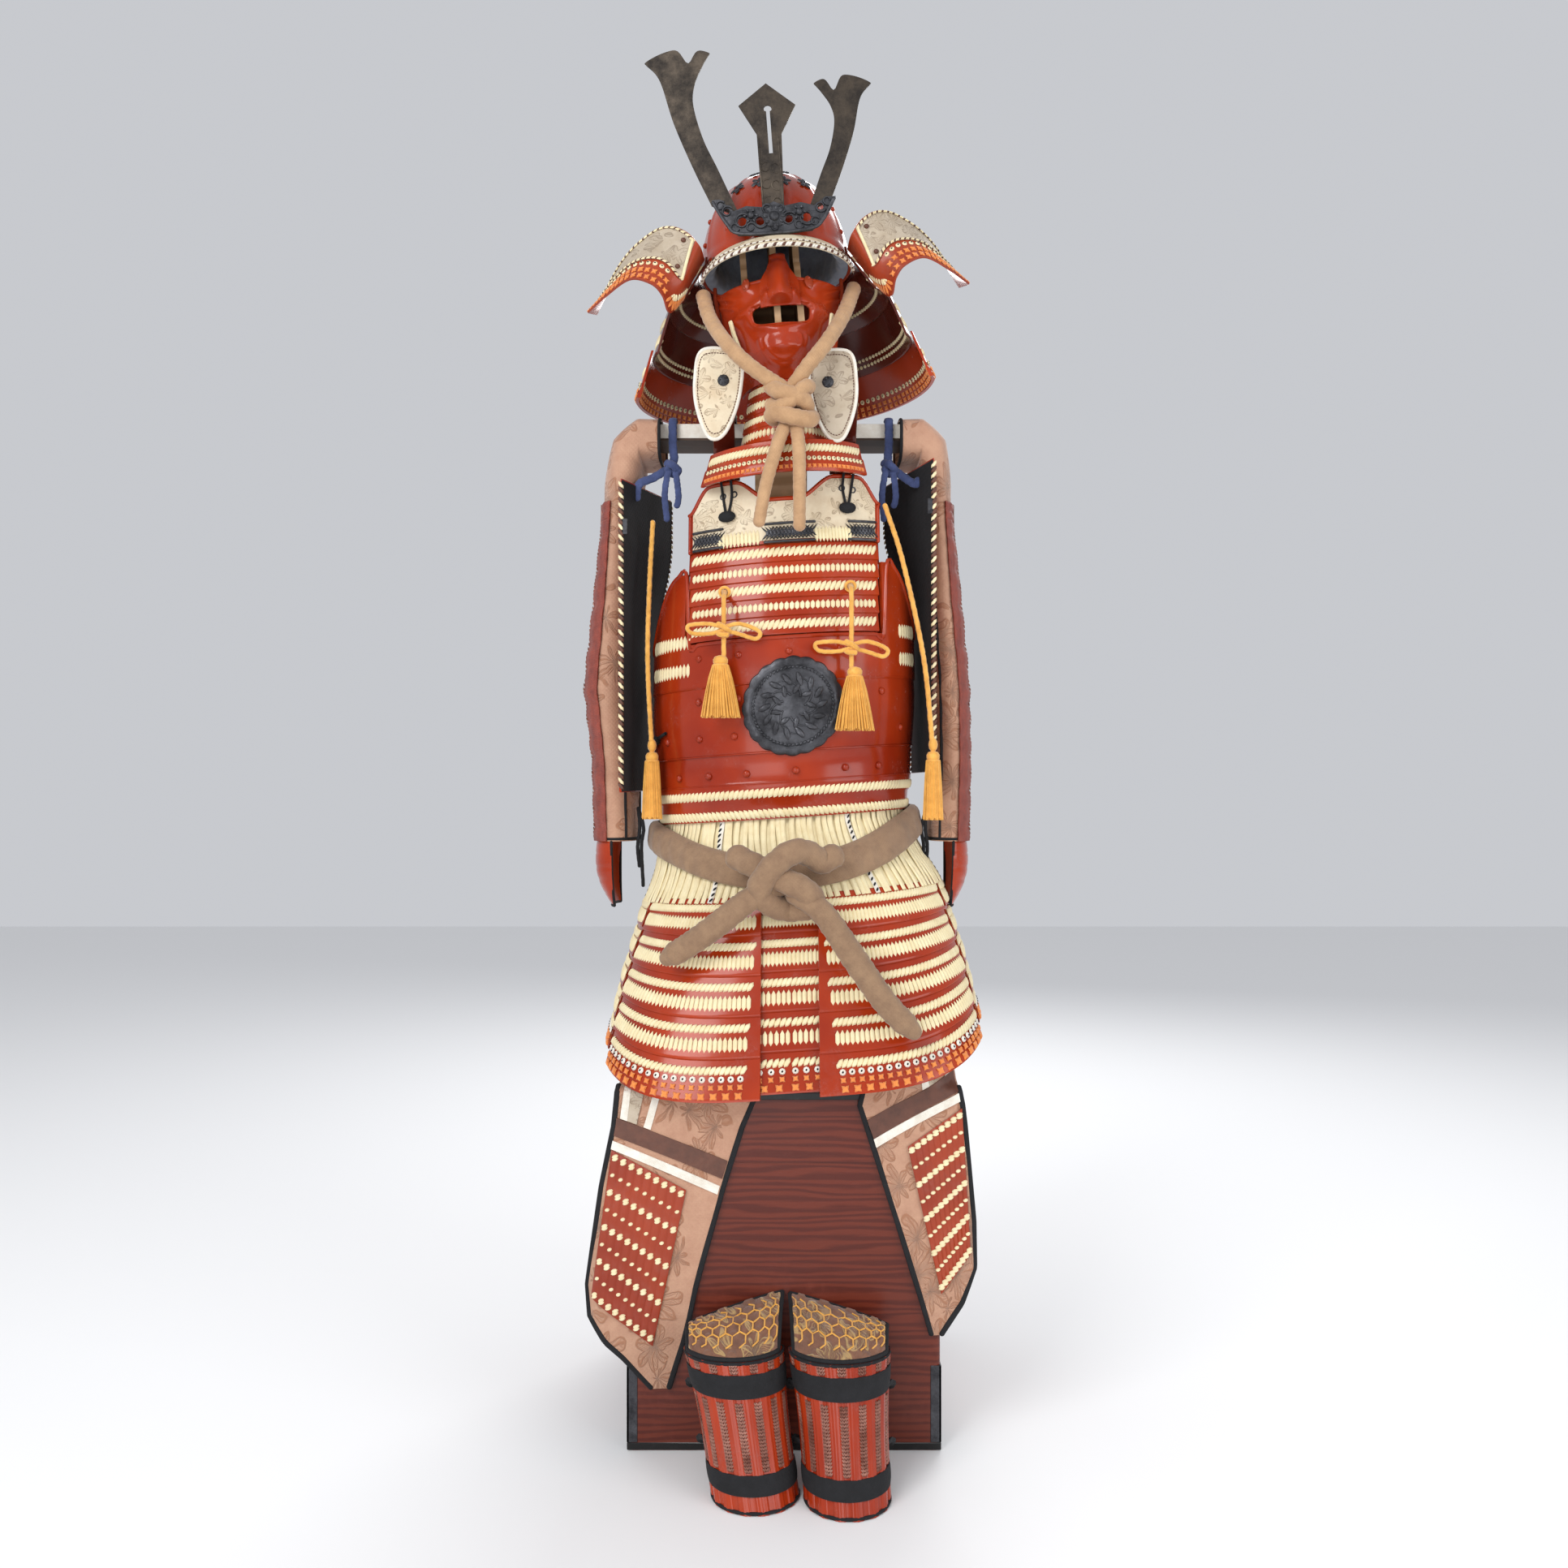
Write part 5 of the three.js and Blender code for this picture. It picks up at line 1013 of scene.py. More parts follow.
def dressTassets():
    for panel in tassets:
        def sheet(u, share, out, panel=panel):
            level = panel["bottom"] + (663.7 - panel["bottom"]) * share
            ends = [math.radians(end) + 0 * level for end in panel["ends"]]
            if "edge" in panel:
                ends[panel["edge"][0]] = skirtTurn(panel["edge"][1], level)
            turn = ends[0] * (1 - u) + ends[1] * u
            low = panel["bottom"] + 44 * np.sin(turn) ** 2
            return skirt(turn, low + (663.7 - low) * share, panel["out"] + out)
        us = np.linspace(0, 1, 52)
        rows = lameProfile(1.0, 0.0, 5, 3.4)
        shell, cream, white, orange, dots = batches(5)
        z, out = rows[:, :1], rows[:, 1:] - 0.4
        addWall(shell, sheet(us[None], z, out), sheet(us[None], z, np.full_like(out, -3.0)))
        shell.piece(panel["name"] + "_lames", "red", replaces=(panel["name"],))
        inset = 0.025 * (us[-1] - us[0])
        ends = (us[0] + inset, us[-1] - inset)
        middle = sheet(us, 0.5 + 0 * us, 0.0)
        wide = np.linalg.norm(np.diff(middle, axis=0), axis=1).sum()
        count = int(wide / 6.1)
        for i in range(5):
            head = 1 - i * 0.2
            last = i == 4
            strokeRow(cream, sheet, ends, head - 0.052, count, 14, 6.6, 2.7, 0.62, 1.2)
            if not last:
                strokeRow(cream, sheet, ends, head - 0.13, count, 20, 6.2, 2.3, 0.06, 2.4)
        strokeRow(white, sheet, ends, 0.108, int(count * 0.56), 8, 8, 2.2, 0, 2.4, shape=pebble)
        strokeRow(dots, sheet, ends, 0.108, int(count * 0.56), 4.2, 3.2, 3.2, 0.5, 2.4)
        crossRow(orange, sheet, ends, 0.070, int(count * 0.56), 9.5, 2.6, 2.8)
        crossRow(orange, sheet, ends, 0.028, int(count * 0.43), 12.5, 2.8, 3.0)
        cream.piece(panel["name"] + "_lacing", "cream")
        white.piece(panel["name"] + "_knots", "white", "cream_lacing")
        dots.piece(panel["name"] + "_dots", "blackCloth")
        orange.piece(panel["name"] + "_crosses", "orange")


# Belt: a padded cord round the waist that sags to its knot
belt = {"half": 20, "side": 742, "front": 690, "knot": (0, -170, 684)}
beltTable = {"z": [660, 700, 745, 800], "half": [199, 179, 167.6, 174],
             "front": [177, 153, 136, 144], "back": [151, 137, 124, 129]}


def beltSeat(turn, z):
    depth = np.where(np.cos(turn) > 0, look(beltTable, "front", z), look(beltTable, "back", z))
    x = look(beltTable, "half", z) * np.sin(turn)
    return place(x + 12 * (1 - ease(z, 660, 752)), torsoY - depth * np.cos(turn), z + rowRise * x)


def dressBelt():
    turn = np.linspace(-math.pi, math.pi, 260, endpoint=False)
    height = belt["side"] + (belt["front"] - belt["side"]) * np.maximum(np.cos(turn), 0) ** 2
    angle = fullTurn(20)
    s = np.arange(len(turn))
    # Section: round outside, flat against the waist; creases run across it unevenly
    crease = 0.7 * np.sin(s * 0.9 + 2 * np.sin(s * 0.13)) + 0.6 * np.sin(s * 0.31 + 1.0)
    rows = []
    for a in angle:
        seat = beltSeat(turn, height + belt["half"] * math.sin(a))
        bulge = 1.0 if math.cos(a) < 0 else 1 + (15 + crease) * max(math.cos(a), 0) ** 0.7
        rows.append(seat + np.stack([bulge * np.sin(turn), -bulge * np.cos(turn), 0 * turn], -1))
    rings = np.stack(rows, 1)
    ring = Batch()
    count = len(turn) * len(angle)
    index = np.arange(count).reshape(len(turn), len(angle))
    closed = np.concatenate([index, index[:1]])
    closed = np.concatenate([closed, closed[:, :1]], 1)
    ring.add(rings, np.stack([closed[:-1, :-1], closed[:-1, 1:], closed[1:, 1:], closed[1:, :-1]],
        -1)[..., ::-1])
    made = ring.piece("belt_cord", "belt", replaces=("belt",), crease=80)
    x, y, z = belt["knot"]
    knot = Batch()
    over = [(x - 60, y + 12, z + 28), (x - 34, y - 2, z + 16), (x - 4, y - 16, z + 2),
        (x + 26, y - 20, z - 12), (x + 34, y - 8, z - 30), (x + 8, y + 6, z - 36),
        (x - 14, y - 6, z - 30), (x - 30, y - 18, z - 12), (x - 14, y - 24, z + 16),
        (x + 10, y - 18, z + 34), (x + 30, y - 6, z + 32), (x + 46, y + 4, z + 22),
        (x + 62, y + 10, z + 30)]
    cord(knot, over, 90, 15.5, 16, wrinkle=0.035, flat=0.9)
    left = [(x - 6, y - 4, z - 6), (x - 40, y - 16, z - 22), (x - 84, y - 17, z - 56),
        (x - 118, y - 12, z - 80), (x - 144, y - 6, z - 96)]
    right = [(x + 12, y - 10, z - 14), (x + 46, y - 22, z - 38), (x + 84, y - 40, z - 92),
        (x + 120, y - 56, z - 142), (x + 154, y - 62, z - 176)]
    for route in (left, right):
        path = smoothPath(route, 80)
        taper = np.interp(np.linspace(0, 1, 80), [0, 0.5, 0.93, 1], [14, 15.5, 14.5, 9])
        tube(knot, path, taper, 16, wrinkle=0.03, flat=0.85)
    made = knot.piece("belt_knot_cord", "belt", replaces=("belt_knot",), crease=80)


# Shared helmet surfaces, in the head's own upright frame
bowl = {"half": 98, "depth": 118, "height": 122, "rim": 1478, "y": -5, "ribs": 14}


def bowlPoint(turn, rise, out):
    lean = rise * math.pi / 2
    narrow = np.cos(lean) ** 0.85
    return toHead(place((bowl["half"] + out) * narrow * np.sin(turn),
        bowl["y"] - (bowl["depth"] + out) * narrow * np.cos(turn),
        bowl["rim"] + (bowl["height"] + out) * np.sin(lean)))


def dressBowl():
    turn = fullTurn(196)[None]
    rise = np.concatenate([[0, 0.02, 0.05, 0.07], np.linspace(0.1, 0.9, 16)])[:, None]
    # Ribs stand along the seams between the plates, and fade out above the rim band
    rib = 1.5 * np.exp(-((((turn * bowl["ribs"] / 2 / math.pi) % 1) - 0.5) / 0.09) ** 2)
    out = np.where(rise < 0.06, 1.7, rib * ease(rise, 0.05, 0.1))
    shell = Batch()
    addWall(shell, bowlPoint(turn, rise + 0 * turn, out),
        bowlPoint(turn, rise + 0 * turn, -2.5 + 0 * out), True)
    shell.piece("helmet_bowl_shell", "red", replaces=("helmet_bowl",))
    fittings, studs = batches(2)
    # Boss round the hole at the crown: stacked rings
    for rise_, size in ((0.905, 2.6), (0.93, 2.2)):
        ring = bowlPoint(fullTurn(40), np.full(40, rise_), 1.6)
        tube(fittings, ring, size, 8, closed=True)
    # Floral ornaments low on the front plates: five petals and a leaf above each
    for turns, rise_ in (((-0.62, -0.22, 0.22, 0.62), 0.5), ((-0.4, 0.0, 0.4), 0.72)):
        for centre in turns:
            for k in range(5):
                a = k * 2 * math.pi / 5
                point, side, up, normal = onSurface(bowlPoint, [centre + 0.07 * math.cos(a)],
                    [rise_ + 0.04 * math.sin(a)], 1.6, 0.01, 0.004)
                along = side * math.cos(a) + up * math.sin(a)
                stamp(fittings, pebble, point, along, normal, (5.2, 3.2, 1.4))
    for turns in (np.linspace(0.9, 2 * math.pi - 0.9, 9),):
        for rise_ in (0.16, 0.34, 0.52):
            point, side, up, normal = onSurface(bowlPoint, turns + 0.22, np.full(9, rise_), 0.4, 0.01,
                0.004)
            stamp(studs, dome, point, side, normal, (3.6, 3.6, 3.0))
    fittings.piece("helmet_ornaments", "iron")
    studs.piece("helmet_rivets", "red")


def dressLining():
    turn = fullTurn(180)[None]
    rise = np.array([0, 0.03, 0.07, 0.12, 0.18, 0.24, 0.35, 0.5, 0.65, 0.8, 0.9])[:, None]
    # Padded roll at the rim, puckered at uneven steps round the head
    roll = np.interp(rise, [0, 0.03, 0.1, 0.18, 0.24, 1], [10, 13.5, 14.5, 6, 3, 2.5])
    pucker = 1.0 * np.sin(turn * 31 + 2 * np.sin(turn * 5)) * (rise < 0.2)
    shell = Batch()
    addWall(shell, bowlPoint(turn, rise + 0 * turn, -2.9 + 0 * turn + 0 * rise),
        bowlPoint(turn, rise + 0 * turn, -2.9 - roll - pucker), True)
    made = shell.piece("helmet_lining_cloth", "greyCloth", "grey_cloth", replaces=("helmet_lining",),
        crease=80)


# Peak over the brow: printed leather with a twisted rope edge and dark flower studs
visor = {"reach": 34, "drop": 24, "spread": 62, "thick": 4}


def visorPoint(turn, share, lift):
    fade = np.cos(turn / math.radians(visor["spread"]) * math.pi / 2.25)
    out = 1.9 + share * (6 + (visor["reach"] - 6) * fade)
    x = (bowl["half"] + out) * np.sin(turn)
    y = bowl["y"] - (bowl["depth"] + out) * np.cos(turn)
    sink = 8 * (np.abs(turn) / math.radians(visor["spread"])) ** 2
    return toHead(place(x, y, bowl["rim"] + 6 - sink - visor["drop"] * share ** 1.4 + lift))


def rope(batchPale, batchDark, line, normal, width, step):
    # Twisted edging: slanting beads along a line, every third one dark
    path = smoothPath(line, step)
    ahead = unit(np.gradient(path, axis=0))
    normal = np.broadcast_to(np.asarray(normal, float), path.shape)
    normal = unit(normal - np.sum(normal * ahead, -1, keepdims=True) * ahead)
    slanted = unit(ahead + 0.8 * np.cross(normal, ahead))
    for i, batch in ((0, batchPale), (1, batchPale), (2, batchDark)):
        stamp(batch, pillow, path[i::3], slanted[i::3], normal[i::3],
            (width * 0.75, width * 0.32, width * 0.42))


def dressVisor():
    turn = everyTurn(-62, 62, 90)[None]
    share = np.array([0, 0.2, 0.4, 0.6, 0.78, 0.9, 0.97, 1.0])[:, None]
    top = visorPoint(turn, share, np.interp(share, [0, 0.7, 0.8, 0.94, 1], [0, 0, 1, 1, -1]))
    under = visorPoint(turn, share, -4 + 0 * share)
    shell, pale, dark = batches(3)
    addWall(shell, top, under)
    shell.piece("helmet_visor_leather", "leather", replaces=("helmet_visor",))
    edge = visorPoint(everyTurn(-61, 61, 60), np.full(60, 1.0), -1.0)
    line = visorPoint(everyTurn(-59, 59, 60), np.full(60, 0.86), 1.6)
    rope(pale, dark, edge, (0, -0.8, 0.4), 6.0, 78)
    rope(pale, dark, line, (0, -0.5, 0.8), 3.2, 100)
    for turns in ((-52, -47, -56), (52, 47, 56)):
        point, side = onSurface(visorPoint, np.radians(turns), np.full(3, 0.5), 1.0, 0.01, 0.02)[:2]
        stamp(dark, dome, point, side, np.broadcast_to([0.0, -0.6, 0.8], point.shape), (2.8, 2.8, 2.4))
    pale.piece("helmet_visor_rope", "white", "cream_lacing")
    dark.piece("helmet_visor_twist", "brownLeather")


# Neck guard: three flaring lames, laced where they overlap; open at the face
neckLames = [
    {"open": 60, "z": [1430, 1476, 1485], "half": [146, 106.4, 104.4],
     "front": [116, 124.4, 124.4], "back": [162, 124.4, 124.4]},
    {"open": 72, "z": [1374, 1430, 1438], "half": [173, 150.6, 144.1],
     "front": [112, 121, 122], "back": [188, 166.6, 160.6]},
    {"open": 78, "z": [1322, 1374, 1382], "half": [198, 178.4, 175.4],
     "front": [106, 118, 119], "back": [212, 193.6, 190.5]},
]


def dressNeckGuard():
    pale, orange, dots = batches(3)
    for i, lame in enumerate(neckLames):
        def sheet(u, z, out, lame=lame):
            depth = np.where(np.cos(u) > 0, look(lame, "front", z), look(lame, "back", z)) + out
            x = (look(lame, "half", z) + out) * np.sin(u)
            return toHead(place(x, bowl["y"] - depth * np.cos(u), z))
        low, middle, top = lame["z"]
        us = everyTurn(lame["open"], 360 - lame["open"], 120)
        lip = 2.0 if i == 2 else 0.0
        rows = np.array([(top, 0), (middle + 2, 0), (middle, 0), ((middle + low) / 2, 0.4),
            (low + 13, 0.2), (low + 10, lip * 0.8), (low + 2, lip), (low, lip * 0.6)])
        shell = Batch()
        addShell(shell, sheet, us, rows, 3)
        # The two upper lames take the dark red as painted shade; the lowest lame takes the plain red
        shell.piece(f"neck_guard_{i + 1}_lame", "redDark" if i < 2 else "red", "dark_lacquer",
            replaces=(f"neck_guard_{i + 1}",))
        ends = (us[0] + 0.02, us[-1] - 0.02)
        inner = lambda u, z, out, sheet=sheet: sheet(-u, z, -3 - out)
        back = (-ends[1], -ends[0])
        count = 92 + 20 * i
        if i == 2:
            strokeRow(pale, sheet, ends, low + 34, count, 14, 6.4, 2.4, 0.6, 0.4)
            for batch, level, size in ((pale, low + 20, 7.0), (orange, low + 11, 9),
                    (orange, low + 4, 9)):
                for surface, reach in ((sheet, ends), (inner, back)):
                    if batch is orange:
                        crossRow(batch, surface, reach, level, 62, size, 1.8,
                            2.2 if surface is sheet else 0.4)
                    else:
                        strokeRow(batch, surface, reach, level, 66, size, size, 1.6, 0,
                            1.6 if surface is sheet else 0.4, shape=pebble)
                        strokeRow(dots, surface, reach, level, 66, 3.4, 2.6, 2.4, 0.5,
                            1.6 if surface is sheet else 0.4)
        else:
            strokeRow(pale, sheet, ends, low + 40, count, 14, 6.4, 2.4, 0.6, 0.2)
            strokeRow(pale, sheet, ends, low + 20, count, 15, 4.6, 2.0, 0.04, 0.2)
        levels = {0: (1444,), 1: (1392, 1384), 2: ()}[i]
        for level in levels:
            strokeRow(pale, inner, back, level, 84, 5.2, 5.2, 2.2, 0, 0.4, shape=pebble)
    pale.piece("neck_guard_lacing", "cream")
    orange.piece("neck_guard_crosses", "orange")
    dots.piece("neck_guard_dots", "blackCloth")


# Turn-backs: the top lame's ends curl out and back; leather above, lacing below
turnBack = {
    "far": [(92.9, -66.6, 1482), (97, -100, 1488), (111, -96, 1507), (134, -85, 1520),
            (161, -70, 1516), (199, -45, 1493), (246, 22, 1452)],
    "near": [(126.1, -62.7, 1434), (141, -92, 1408), (147, -110, 1424), (160, -115, 1438),
             (187, -105, 1449), (221, -72, 1443), (252, -24, 1440)],
}


def dressTurnBacks():
    for side, sign in (("left", -1), ("right", 1)):
        lines = [smoothPath(np.array(turnBack[k]) * (sign, 1, 1), 64) for k in ("far", "near")]

        def sheet(u, v, out, lines=lines, sign=sign):
            u, v = np.broadcast_arrays(np.asarray(u, float), np.asarray(v, float))
            t = np.clip(u, 0, 1) * 63
            at = [np.stack([np.interp(t, np.arange(64), line[:, k]) for k in range(3)], -1)
                for line in lines]
            d = [np.stack([np.interp(np.clip(t, 0.5, 62.5), np.arange(64), np.gradient(line[:, k]))
                for k in range(3)], -1) for line in lines]
            point = at[0] * (1 - v[..., None]) + at[1] * v[..., None]
            along = d[0] * (1 - v[..., None]) + d[1] * v[..., None]
            normal = unit(np.cross(at[1] - at[0], along)) * sign
            return toHead(point + normal * np.asarray(out, float)[..., None] + along
                * ((u * 63 - t))[..., None])
        us, vs = np.linspace(0, 1, 64)[None], np.linspace(0, 1, 24)[:, None]
        shell, leather, pale, orange, dark, dots = batches(6)
        addWall(shell, sheet(us, vs, 1.3 + 0 * us * vs), sheet(us, vs, -1.3 + 0 * us * vs))
        shell.piece(f"turn_back_{side}_plate", "redDull", "red_lacquer", replaces=(f"turn_back_{side}",))
        upper, across = np.linspace(0.16, 0.995, 56)[None], np.linspace(0.015, 0.56, 14)[:, None]
        addWall(leather, sheet(upper, across, 2.0 + 0 * upper * across),
            sheet(upper, across, 1.4 + 0 * upper * across))
        leather.piece(f"turn_back_{side}_leather", "greyLeatherAndShade")
        for v in (0.03, 0.55):
            line = sheet(np.linspace(0.17, 0.99, 50), np.full(50, v), np.full(50, 2.4))
            rope(pale, dark, line, (0.2 * sign, -0.5, 0.8), 4.4, 78)
        rim = sheet(np.full(20, 0.17), np.linspace(0.03, 0.55, 20), np.full(20, 2.4))
        tube(pale, rim, 2.0, 8)
        for u, v in ((0.23, 0.12), (0.23, 0.46)):
            point = sheet(np.array([u]), np.array([v]), np.array([2.6]))
            stamp(dark, dome, point, [[1, 0, 0]], unit(np.array([[0, -0.6, 0.8]])), (3.4, 3.4, 3))
        turned = lambda u, v, out: sheet(u, v, out + 0 * np.asarray(u))
        u = np.linspace(0.30, 0.97, 17)
        point, along = onSurface(turned, u, np.full(17, 0.64), 1.6, 0.01, 0.02)[:2]
        facing = np.cross(unit(sheet(u + 0.01, np.full(17, 0.7), 0 * u)
            - sheet(u, np.full(17, 0.7), 0 * u)), unit(sheet(u, np.full(17, 0.8), 0 * u)
            - sheet(u, np.full(17, 0.7), 0 * u))) * -sign
        stamp(pale, pebble, point, along, facing, (3.4, 3.4, 1.8))
        stamp(dots, pebble, point + facing * 1.2, along, facing, (1.6, 1.2, 1.2))
        for v in (0.78, 0.92):
            for slant in (0.8, -0.8):
                point = sheet(u, np.full(17, v), np.full(17, 1.6))
                cross = unit(along * math.cos(slant) + np.cross(facing, along) * math.sin(slant))
                stamp(orange, pillow, point, cross, facing, (5.2, 2.0, 2.0))
        # Lacing over the fold's edge, down toward the lower lames
        down = np.linspace(0.02, 0.24, 9)
        point, _, up, normal = onSurface(turned, down, np.full(9, 0.9), 1.5, 0.01, 0.02)
        stamp(orange, pillow, point, up, normal, (7.0, 2.2, 2.2))
        stamp(pale, pillow, point - up * 9, up, normal, (5.0, 1.8, 2.0))
        pale.piece(f"turn_back_{side}_rope", "cream")
        orange.piece(f"turn_back_{side}_crosses", "orange")
        dark.piece(f"turn_back_{side}_twist", "brownLeather")
        dots.piece(f"turn_back_{side}_dots", "blackCloth")


# Crest: scrolls and bosses on the frame's own base and blade, and horns with smooth edges
horn = {"inner": [(42, 1508), (62, 1557), (76, 1590), (84, 1625), (81, 1646), (71, 1664),
                  (62, 1676)],
        "outer": [(72, 1522), (90, 1564), (107, 1610), (119, 1655), (134, 1674)]}


def crestFront(x, z, out):
    # Front of the horns and blade: bent back toward the sides, leaning back upward
    return toHead(place(x, -131 + x * x / 2200 + 3.3 + (z - 1520) * 0.06 - out, z))


def crestBase(x, z, out):
    return toHead(place(x, -131 + x * x / 2200 - 2.6 - out, z))


def dressCrest():
    for name, paint in (("crest_base", "iron"), ("crest_blade", "bronze")):
        nodes[name].data.materials.clear()
        nodes[name].data.materials.append(paints[paint])
    # Horn: a strip between its two edges; toward its tip it rises by 11 sin(pi t)^0.8, less
    # a notch of 19 exp(-((t - 0.34) / 0.1)^2)
    s, t = np.linspace(0, 1, 45)[:, None], np.linspace(0, 1, 28)[None]
    for side, sign, tall, wide in (("left", -1, 1.27, 1.15), ("right", 1, 0.98, 1)):
        edges = []
        for points in (horn["inner"], horn["outer"]):
            line = np.array(points) - (42, 1508)
            line = line * (wide, tall) + (42, 1508)
            edges.append(smoothPath(np.c_[line, 0 * line[:, 0]], 45))
        at = edges[0][:, None] * (1 - t[..., None]) + edges[1][:, None] * t[..., None]
        tip = ease(s, 0.86, 1) ** 2 * (11 * np.sin(math.pi * t) ** 0.8 - 19
            * np.exp(-((t - 0.34) / 0.1) ** 2))
        x, z = at[..., 0] * sign, at[..., 1] + tip
        plate = Batch()
        addWall(plate, crestFront(x, z, 0 * x), crestFront(x, z, -2.4 + 0 * x))
        plate.piece(f"crest_horn_{side}_plate", "bronze", replaces=(f"crest_horn_{side}",))
    base, lines = batches(2)
    rim = np.array([(-75, 1527), (-59, 1498), (-46, 1486), (0, 1483), (46, 1486), (61, 1497), (76, 1522)])
    path = smoothPath(np.c_[rim, 0 * rim[:, 0]], 60)
    tube(base, crestBase(path[:, 0], path[:, 1], 0.6), 2.2, 8)
    t = np.linspace(0, 1, 22)
    for x, z, size, way in ((-40, 1500, 10, 1), (-18, 1499, 9, -1), (18, 1499, 9, 1), (40, 1500, 10, -1),
            (-58, 1514, 7, 1), (58, 1512, 7, -1), (-30, 1492, 6, 1), (30, 1492, 6, -1),
            (-50, 1494, 6, -1), (50, 1494, 6, 1), (-9, 1513, 6, 1), (9, 1513, 6, -1), (-66, 1522, 6, 1),
            (67, 1519, 6, -1), (0, 1490, 5, 1)):
        angle = way * (t * 5.6 + 0.6)
        reach = size * (1 - 0.45 * t)
        tube(base, crestBase(x + reach * np.cos(angle), z + reach * np.sin(angle), 0.8 + 0 * t),
            1.5 * (1 - 0.4 * t), 6)
    for x, z, size in ((0, 1503, 6.5), (-29, 1506, 4.5), (31, 1506, 4.5)):
        boss = crestBase(np.array([x]), np.array([z]), np.array([2.5]))
        stamp(base, dome, boss, [[1, 0, 0]], [[0, -1, 0]], (size, size, 4))
        for k in range(10 if x == 0 else 6):
            a = k * 2 * math.pi / (10 if x == 0 else 6)
            reach = size * 1.65
            petal = crestBase(np.array([x + reach * math.cos(a)]), np.array([z + reach * math.sin(a)]),
                np.array([1.2]))
            stamp(base, pebble, petal, [[math.cos(a), 0, math.sin(a)]], [[0, -1, 0]],
                (size * 0.55, size * 0.34, 2.4))
    for x0, way in ((-6, 1), (6, -1)):
        for z0 in (1524, 1546, 1568):
            angle = way * (t * 4.6 + 1.2)
            reach = 7.5 * (1 - 0.5 * t)
            tube(lines, crestFront(x0 + reach * np.cos(angle), z0 + reach * np.sin(angle), 0.3 + 0 * t),
                0.9, 5)
    for x in (-12.5, 12.5):
        z = np.linspace(1514, 1606, 20)
        tube(lines, crestFront(x + 0 * z, z, 0.4 + 0 * z), 1.0, 5)
    base.piece("crest_scrolls", "iron")
    lines.piece("crest_blade_curls", "bronze")


# Mask: a shell of red lacquer with raised folds, an open mouth and a hooked-on nose
maskTable = {"z": [1310, 1325, 1345, 1372, 1402, 1440, 1470],
             "half": [58, 57, 62, 73, 81, 84, 84], "depth": [90, 99, 112, 107, 104, 92, 78]}
maskShape = {"y": -15, "spread": 82, "top": 1468, "bottom": 1310, "thick": 2.5,
             "mouth": (37, 13), "mouthZ": 1389}


def maskPoint(turn, z, out):
    return toHead(place((look(maskTable, "half", z) + out) * np.sin(turn),
        maskShape["y"] - (look(maskTable, "depth", z) + out) * np.cos(turn), z))


def ridge(distance, width, height):
    return height * np.exp(-(distance / width) ** 2)


def maskRelief(turn, z):
    # Bell-shaped folds: cheeks, mouth corners, lips, chin, and waves on the outer cheeks
    t = np.abs(turn)
    cheek = ridge(z - 1416 - 26 * t, 9, 5) * ease(t, 0.35, 0.6)
    fold = ridge(z - 1398 + 40 * (t - 0.4) ** 2, 7, 4) * ease(t, 0.4, 0.7)
    lip = ridge(np.hypot(turn * 95 / 46, (z - 1390) / 22) - 1, 0.25, 4)
    chin = ridge(np.hypot(turn * 95 / 26, (z - 1350) / 16), 1, 5)
    waves = sum(ridge(z - level - 34 * (t - 0.9), 3.2, 2.2) for level in (1436, 1424, 1412))
    groove = sum(ridge(np.hypot(turn * 95 / size, (z - 1352) / (0.62 * size)) - 1, 0.09, 1.8)
        for size in (34, 44)) * (z < 1362)
    return cheek + fold + lip + chin + waves * ease(t, 0.7, 0.85) + groove


def maskTop(turn):
    # Upper edge: low under the eyes, rising to the temples and to the bridge of the nose
    return 1434 + 16 * np.exp(-(turn / 0.16) ** 2) + 12 * ease(np.abs(turn), 1.0, 1.4)


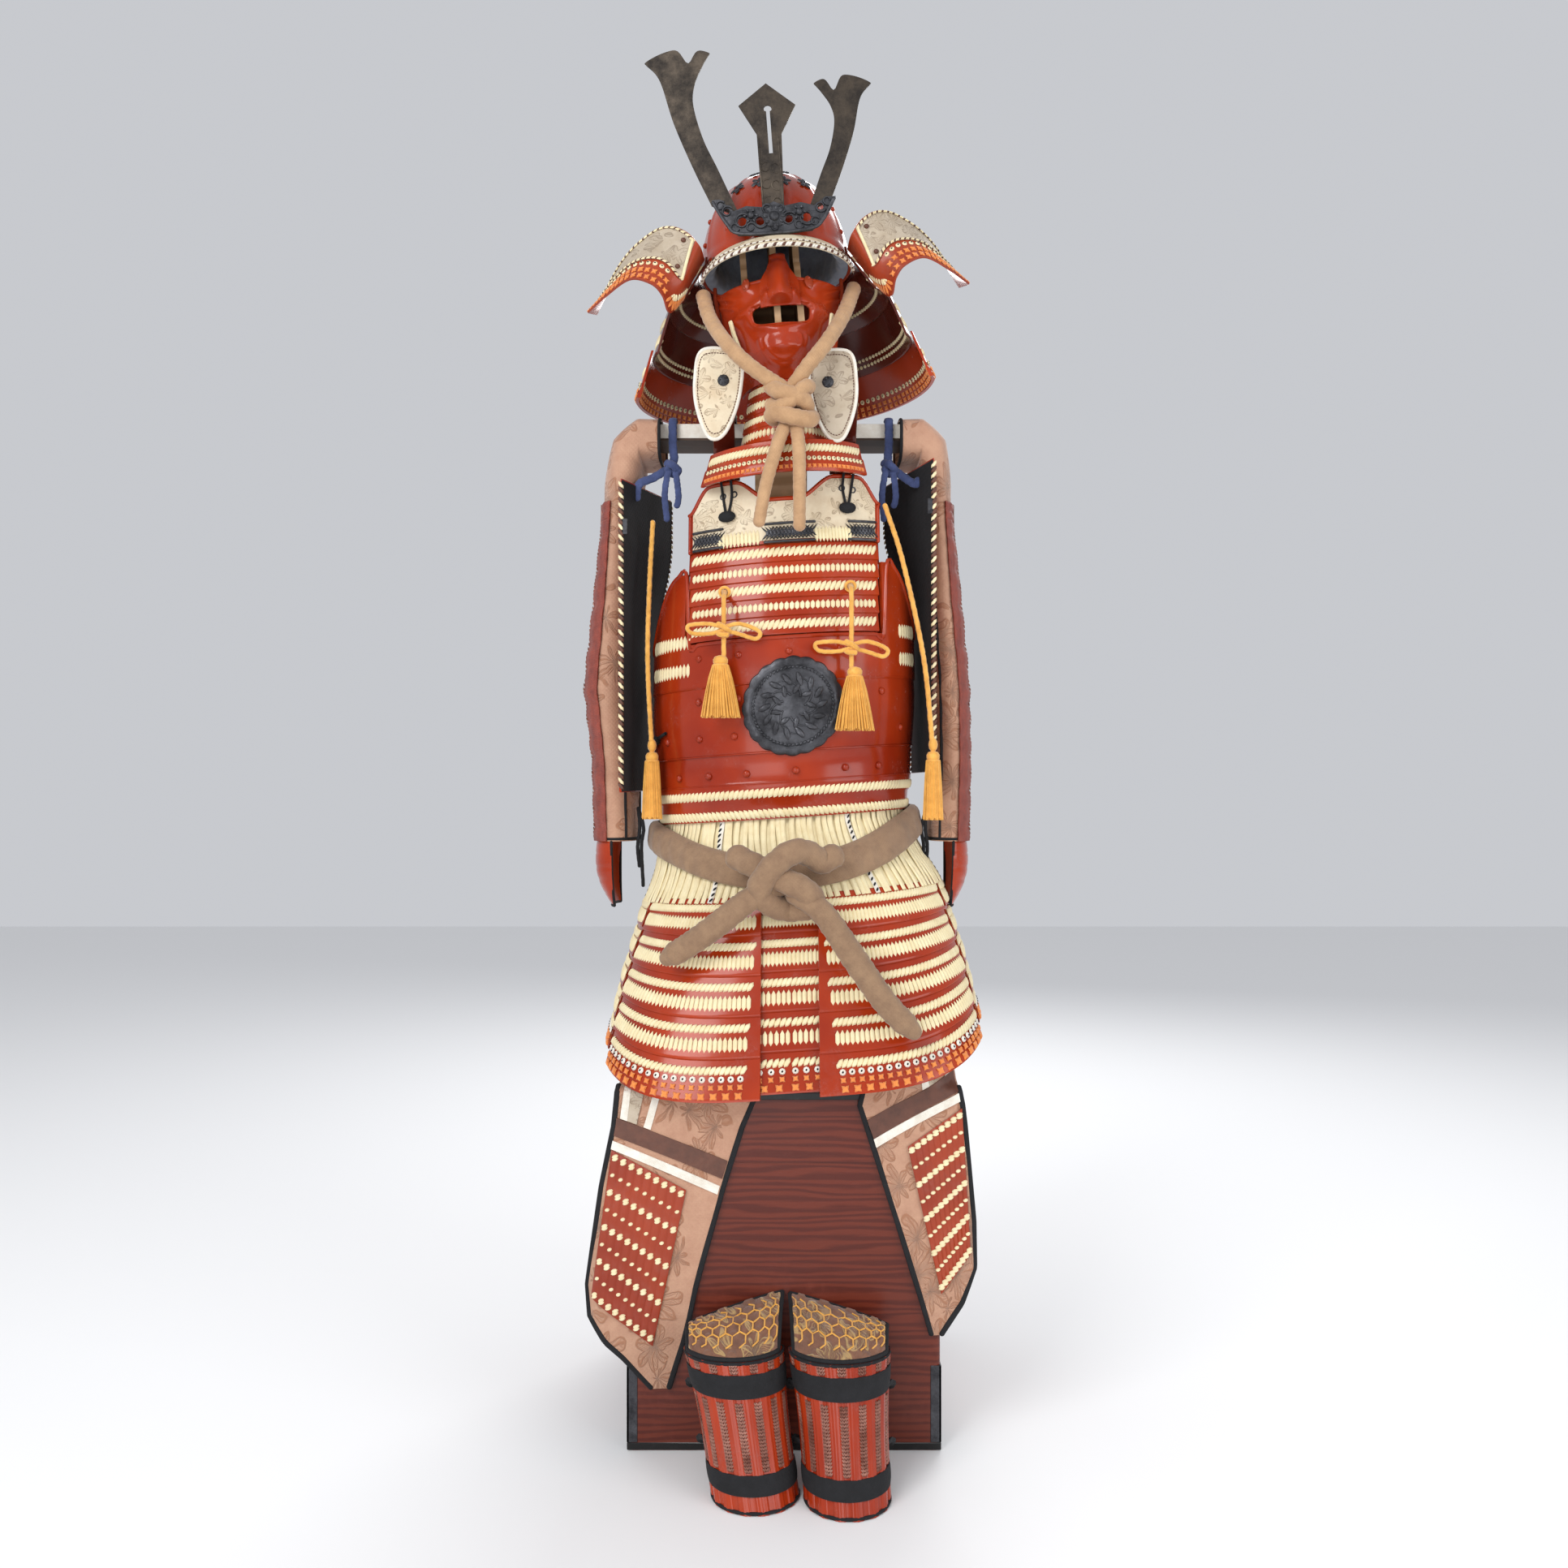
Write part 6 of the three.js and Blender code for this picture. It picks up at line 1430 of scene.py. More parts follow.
def dressMask():
    spread = math.radians(maskShape["spread"])
    side = np.linspace(-1, 1, 49)[:-1]
    edge = np.concatenate([np.c_[side, -1 + 0 * side], np.c_[1 + 0 * side, side],
        np.c_[-side, 1 + 0 * side], np.c_[-1 + 0 * side, -side]])
    outerT = edge[:, 0] * spread
    top = maskTop(outerT)
    mouthZ = maskShape["mouthZ"]
    reach = np.where(edge[:, 1] > 0, top - mouthZ, mouthZ - maskShape["bottom"])
    outerZ = mouthZ + edge[:, 1] * reach
    angle = np.arctan2(edge[:, 1], edge[:, 0])
    a, b = maskShape["mouth"]
    scallop = 1 - 0.10 * (np.sin(angle) > 0.1) * np.abs(np.sin(angle * 9)) ** 0.5
    square = lambda value: np.sign(value) * np.abs(value) ** 0.55
    innerT = np.arcsin(a * square(np.cos(angle)) / 79)
    innerZ = mouthZ + b * square(np.sin(angle)) * scallop
    share = (np.linspace(0, 1, 35) ** 1.25)[:, None]
    t = innerT + (outerT - innerT) * share
    z = innerZ + (outerZ - innerZ) * share
    relief = maskRelief(t, z) * ease(share, 0, 0.06) * (1 - ease(share, 0.97, 1))
    shell, fittings, ties = batches(3)
    addWall(shell, maskPoint(t, z, relief), maskPoint(t, z, -2.5 + 0 * relief), True)
    brow = np.linspace(-spread, spread, 90) * 0.99
    rim = maskPoint(brow, maskTop(brow), np.full(90, 0.0))
    tube(shell, rim, 2.4, 8)
    shell.piece("mask_face", "red", replaces=("mask",))
    zs = np.linspace(1466, 1396, 50)[:, None]
    xs = np.linspace(-25, 25, 47)[None] * (1 - 0.6 * ease(zs, 1424, 1462))
    length = ease(zs, 1397, 1404) * (1 - 0.72 * ease(zs, 1404, 1486))
    wings = 13 * np.exp(-((np.abs(xs) - 17) / 6) ** 2 - ((zs - 1409) / 9) ** 2)
    bridge = 2.2 * np.exp(-((zs - 1462) / 3) ** 2) + 1.6 * np.exp(-((zs - 1452) / 3) ** 2)
    rise = (27 * np.maximum(0, 1 - (xs / 15) ** 2) * length + wings + bridge * np.exp(-(xs / 16) ** 2))
    nose = Batch()
    seat = lambda out: maskPoint(np.arcsin(xs / (look(maskTable, "half", zs) + out)), zs + 0 * xs, out)
    addWall(nose, seat(6.3 + rise), seat(3.9 + 0 * rise))
    nose.piece("mask_nose_piece", "red", replaces=("mask_nose",))
    for x, z in ((-41, 1433), (37, 1430)):
        point, _, up, normal = onSurface(maskPoint, [math.asin(x / 84)], [z], 3.2)
        stamp(fittings, pebble, point, up, normal, (9, 6.5, 2.2))
        for k in (-5, 5):
            stamp(fittings, dome, point + up * k + normal * 1.4, up, normal, (2, 2, 1.6))
    for sign in (-1, 1):
        post = maskPoint(np.full(6, sign * 1.22), np.linspace(1450, 1392, 6), np.full(6, 3.5))
        cord(fittings, post, 16, 2.6, 8)
        for k in (-0.012, 0.012):
            tie = maskPoint(np.array([0.86 + k, 0.84 + k, 0.86 + k]) * sign,
                np.array([1392.0, 1372, 1352]), np.array([7.0, 8.5, 7.0]))
            cord(ties, tie, 14, 2.1, 8, wrinkle=0.05)
    fittings.piece("mask_hinges", "redDull", "red_lacquer")
    ties.piece("mask_ties", "cream")


# Throat guard: laced lames under the chin on a wide lowest one
throatTable = {"z": [1186, 1227, 1232, 1309.6], "half": [124, 112, 66, 54],
               "depth": [124, 116, 101, 90]}


def throatPoint(turn, z, out):
    return toHead(place((look(throatTable, "half", z) + out) * np.sin(turn) - 0.097 * (1309.6 - z),
        maskShape["y"] - (look(throatTable, "depth", z) + out) * np.cos(turn), z))


def dressThroat():
    rows = np.concatenate([lameProfile(1309.6, 1232.4, 4, 2),
        [(1227, 0), (1208, 0), (1206, 1.4), (1188, 2), (1186, 1.2)]])
    shell, cream, orange, dots = batches(4)
    addShell(shell, throatPoint, everyTurn(-58, 58, 60), rows, 3)
    shell.piece("throat_lames", "red", replaces=("throat_guard",))
    ends = (-0.96, 0.96)
    for i in range(4):
        head = 1309.6 - i * 19.3
        strokeRow(cream, throatPoint, ends, head - 8.5, 24, 12, 6.0, 2.4, 0.6 if i % 2 == 0 else 0.05,
            1.4)
    strokeRow(cream, throatPoint, ends, 1216, 42, 14, 6.0, 2.4, 0.6, 0.4)
    strokeRow(cream, throatPoint, ends, 1202, 34, 6, 6, 1.8, 0, 2.0, shape=pebble)
    strokeRow(dots, throatPoint, ends, 1202, 34, 3, 2.2, 2.6, 0.5, 2.0)
    crossRow(orange, throatPoint, ends, 1192, 34, 8, 2.4, 1.8)
    cream.piece("throat_lacing", "cream")
    orange.piece("throat_crosses", "orange")
    dots.piece("throat_dots", "blackCloth")


# Helmet cord: a padded cord from the helmet's rim to the chin, knotted, with two tails
def dressHelmetCord():
    batch = Batch()
    strands = [[(-104, -66, 1428), (-94, -94, 1390), (-72, -130, 1348), (-40, -142, 1314),
        (0, -140, 1288)], [(90, -60, 1440), (76, -94, 1396), (54, -130, 1350), (28, -142, 1314),
        (8, -140, 1286)]]
    tails = [[(2, -140, 1244), (-8, -153, 1216), (-22, -151, 1168), (-31, -146, 1121)],
        [(14, -140, 1244), (18, -153, 1216), (19, -151, 1168), (19, -146, 1116)]]
    for route in strands:
        cord(batch, route, 90, 9.5, 14, wrinkle=0.035)
    for route in tails:
        cord(batch, route, 70, np.linspace(8.5, 7.6, 70), 14, wrinkle=0.03)
    knot = [(-16, -136, 1292), (-6, -150, 1282), (12, -154, 1276), (26, -146, 1270), (24, -130, 1262),
        (2, -124, 1258), (-14, -134, 1254), (-10, -150, 1256), (8, -156, 1250), (30, -148, 1248),
        (34, -134, 1254)]
    cord(batch, knot, 90, 10.5, 14, wrinkle=0.035)
    loop = [(18, -132, 1284), (30, -140, 1290), (24, -152, 1286), (6, -154, 1268), (-10, -150, 1262),
        (-16, -138, 1268)]
    cord(batch, loop, 60, 9.0, 14, wrinkle=0.035)
    made = batch.piece("helmet_cord_padded", "tan", replaces=("helmet_cord",), crease=80)


# Leaf guards: printed leather with a white rim, a stitched line and one dark stud
leafOutline = [(-14, -56), (6, -52), (24, -10), (29, 40), (18, 54), (-22, 54), (-31, 20),
               (-29, -18)]


def dressLeafGuards():
    # The right guard's grey leather is painted shade: a darker copy of the left guard's cream leather
    for side, x, z, turn, paint in (("left", -81, 1291, 1, "leather"),
            ("right", 60, 1289, -1, "greyLeatherAndShade")):
        outline = smoothPath([(a, 0, b) for a, b in leafOutline], 72, True)
        rings = lambda scales, depth: np.stack([place(x + turn * outline[:, 0] * k,
            -108.7 - np.abs(outline[:, 0] * k) / 30 - d, z + outline[:, 2] * k) for k,
            d in zip(scales, depth)])
        plate, rim, stitches, stud = batches(4)
        scales = [0.985, 0.94, 0.8, 0.6, 0.35, 0.1, 0.004]
        addWall(plate, rings(scales, [2.4, 2.9, 3.3, 3.7, 4.0, 4.2, 4.2]), rings(scales, [0.2] * 7), True)
        plate.piece(f"leaf_guard_{side}_leather", paint, "printed_leather",
            replaces=(f"leaf_guard_{side}",))
        tube(rim, rings([0.985], [1.4])[0], 2.3, 8, closed=True)
        seam = rings([0.87], [3.4])[0]
        ahead = unit(np.roll(seam, -1, 0) - seam)
        stamp(stitches, pillow, seam, ahead, forward(seam),
            (1.6, 0.7, 0.6))
        stamp(stud, dome, [[x + turn * 5, -113.0, z + 15]], [[1, 0, 0]], [[0, -1, 0]], (7.5, 7.5, 2.6))
        for k in range(6):
            a = k * math.pi / 3
            petal = [[x + turn * 5 + 5 * math.cos(a), -115.2, z + 15 + 5 * math.sin(a)]]
            stamp(stud, pebble, petal, [[math.cos(a), 0, math.sin(a)]], [[0, -1, 0]], (2.4, 1.4, 1.0))
        rim.piece(f"leaf_guard_{side}_rim", "white", "printed_leather")
        stitches.piece(f"leaf_guard_{side}_stitches", "brownLeather")
        stud.piece(f"leaf_guard_{side}_stud", "iron")


# Tassels of golden silk: a turned head on a bound neck, and a sheaf of strands
def tasselSheaf(batch, x, y, top, bottom, radius, flare):
    profile = [(0.25, 0), (0.75, -1.5), (1.0, -5), (0.98, -9), (0.8, -12), (0.86, -14), (1.0, -16)]
    turn = fullTurn(24)
    rings = np.stack([place(x + radius * k * np.cos(turn), y + radius * k * np.sin(turn), top + h) for k,
        h in profile])
    inner = np.stack([place(x + (radius * k - 0.8) * 0.9 * np.cos(turn),
        y + (radius * k - 0.8) * 0.9 * np.sin(turn), top + h - 1) for k, h in profile])
    addWall(batch, rings, inner, True)
    ring = place(x + radius * 0.92 * np.cos(turn), y + radius * 0.92 * np.sin(turn), top - 12)
    tube(batch, ring, 1.4, 6, closed=True)
    golden = math.pi * (3 - math.sqrt(5))
    for i in range(150):
        reach = radius * math.sqrt((i + 0.5) / 150)
        angle = i * golden
        end = bottom + 3 * math.sin(5 * angle) ** 2
        h = np.linspace(0, 1, 5)
        swing = 1 + flare * h ** 0.8
        path = place(x + reach * swing * np.cos(angle + 0.1 * h), y + reach * np.sin(angle + 0.1 * h),
            top - 12 + (end - top + 12) * h)
        tube(batch, path, 1.05, 4, ends=False)


def dressTassels():
    for side, x, ring, bow, top, end, sign in (("left", -75, 1042, 994, 960, 882, -1),
            ("right", 84, 1050, 972, 946, 866, 1)):
        batch, y = Batch(), -125
        seat = torso(np.arcsin(x / look(torsoTable, "half", ring)), ring - rowRise * x, 3.5)[1]
        turn = fullTurn(20)
        tube(batch, place(x + 6 * np.cos(turn), seat - 4.2, ring + 6 * np.sin(turn)), 2.0, 8, closed=True)
        hang = [(x, seat - 4, ring), (x, y - 1, ring - 14), (x, y, bow), (x, y, top - 4)]
        cord(batch, hang, 40, 3.0, 8, wrinkle=0.06)
        for way, drop in ((-1, 3), (1, -4)):
            loop = [(x, y - 3, bow + 1), (x + way * 20, y - 4, bow + 5),
                (x + way * 44, y - 1, bow + drop), (x + way * 40, y + 1, bow + drop - 9),
                (x + way * 18, y - 1, bow - 7), (x, y - 4, bow - 3)]
            cord(batch, loop, 60, 2.7, 8, wrinkle=0.06)
        wrap = [(x - 7, y - 4, bow + 5), (x, y - 8, bow + 1), (x + 7, y - 4, bow - 4),
            (x + 3, y + 4, bow - 2), (x - 6, y + 2, bow - 4), (x - 5, y - 6, bow - 8),
            (x + 5, y - 6, bow - 9)]
        cord(batch, wrap, 50, 3.4, 8, wrinkle=0.05)
        tasselSheaf(batch, x + sign * 4, y - 1, top, end, 9.5, 1.6)
        batch.piece(f"front_tassel_{side}_silk", "gold", "gold_cord", replaces=(f"front_tassel_{side}",))
    for side, route in (("left", [(-172, -32, 1144), (-176, -36, 1060), (-178, -40, 960),
            (-172, -44, 842)]), ("right", [(130, -62, 1160), (152, -76, 1085), (178, -84, 960),
            (190, -84, 842)])):
        batch = Batch()
        cord(batch, route, 130, 3.2, 8, wrinkle=0.07)
        x, y, z = route[-1]
        stamp(batch, dome, [[x, y, z + 8]], [[0, 0, 1]], [[0, -1, 0]], (9, 6, 6))
        tasselSheaf(batch, x, y, z, z - 88, 8.5, 0.5)
        batch.piece(f"side_tassel_{side}_silk", "gold", "gold_cord", replaces=(f"side_tassel_{side}",))


# Shoulder guards hang edge on: red lames outside, black cloth inside, laced front edge
guard = {"front": 208, "rear": 157, "lowRear": 178, "y": -62, "depth": 160, "top": 1208,
         "bottom": 803}


def dressShoulderGuards():
    for side, sign, inset in (("left", -1, 0), ("right", 1, 17)):
        length = math.hypot(guard["front"] - guard["rear"], guard["depth"])
        lean = (guard["front"] - guard["rear"]) / length

        def sheet(u, z, out, sign=sign, inset=inset, length=length, lean=lean):
            rear = guard["lowRear"] + (guard["rear"] - inset - guard["lowRear"]) * ease(z, 1000, 1150)
            x = sign * ((guard["front"] - inset) * (1 - u) + rear * u + out * guard["depth"] / length)
            return place(x, guard["y"] + guard["depth"] * u + out * lean, z + rowRise * x)
        us = np.linspace(0, 1, 26)
        rows = lameProfile(guard["top"], guard["bottom"], 6, 2)
        rows[:, 1] += 3
        shell, lining, cream, brown, tie, corner = batches(6)
        z, out = rows[:, :1], rows[:, 1:]
        addWall(shell, sheet(us[None], z, out), sheet(us[None], z, 1.6 + 0 * out))
        shell.piece(f"shoulder_guard_{side}_lames", "red", replaces=(f"shoulder_guard_{side}",))
        levels = np.linspace(guard["top"] - 2, guard["bottom"] + 1, 70)[:, None]
        across = np.linspace(-0.004, 1.0, 24)[None]
        ripple = 0.35 * np.sin(levels / 19 + 3 * np.sin(across * 5)) * np.ones_like(across)
        addWall(lining, sheet(across, levels, 1.5 + 0 * ripple), sheet(across, levels, 0.5 + ripple))
        made = lining.piece(f"shoulder_guard_{side}_lining", "blackCloth", None, crease=60)
        outside = sheet if sign > 0 else (lambda u, z, out: sheet(1 - u, z, out))
        for i in range(6):
            head = guard["top"] - i * 67.5
            strokeRow(cream, outside, (0.03, 0.97), head - 14, 26, 13, 5.2, 2.2, 0.95, 3.8)
            strokeRow(cream, outside, (0.03, 0.97), head - 36, 26, 22, 4.6, 2.0, 0.04, 4.8)
        # Zigzag lacing along the front and rear edges
        steps = np.linspace(guard["top"] - 8, guard["bottom"] + 8, 58)
        for u in (0.0, 1.0):
            point = sheet(np.full(58, u), steps, np.full(58, 2.6))
            for batch, half in ((cream, 0), (brown, 1)):
                at = point[half::2]
                way = unit(np.array([0.55 * sign, 0.0, 0.8]))[None].repeat(len(at), 0)
                normal = np.broadcast_to([0.0, -1.0 if u == 0 else 1.0, 0.0], at.shape)
                stamp(batch, pillow, at, way, normal, (6.2, 2.4, 2.6))
        x = sign * (148 - inset / 2)
        meet = sheet(np.array(0.27), np.array(guard["top"] - 18.0), np.array(1.0))
        route = [(x, 14, boardTop + 4.9), (x, 3, boardTop + 6.3), (x, -6.6, boardTop - 1),
            (x, -5.4, 1251), (x, -6, 1226), ((x + meet[0]) / 2, -11, 1207),
            (meet[0] - sign * 4, meet[1], 1196), tuple(meet)]
        cord(tie, route, 80, 5.6, 12, flat=0.4, wrinkle=0.05)
        for dx, foot in ((-7, 1150), (6, 1168)):
            tail = [(x + dx * 0.4, -8, 1222), (x + dx, -17, 1204), (x + dx * 1.4, -15, 1180),
                (x + dx, -12, foot)]
            cord(tie, tail, 40, 4.2, 10, flat=0.35, wrinkle=0.05)
        knot = [(x - 8, -10, 1226), (x, -17, 1222), (x + 8, -12, 1215), (x, -8, 1212), (x - 7, -13, 1218)]
        cord(tie, knot, 40, 5.2, 10, flat=0.6, wrinkle=0.05)
        tie.piece(f"shoulder_tie_{side}", "blue", None, crease=80)
        slab(corner, tuple(sheet(np.array(0.0), np.array(1136.0), np.array(0.3))
            - np.array([6 if sign > 0 else -0.2, 1.6, 0])),
            tuple(sheet(np.array(0.0), np.array(1136.0), np.array(0.3))
            + np.array([0.2 if sign > 0 else 6, 0.9, 20])), 0.4)
        corner.piece(f"shoulder_guard_{side}_corner", "iron")
        cream.piece(f"shoulder_guard_{side}_lacing", "cream")
        brown.piece(f"shoulder_guard_{side}_edging", "brownLeather")


# Sleeves: brocade tubes from the board's ends; reach is the distance from its middle
sleeveTable = {
    "left": {"reach": [158, 187, 204, 213, 217, 222, 230, 222, 220],
             "z": [1258.6, 1258.6, 1240, 1196, 1148, 1049, 930, 830, 724],
             "tilt": [90, 86, 44, 10, 2, 2, 0, 0, 0],
             "half": [28, 28.5, 28, 24, 22, 27, 32, 30, 28],
             "depth": [62, 64, 64, 63, 62, 64, 66, 62, 52],
             "square": [4, 4, 3, 2.2, 2, 2, 2, 2, 2]},
    "right": {"reach": [158, 187, 202, 208, 211, 217, 226, 228, 226],
              "z": [1258.6, 1258.6, 1240, 1196, 1148, 1049, 930, 830, 724],
              "tilt": [90, 86, 44, 10, 2, 2, 0, 0, 0],
              "half": [28, 28.5, 28, 22, 20, 24, 26, 27, 26],
              "depth": [62, 64, 64, 63, 62, 64, 66, 62, 52],
              "square": [4, 4, 3, 2.2, 2, 2, 2, 2, 2]},
}


def sleevePoint(side, row, angle, out):
    table = sleeveTable[side]
    steps = np.arange(9)
    at = lambda column: np.interp(row, steps, table[column])
    power = 2 / at("square")
    shape = lambda value: np.sign(value) * np.abs(value) ** power
    across = (at("half") + out) * shape(np.cos(angle))
    tilt = np.radians(at("tilt"))
    sign = -1 if side == "left" else 1
    return place(-5 + sign * (at("reach") + across * np.cos(tilt)),
        36 + (at("depth") + out) * shape(np.sin(angle)), at("z") + across * np.sin(tilt))


def sleevePuff(row, angle):
    coarse = np.stack([np.sin(i * 2.7 + 2 * np.sin(angle)) * (i >= 3) for i in range(9)])
    low = np.clip(np.floor(row).astype(int), 0, 7)
    rows, angles = np.broadcast_arrays(row, angle)
    low = np.broadcast_to(low, rows.shape)
    share = rows - low
    column = np.broadcast_to(np.arange(angles.shape[1])[None], rows.shape)
    table = coarse.reshape(9, -1)
    smooth = table[low, column] * (1 - share) + table[low + 1, column] * share
    # Soft creases that run across the sleeve, deepest at the elbow
    crease = 0.9 * np.sin(rows * 15 + 2.4 * np.sin(angles + rows)) * ease(rows, 3.2, 4.5)
    return smooth + crease * (0.35 + 0.65 * np.exp(-((rows - 6) / 1.2) ** 2))


def dressSleeves():
    for side in ("left", "right"):
        sign = -1 if side == "left" else 1
        angle = fullTurn(64)[None]
        row = np.linspace(0, 8, 110)[:, None]
        puff = sleevePuff(row, angle)
        brocade_, border, plates, mail, hand, cords = batches(6)
        addWall(brocade_, sleevePoint(side, row, angle, puff - 0.4),
            sleevePoint(side, row, angle, puff - 2.4), True)
        made = brocade_.piece(f"sleeve_{side}_brocade", "brocade", replaces=(f"sleeve_{side}",),
            crease=80)
        # Black piping at the wrist, the shoulder and down the seam inside the arm
        for at in (0.06, 7.97):
            ring = sleevePoint(side, at, fullTurn(80)[None], -0.6)[0]
            tube(border, ring, 2.2, 8, closed=True)
        rows_ = np.linspace(3.4, 7.95, 60)
        for a in (math.pi - 0.16, math.pi + 1.0):
            seam = sleevePoint(side, rows_, np.full(60, a), 0.2 + 0 * rows_)
            tube(border, seam, 2.0, 8)
        # Plates and mail down the outside of the arm
        arc = np.linspace(-1.25, 0.78, 33)[None]
        places = np.linspace(3.5, 8, 90)[:, None]
        base = sleevePuff(places, arc)
        bump = 1.4 * (np.abs(((places - 3.5) * 4.4) % 1 - 0.5) < 0.36)
        splint = 0.7 * np.abs(np.cos(arc * 8))
        addWall(plates, sleevePoint(side, places, arc, base + 1.9 + bump + splint),
            sleevePoint(side, places, arc, base + 0.5))
        plates.piece(f"arm_plates_{side}_splints", "mailCloth", "red_lacquer",
            replaces=(f"arm_plates_{side}",))
        for a in np.linspace(-0.92, 0.92, 15):
            rows_ = np.linspace(3.55, 7.95, 88)
            point = sleevePoint(side, rows_, np.full(88, a),
                sleevePuff(rows_[None], np.full((1, 88), a))[0] + (3.3 if abs(a) < 0.78 else 1.0))
            if abs(a) > 0.78 or int(round((a + 0.92) / 0.131)) % 4 == 0:
                ahead = unit(np.gradient(point, axis=0))
                normal = np.broadcast_to(unit(np.array([sign * math.cos(a), math.sin(a), 0.0])),
                    point.shape)
                stamp(mail, pillow, point, unit(ahead + 0.7 * np.cross(normal, ahead)), normal,
                    (3.4, 1.3, 1.2))
        mail.piece(f"arm_mail_{side}", "mail")
        middle = (-5 + sign * sleeveTable[side]["reach"][-1], 36)

        def shell(a, v, out, side=side, middle=middle):
            p = sleevePoint(side, 8, a, out)
            narrow, taper = 1 - 0.75 * v ** 3, 1 - 0.3 * v ** 2
            return place(middle[0] + (p[..., 0] - middle[0]) * narrow,
                middle[1] + (p[..., 1] - middle[1]) * taper, 723.7 - 86 * v)
        fan, v = everyTurn(-84, 84, 60)[None], np.linspace(0, 1, 32)[:, None]
        swell = 3 * np.sin(math.pi * v) + 0.6 * (np.abs((v * 5) % 1 - 0.5) < 0.4)
        addWall(hand, shell(fan, v, swell + 0 * fan),
            shell(fan, v, 3 * np.sin(math.pi * v) - 3 + 0 * fan))
        hand.piece(f"hand_guard_{side}_shell", "red", replaces=(f"hand_guard_{side}",))
        rim = np.concatenate([shell(np.full(20, -1.45), np.linspace(0, 1, 20), 0.5),
            shell(np.linspace(-1.45, 1.45, 20), np.full(20, 1.0), 0.5),
            shell(np.full(20, 1.45), np.linspace(1, 0, 20), 0.5)])
        tube(border, rim, 1.9, 8)
        wrist = middle[0] - sign * 30
        for dx, foot in ((0, 690), (-5 * sign, 664)):
            path = [(wrist, 36 - 30, 768), (wrist - sign * 3 + dx, -4, 742), (wrist + dx, -2, 716),
                (wrist - sign * 2 + dx, 2, foot)]
            cord(cords, path, 40, 2.4, 8, wrinkle=0.05)
        border.piece(f"sleeve_{side}_piping", "blackCloth")
        cords.piece(f"wrist_cords_{side}", "blackCloth")


# Thigh guards: brocade aprons with a black border, leather bands and rows of small plates
thighTable = {
    "left": {"z": [76, 112, 131, 160, 197, 317, 390, 430, 470, 560, 690],
             "inner": [-138, -127, -121, -114, -106, -73, -50, -33, -30, -34, -30],
             "outer": [-158, -192, -214, -234, -237, -219, -204, -200, -200, -176, -112]},
    "right": {"z": [140, 178, 219, 275, 390, 415, 430, 470, 560, 690],
              "inner": [177, 166, 153, 136, 99, 91, 95, 90, 70, 40],
              "outer": [188, 213, 229, 228, 217, 214, 211, 204, 180, 118]},
}
# Bands of each guard: heights at the outer and the inner edge, and depth; the plates' corners;
# and the strips above them, by where each starts and ends across
thighTrim = {
    "left": {"brown": (401, 347, 21), "white": (374, 317, 10),
             "corners": ((-206, 362), (-117, 314), (-232, 184), (-157, 128)),
             "strips": ((-186, -192), (-172, -184), (-148, -164))},
    "right": {"brown": (456, 396, 23), "white": (431, 373, 10),
              "corners": ((213, 412), (148, 366), (224, 238), (188, 190)),
              "strips": ((168, 170), (176, 180), (196, 198))},
}
thighFront = -190.6


def thighY(x, z):
    wrap = 22 * (np.maximum(0, np.abs(x) - 210) / 36) ** 2
    level = np.clip(z - rowRise * x, 440, 752)
    power = 4 + (2 - 4) * ease(level, 440, 700)
    drift = 12 * (1 - ease(level, 660, 752))
    across = (x - drift) / (look(skirtTable, "half", level) - 17.5)
    round_ = (1 - np.minimum(0.97, np.abs(across)) ** power) ** (1 / power)
    under = torsoY - (look(skirtTable, "front", level) - 17.5) * round_
    return thighFront + wrap + (under - thighFront - wrap) * ease(z, 431, 444)


def thighPoint(side, u, z, out):
    x = look(thighTable[side], "inner", z) * (1 - u) + look(thighTable[side], "outer", z) * u
    return place(x, thighY(x, z) - out, z)


def bandLine(side, name):
    # Height of a band's upper edge by x, in rising x
    outer, inner, _ = thighTrim[side][name]
    u = np.linspace(0, 1, 12)
    z = inner + (outer - inner) * u
    line = np.array([look(thighTable[side], "inner", z) * (1 - u) + look(thighTable[side], "outer", z)
        * u, z])
    return line[:, np.argsort(line[0])]


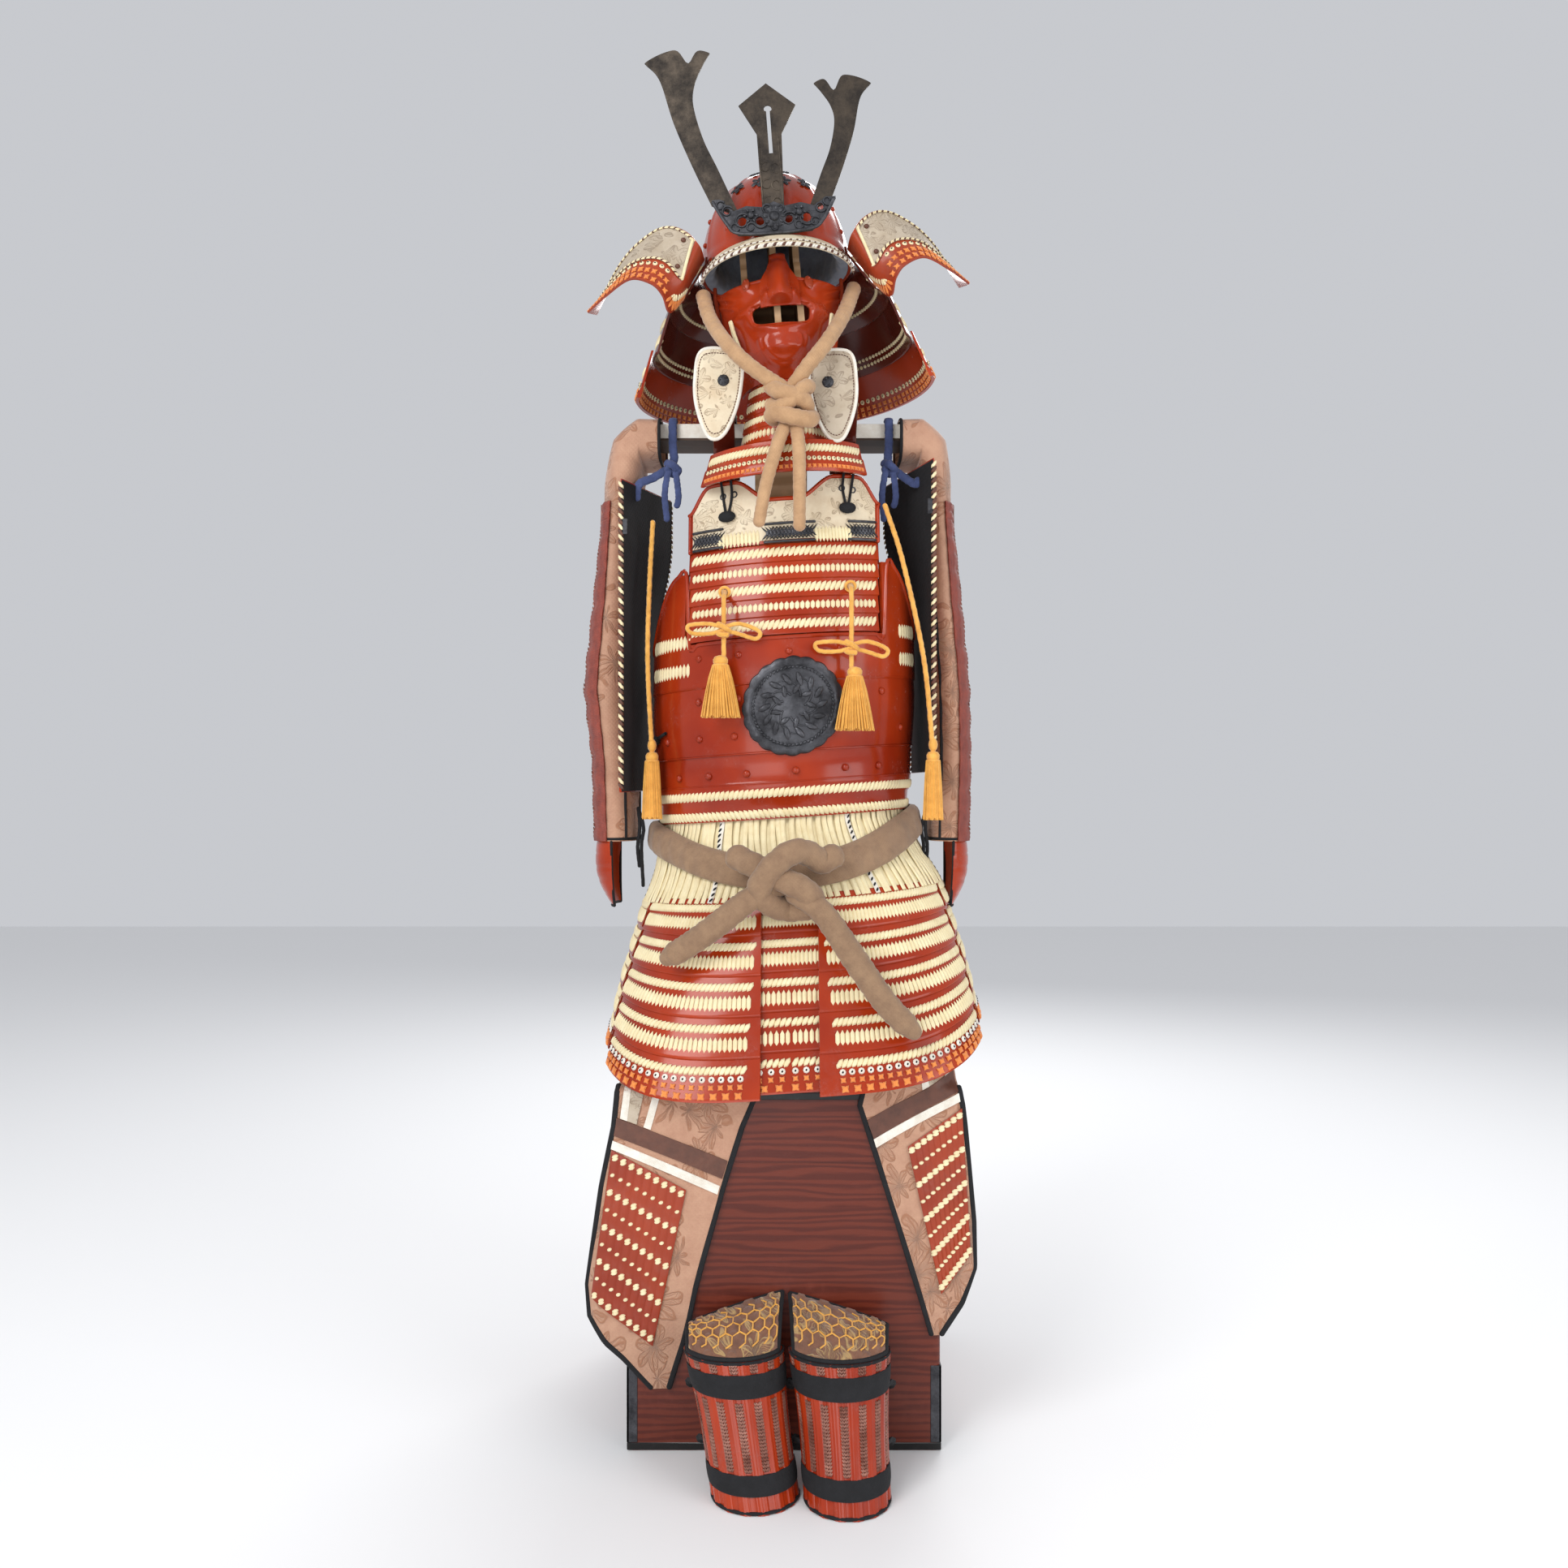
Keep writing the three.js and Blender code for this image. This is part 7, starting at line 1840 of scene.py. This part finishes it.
def dressThighGuards():
    for side in ("left", "right"):
        low = thighTable[side]["z"][0]
        z = np.concatenate([np.linspace(690, 452, 20), np.linspace(448, 428, 9),
            np.linspace(424, low, 60)])[:, None]
        u = np.linspace(0, 1, 30)[None]
        fold = 0.5 * np.sin(z / 21 + 4 * u) * ease(z, 440, 425)
        apron, border, white, brown, plates, knots, grey = batches(7)
        addWall(apron, thighPoint(side, u, z, 1.1 + fold), thighPoint(side, u, z, -1.4 + 0 * fold))
        made = apron.piece(f"thigh_guard_{side}_brocade", "brocade", replaces=(f"thigh_guard_{side}",),
            crease=80)
        zs = np.linspace(436, low + 1, 70)
        for share in (0.0, 1.0):
            edge = thighPoint(side, np.full(70, share), zs, np.full(70, 0.6))
            tube(border, edge, 3.4, 8, flat=0.6)
        trim = thighTrim[side]
        turned = lambda x, z, out: place(x, thighY(x, z) - out, z)
        brownTop = lambda x: np.interp(x, *bandLine(side, "brown"))
        for (head, foot), batch, out in zip(trim["strips"], (white, grey, white), (2.4, 2.0, 2.4)):
            v = np.linspace(0, 1, 14)[:, None]
            half = 4.2 if batch is white else 7.5
            x = head + (foot - head) * v + np.linspace(-half, half, 4)[None]
            zs_ = 446 + (brownTop(x) + 1 - 446) * v
            addWall(batch, turned(x, zs_, out), turned(x, zs_, 0.9))
        for name, batch in (("brown", brown), ("white", white)):
            outer, inner, deep = trim[name]
            us = np.linspace(0.03, 0.985, 36)[None]
            zs_ = inner + (outer - inner) * us + np.linspace(0, -deep, 6)[:, None]
            addWall(batch, thighPoint(side, us, zs_, 2.8 + 0 * zs_),
                thighPoint(side, us, zs_, 1.0 + 0 * zs_))
        corners = trim["corners"]
        a, b, c, d = (np.array(p, float) for p in corners)

        def field(p, v, out, a=a, b=b, c=c, d=d):
            p, v = np.broadcast_arrays(np.asarray(p, float), np.asarray(v, float))
            at = ((a * (1 - p[..., None]) + b * p[..., None]) * (1 - v[..., None])
                + (c * (1 - p[..., None]) + d * p[..., None]) * v[..., None])
            return place(at[..., 0], thighY(at[..., 0], at[..., 1]) - 1.8 - out, at[..., 1])
        ps, vs = np.linspace(0, 1, 46)[None], np.linspace(0, 1, 46)[:, None]
        tile = np.minimum(np.abs(np.sin(ps * 9 * math.pi)) * 3,
            1) * np.minimum(np.abs(np.sin(vs * 4.5 * math.pi)) * 6, 1)
        addWall(plates, field(ps, vs, 1.7 + 0.9 * tile), field(ps, vs, 0.6 + 0 * tile))
        plates.piece(f"thigh_plates_{side}_scales", "redDull", "red_lacquer",
            replaces=(f"thigh_plates_{side}",))
        for row in range(9):
            p = (np.arange(9) + 0.5) / 9
            point = field(p, 0.035 + 0.93 * row / 8 + 0 * p, 2.4)
            normal = forward(point)
            big = row % 2 == 0
            for dz in ((-1.5, 1.5) if big else (0,)):
                stamp(knots, pebble, point + np.array([0, 0, dz]),
                    np.broadcast_to([0.94, 0, 0.34], point.shape), normal,
                    (4.1, 2.5, 2.4) if big else (3.1, 2.3, 2.0))
        border.piece(f"thigh_guard_{side}_border", "blackCloth")
        white.piece(f"thigh_guard_{side}_white_bands", "white", "printed_leather")
        grey.piece(f"thigh_guard_{side}_grey_band", "greyLeatherAndShade")
        brown.piece(f"thigh_guard_{side}_leather_band", "brownLeather", "printed_leather")
        knots.piece(f"thigh_plates_{side}_knots", "cream")


# Shin guards: splints joined by mail between two black bands; knee flaps quilted in hexagons
shins = {
    "left": {"foot": (-32, 48, -290, 48), "head": (-58, 56, -250, 46), "rise": 192, "sign": 1},
    "right": {"foot": (71, 47, -300, 50), "head": (64, 57, -254, 48), "rise": 190, "sign": -1},
}
shinSize = {"height": 150, "spread": 96}


def shinPoint(side, turn, z, out):
    share = z / shinSize["height"]
    foot, head = shins[side]["foot"], shins[side]["head"]
    x, half, y, depth = (foot[i] + (head[i] - foot[i]) * share for i in range(4))
    waist = 1 - 0.06 * np.sin(math.pi * share)
    return place(x + (half * waist + out) * np.sin(turn), y - (depth * waist + out) * np.cos(turn), z)


def dressShins():
    for side in ("left", "right"):
        sheet = lambda u, z, out, side=side: shinPoint(side, u, z, out)
        us = everyTurn(-96, 96, 121)[None]
        z = np.array([0, 2, 19, 21, 40, 42, 60, 80, 100, 120, 130, 132, 149, 150.0])[:, None]
        phase = np.degrees(us) / 24 % 1
        splint = 1.6 * ease(0.5 - np.abs(phase - 0.5), 0.14,
            0.22) + 0.8 * np.exp(-((phase - 0.5) / 0.06) ** 2)
        shell, bands, mail, ties, quilt, piping = batches(6)
        addWall(shell, sheet(us, z, splint + 0 * z), sheet(us, z, -3 + 0 * us + 0 * z))
        shell.piece(f"shin_guard_{side}_splints", "red", replaces=(f"shin_guard_{side}",))
        for low, high in ((18, 38), (113, 137)):
            levels = np.linspace(low, high, 6)[:, None]
            edge = np.array([2.5, 3.1, 3.3, 3.3, 3.1, 2.5])[:, None]
            addWall(bands, sheet(us, levels, edge + 0 * us), sheet(us, levels, 1.0 + 0 * us + 0 * levels))
        for level in (2.0, 148.4):
            tube(bands, sheet(us[0], np.full(121, level), np.full(121, 0.6)), 2.0, 8)
        for turn in (-96, 96):
            edge = sheet(np.full(12, math.radians(turn)), np.linspace(1, 149, 12), np.full(12, -1.0))
            tube(bands, edge, 2.2, 8)
        bands.piece(f"shin_guard_{side}_bands", "blackCloth")
        centres = np.arange(-4, 5) * 24.0
        for centre in centres:
            for dt in (-3.7, -1.2, 1.2, 3.7):
                levels = np.append(np.arange(42, 110, 3.4), np.arange(140, 149, 3.4))
                point, side_, up, normal = onSurface(sheet,
                    np.full(len(levels), math.radians(centre + dt)), levels, 0.7)
                stamp(mail, pillow, point, unit(up + 0.8 * side_ * np.sign(dt)), normal, (3.0, 1.3, 1.6))
        mail.piece(f"shin_mail_{side}", "mail")
        sign, rise = shins[side]["sign"], shins[side]["rise"]
        wide = math.radians(96)

        def flap(u, v, side=side, sign=sign, rise=rise):
            turn = u * wide * 0.72
            start = shinPoint(side, turn, 152.5 + 0 * turn, -1)
            share = turn / wide * sign
            x = shinPoint(side, turn, 150 + 0 * turn, 4)[..., 0]
            rear = place(x, -226 + (-186.8 + 226) * ease(share, -1, 0.55),
                163 + (rise - 163) * ease(share, -1, 1))
            at = start * (1 - v[..., None]) + rear * v[..., None]
            return at + place(0 * u, 0, 7 * np.sin(math.pi * v))
        u, v = np.meshgrid(np.linspace(-1, 1, 112), np.linspace(0, 1, 68))
        # Hexagons: three sets of stripes at sixty degrees; quilting lies low between them
        p, q = u * 4.6, v * 4.0
        stripes = [np.cos(2 * math.pi * (p * math.cos(a) + q * math.sin(a)))
            for a in (0, math.pi / 3, 2 * math.pi / 3)]
        pillowed = 1.9 * ease(sum(stripes), -1.3, 1.2)
        addWall(quilt, flap(u, v) + place(0 * u, 0, 1.2 + pillowed),
            flap(u, v) - place(0 * u, 0, 2 + 0 * u))
        made = quilt.piece(f"knee_flap_{side}_quilt", "goldBrocade", "gold_brocade",
            replaces=(f"knee_flap_{side}",), crease=80)
        seams = Batch()
        for row in range(6):
            for column in range(9):
                centre = np.array([-0.92 + (column + 0.5 * (row % 2)) * 0.23, 0.07 + row * 0.17])
                corner = [centre + np.array([0.115 * 1.1547 * 0.87 * math.sin(k * math.pi / 3),
                    0.113 * math.cos(k * math.pi / 3)]) for k in range(4)]
                line = np.concatenate([np.linspace(corner[k], corner[k + 1], 4) for k in range(3)])
                if abs(line[:, 0]).max() > 0.99 or line[:, 1].min() < 0.02 or (line[:, 1].max() > 0.98):
                    continue
                tube(seams, flap(line[:, 0], line[:, 1]) + (0, -0.6, 2.4), 1.0, 6, ends=False)
        seams.piece(f"knee_flap_{side}_seams", "gold")
        loop = np.concatenate([np.c_[np.linspace(-1, 1, 40), np.zeros(40)],
            np.c_[np.ones(20), np.linspace(0.02, 1, 20)], np.c_[np.linspace(0.98, -1, 40), np.ones(40)],
            np.c_[-np.ones(20), np.linspace(0.98, 0.02, 20)]])
        edge = flap(loop[:, 0], loop[:, 1])
        tube(piping, edge, 2.7, 8, closed=True)
        piping.piece(f"knee_flap_{side}_piping", "blackCloth")
        for level in (48, 106):
            for way in (-1, 1):
                start = shinPoint(side, np.array(way * 1.62), np.array(level + 6.0), np.array(1.0))
                route = [tuple(start), (start[0] + way * 4, start[1] + 12, level + 2),
                    (start[0] + way * 2, start[1] + 26, level - 5),
                    (start[0] - way * 14, start[1] + 34, level - 2)]
                cord(ties, route, 30, 6.5, 10, flat=0.3, wrinkle=0.06)
        ties.piece(f"shin_ties_{side}", "blackCloth")


for dress in (dressChest, dressStand, dressLowerCuirass, dressUpperFront, dressUpperBack,
              dressStraps, dressMedallion, dressWaist, dressTassets, dressBelt, dressBowl,
              dressLining, dressVisor, dressNeckGuard, dressTurnBacks, dressCrest, dressMask,
              dressThroat, dressHelmetCord, dressLeafGuards, dressTassels, dressShoulderGuards,
              dressSleeves, dressThighGuards, dressShins):
    dress()
    print(dress.__name__, "done")
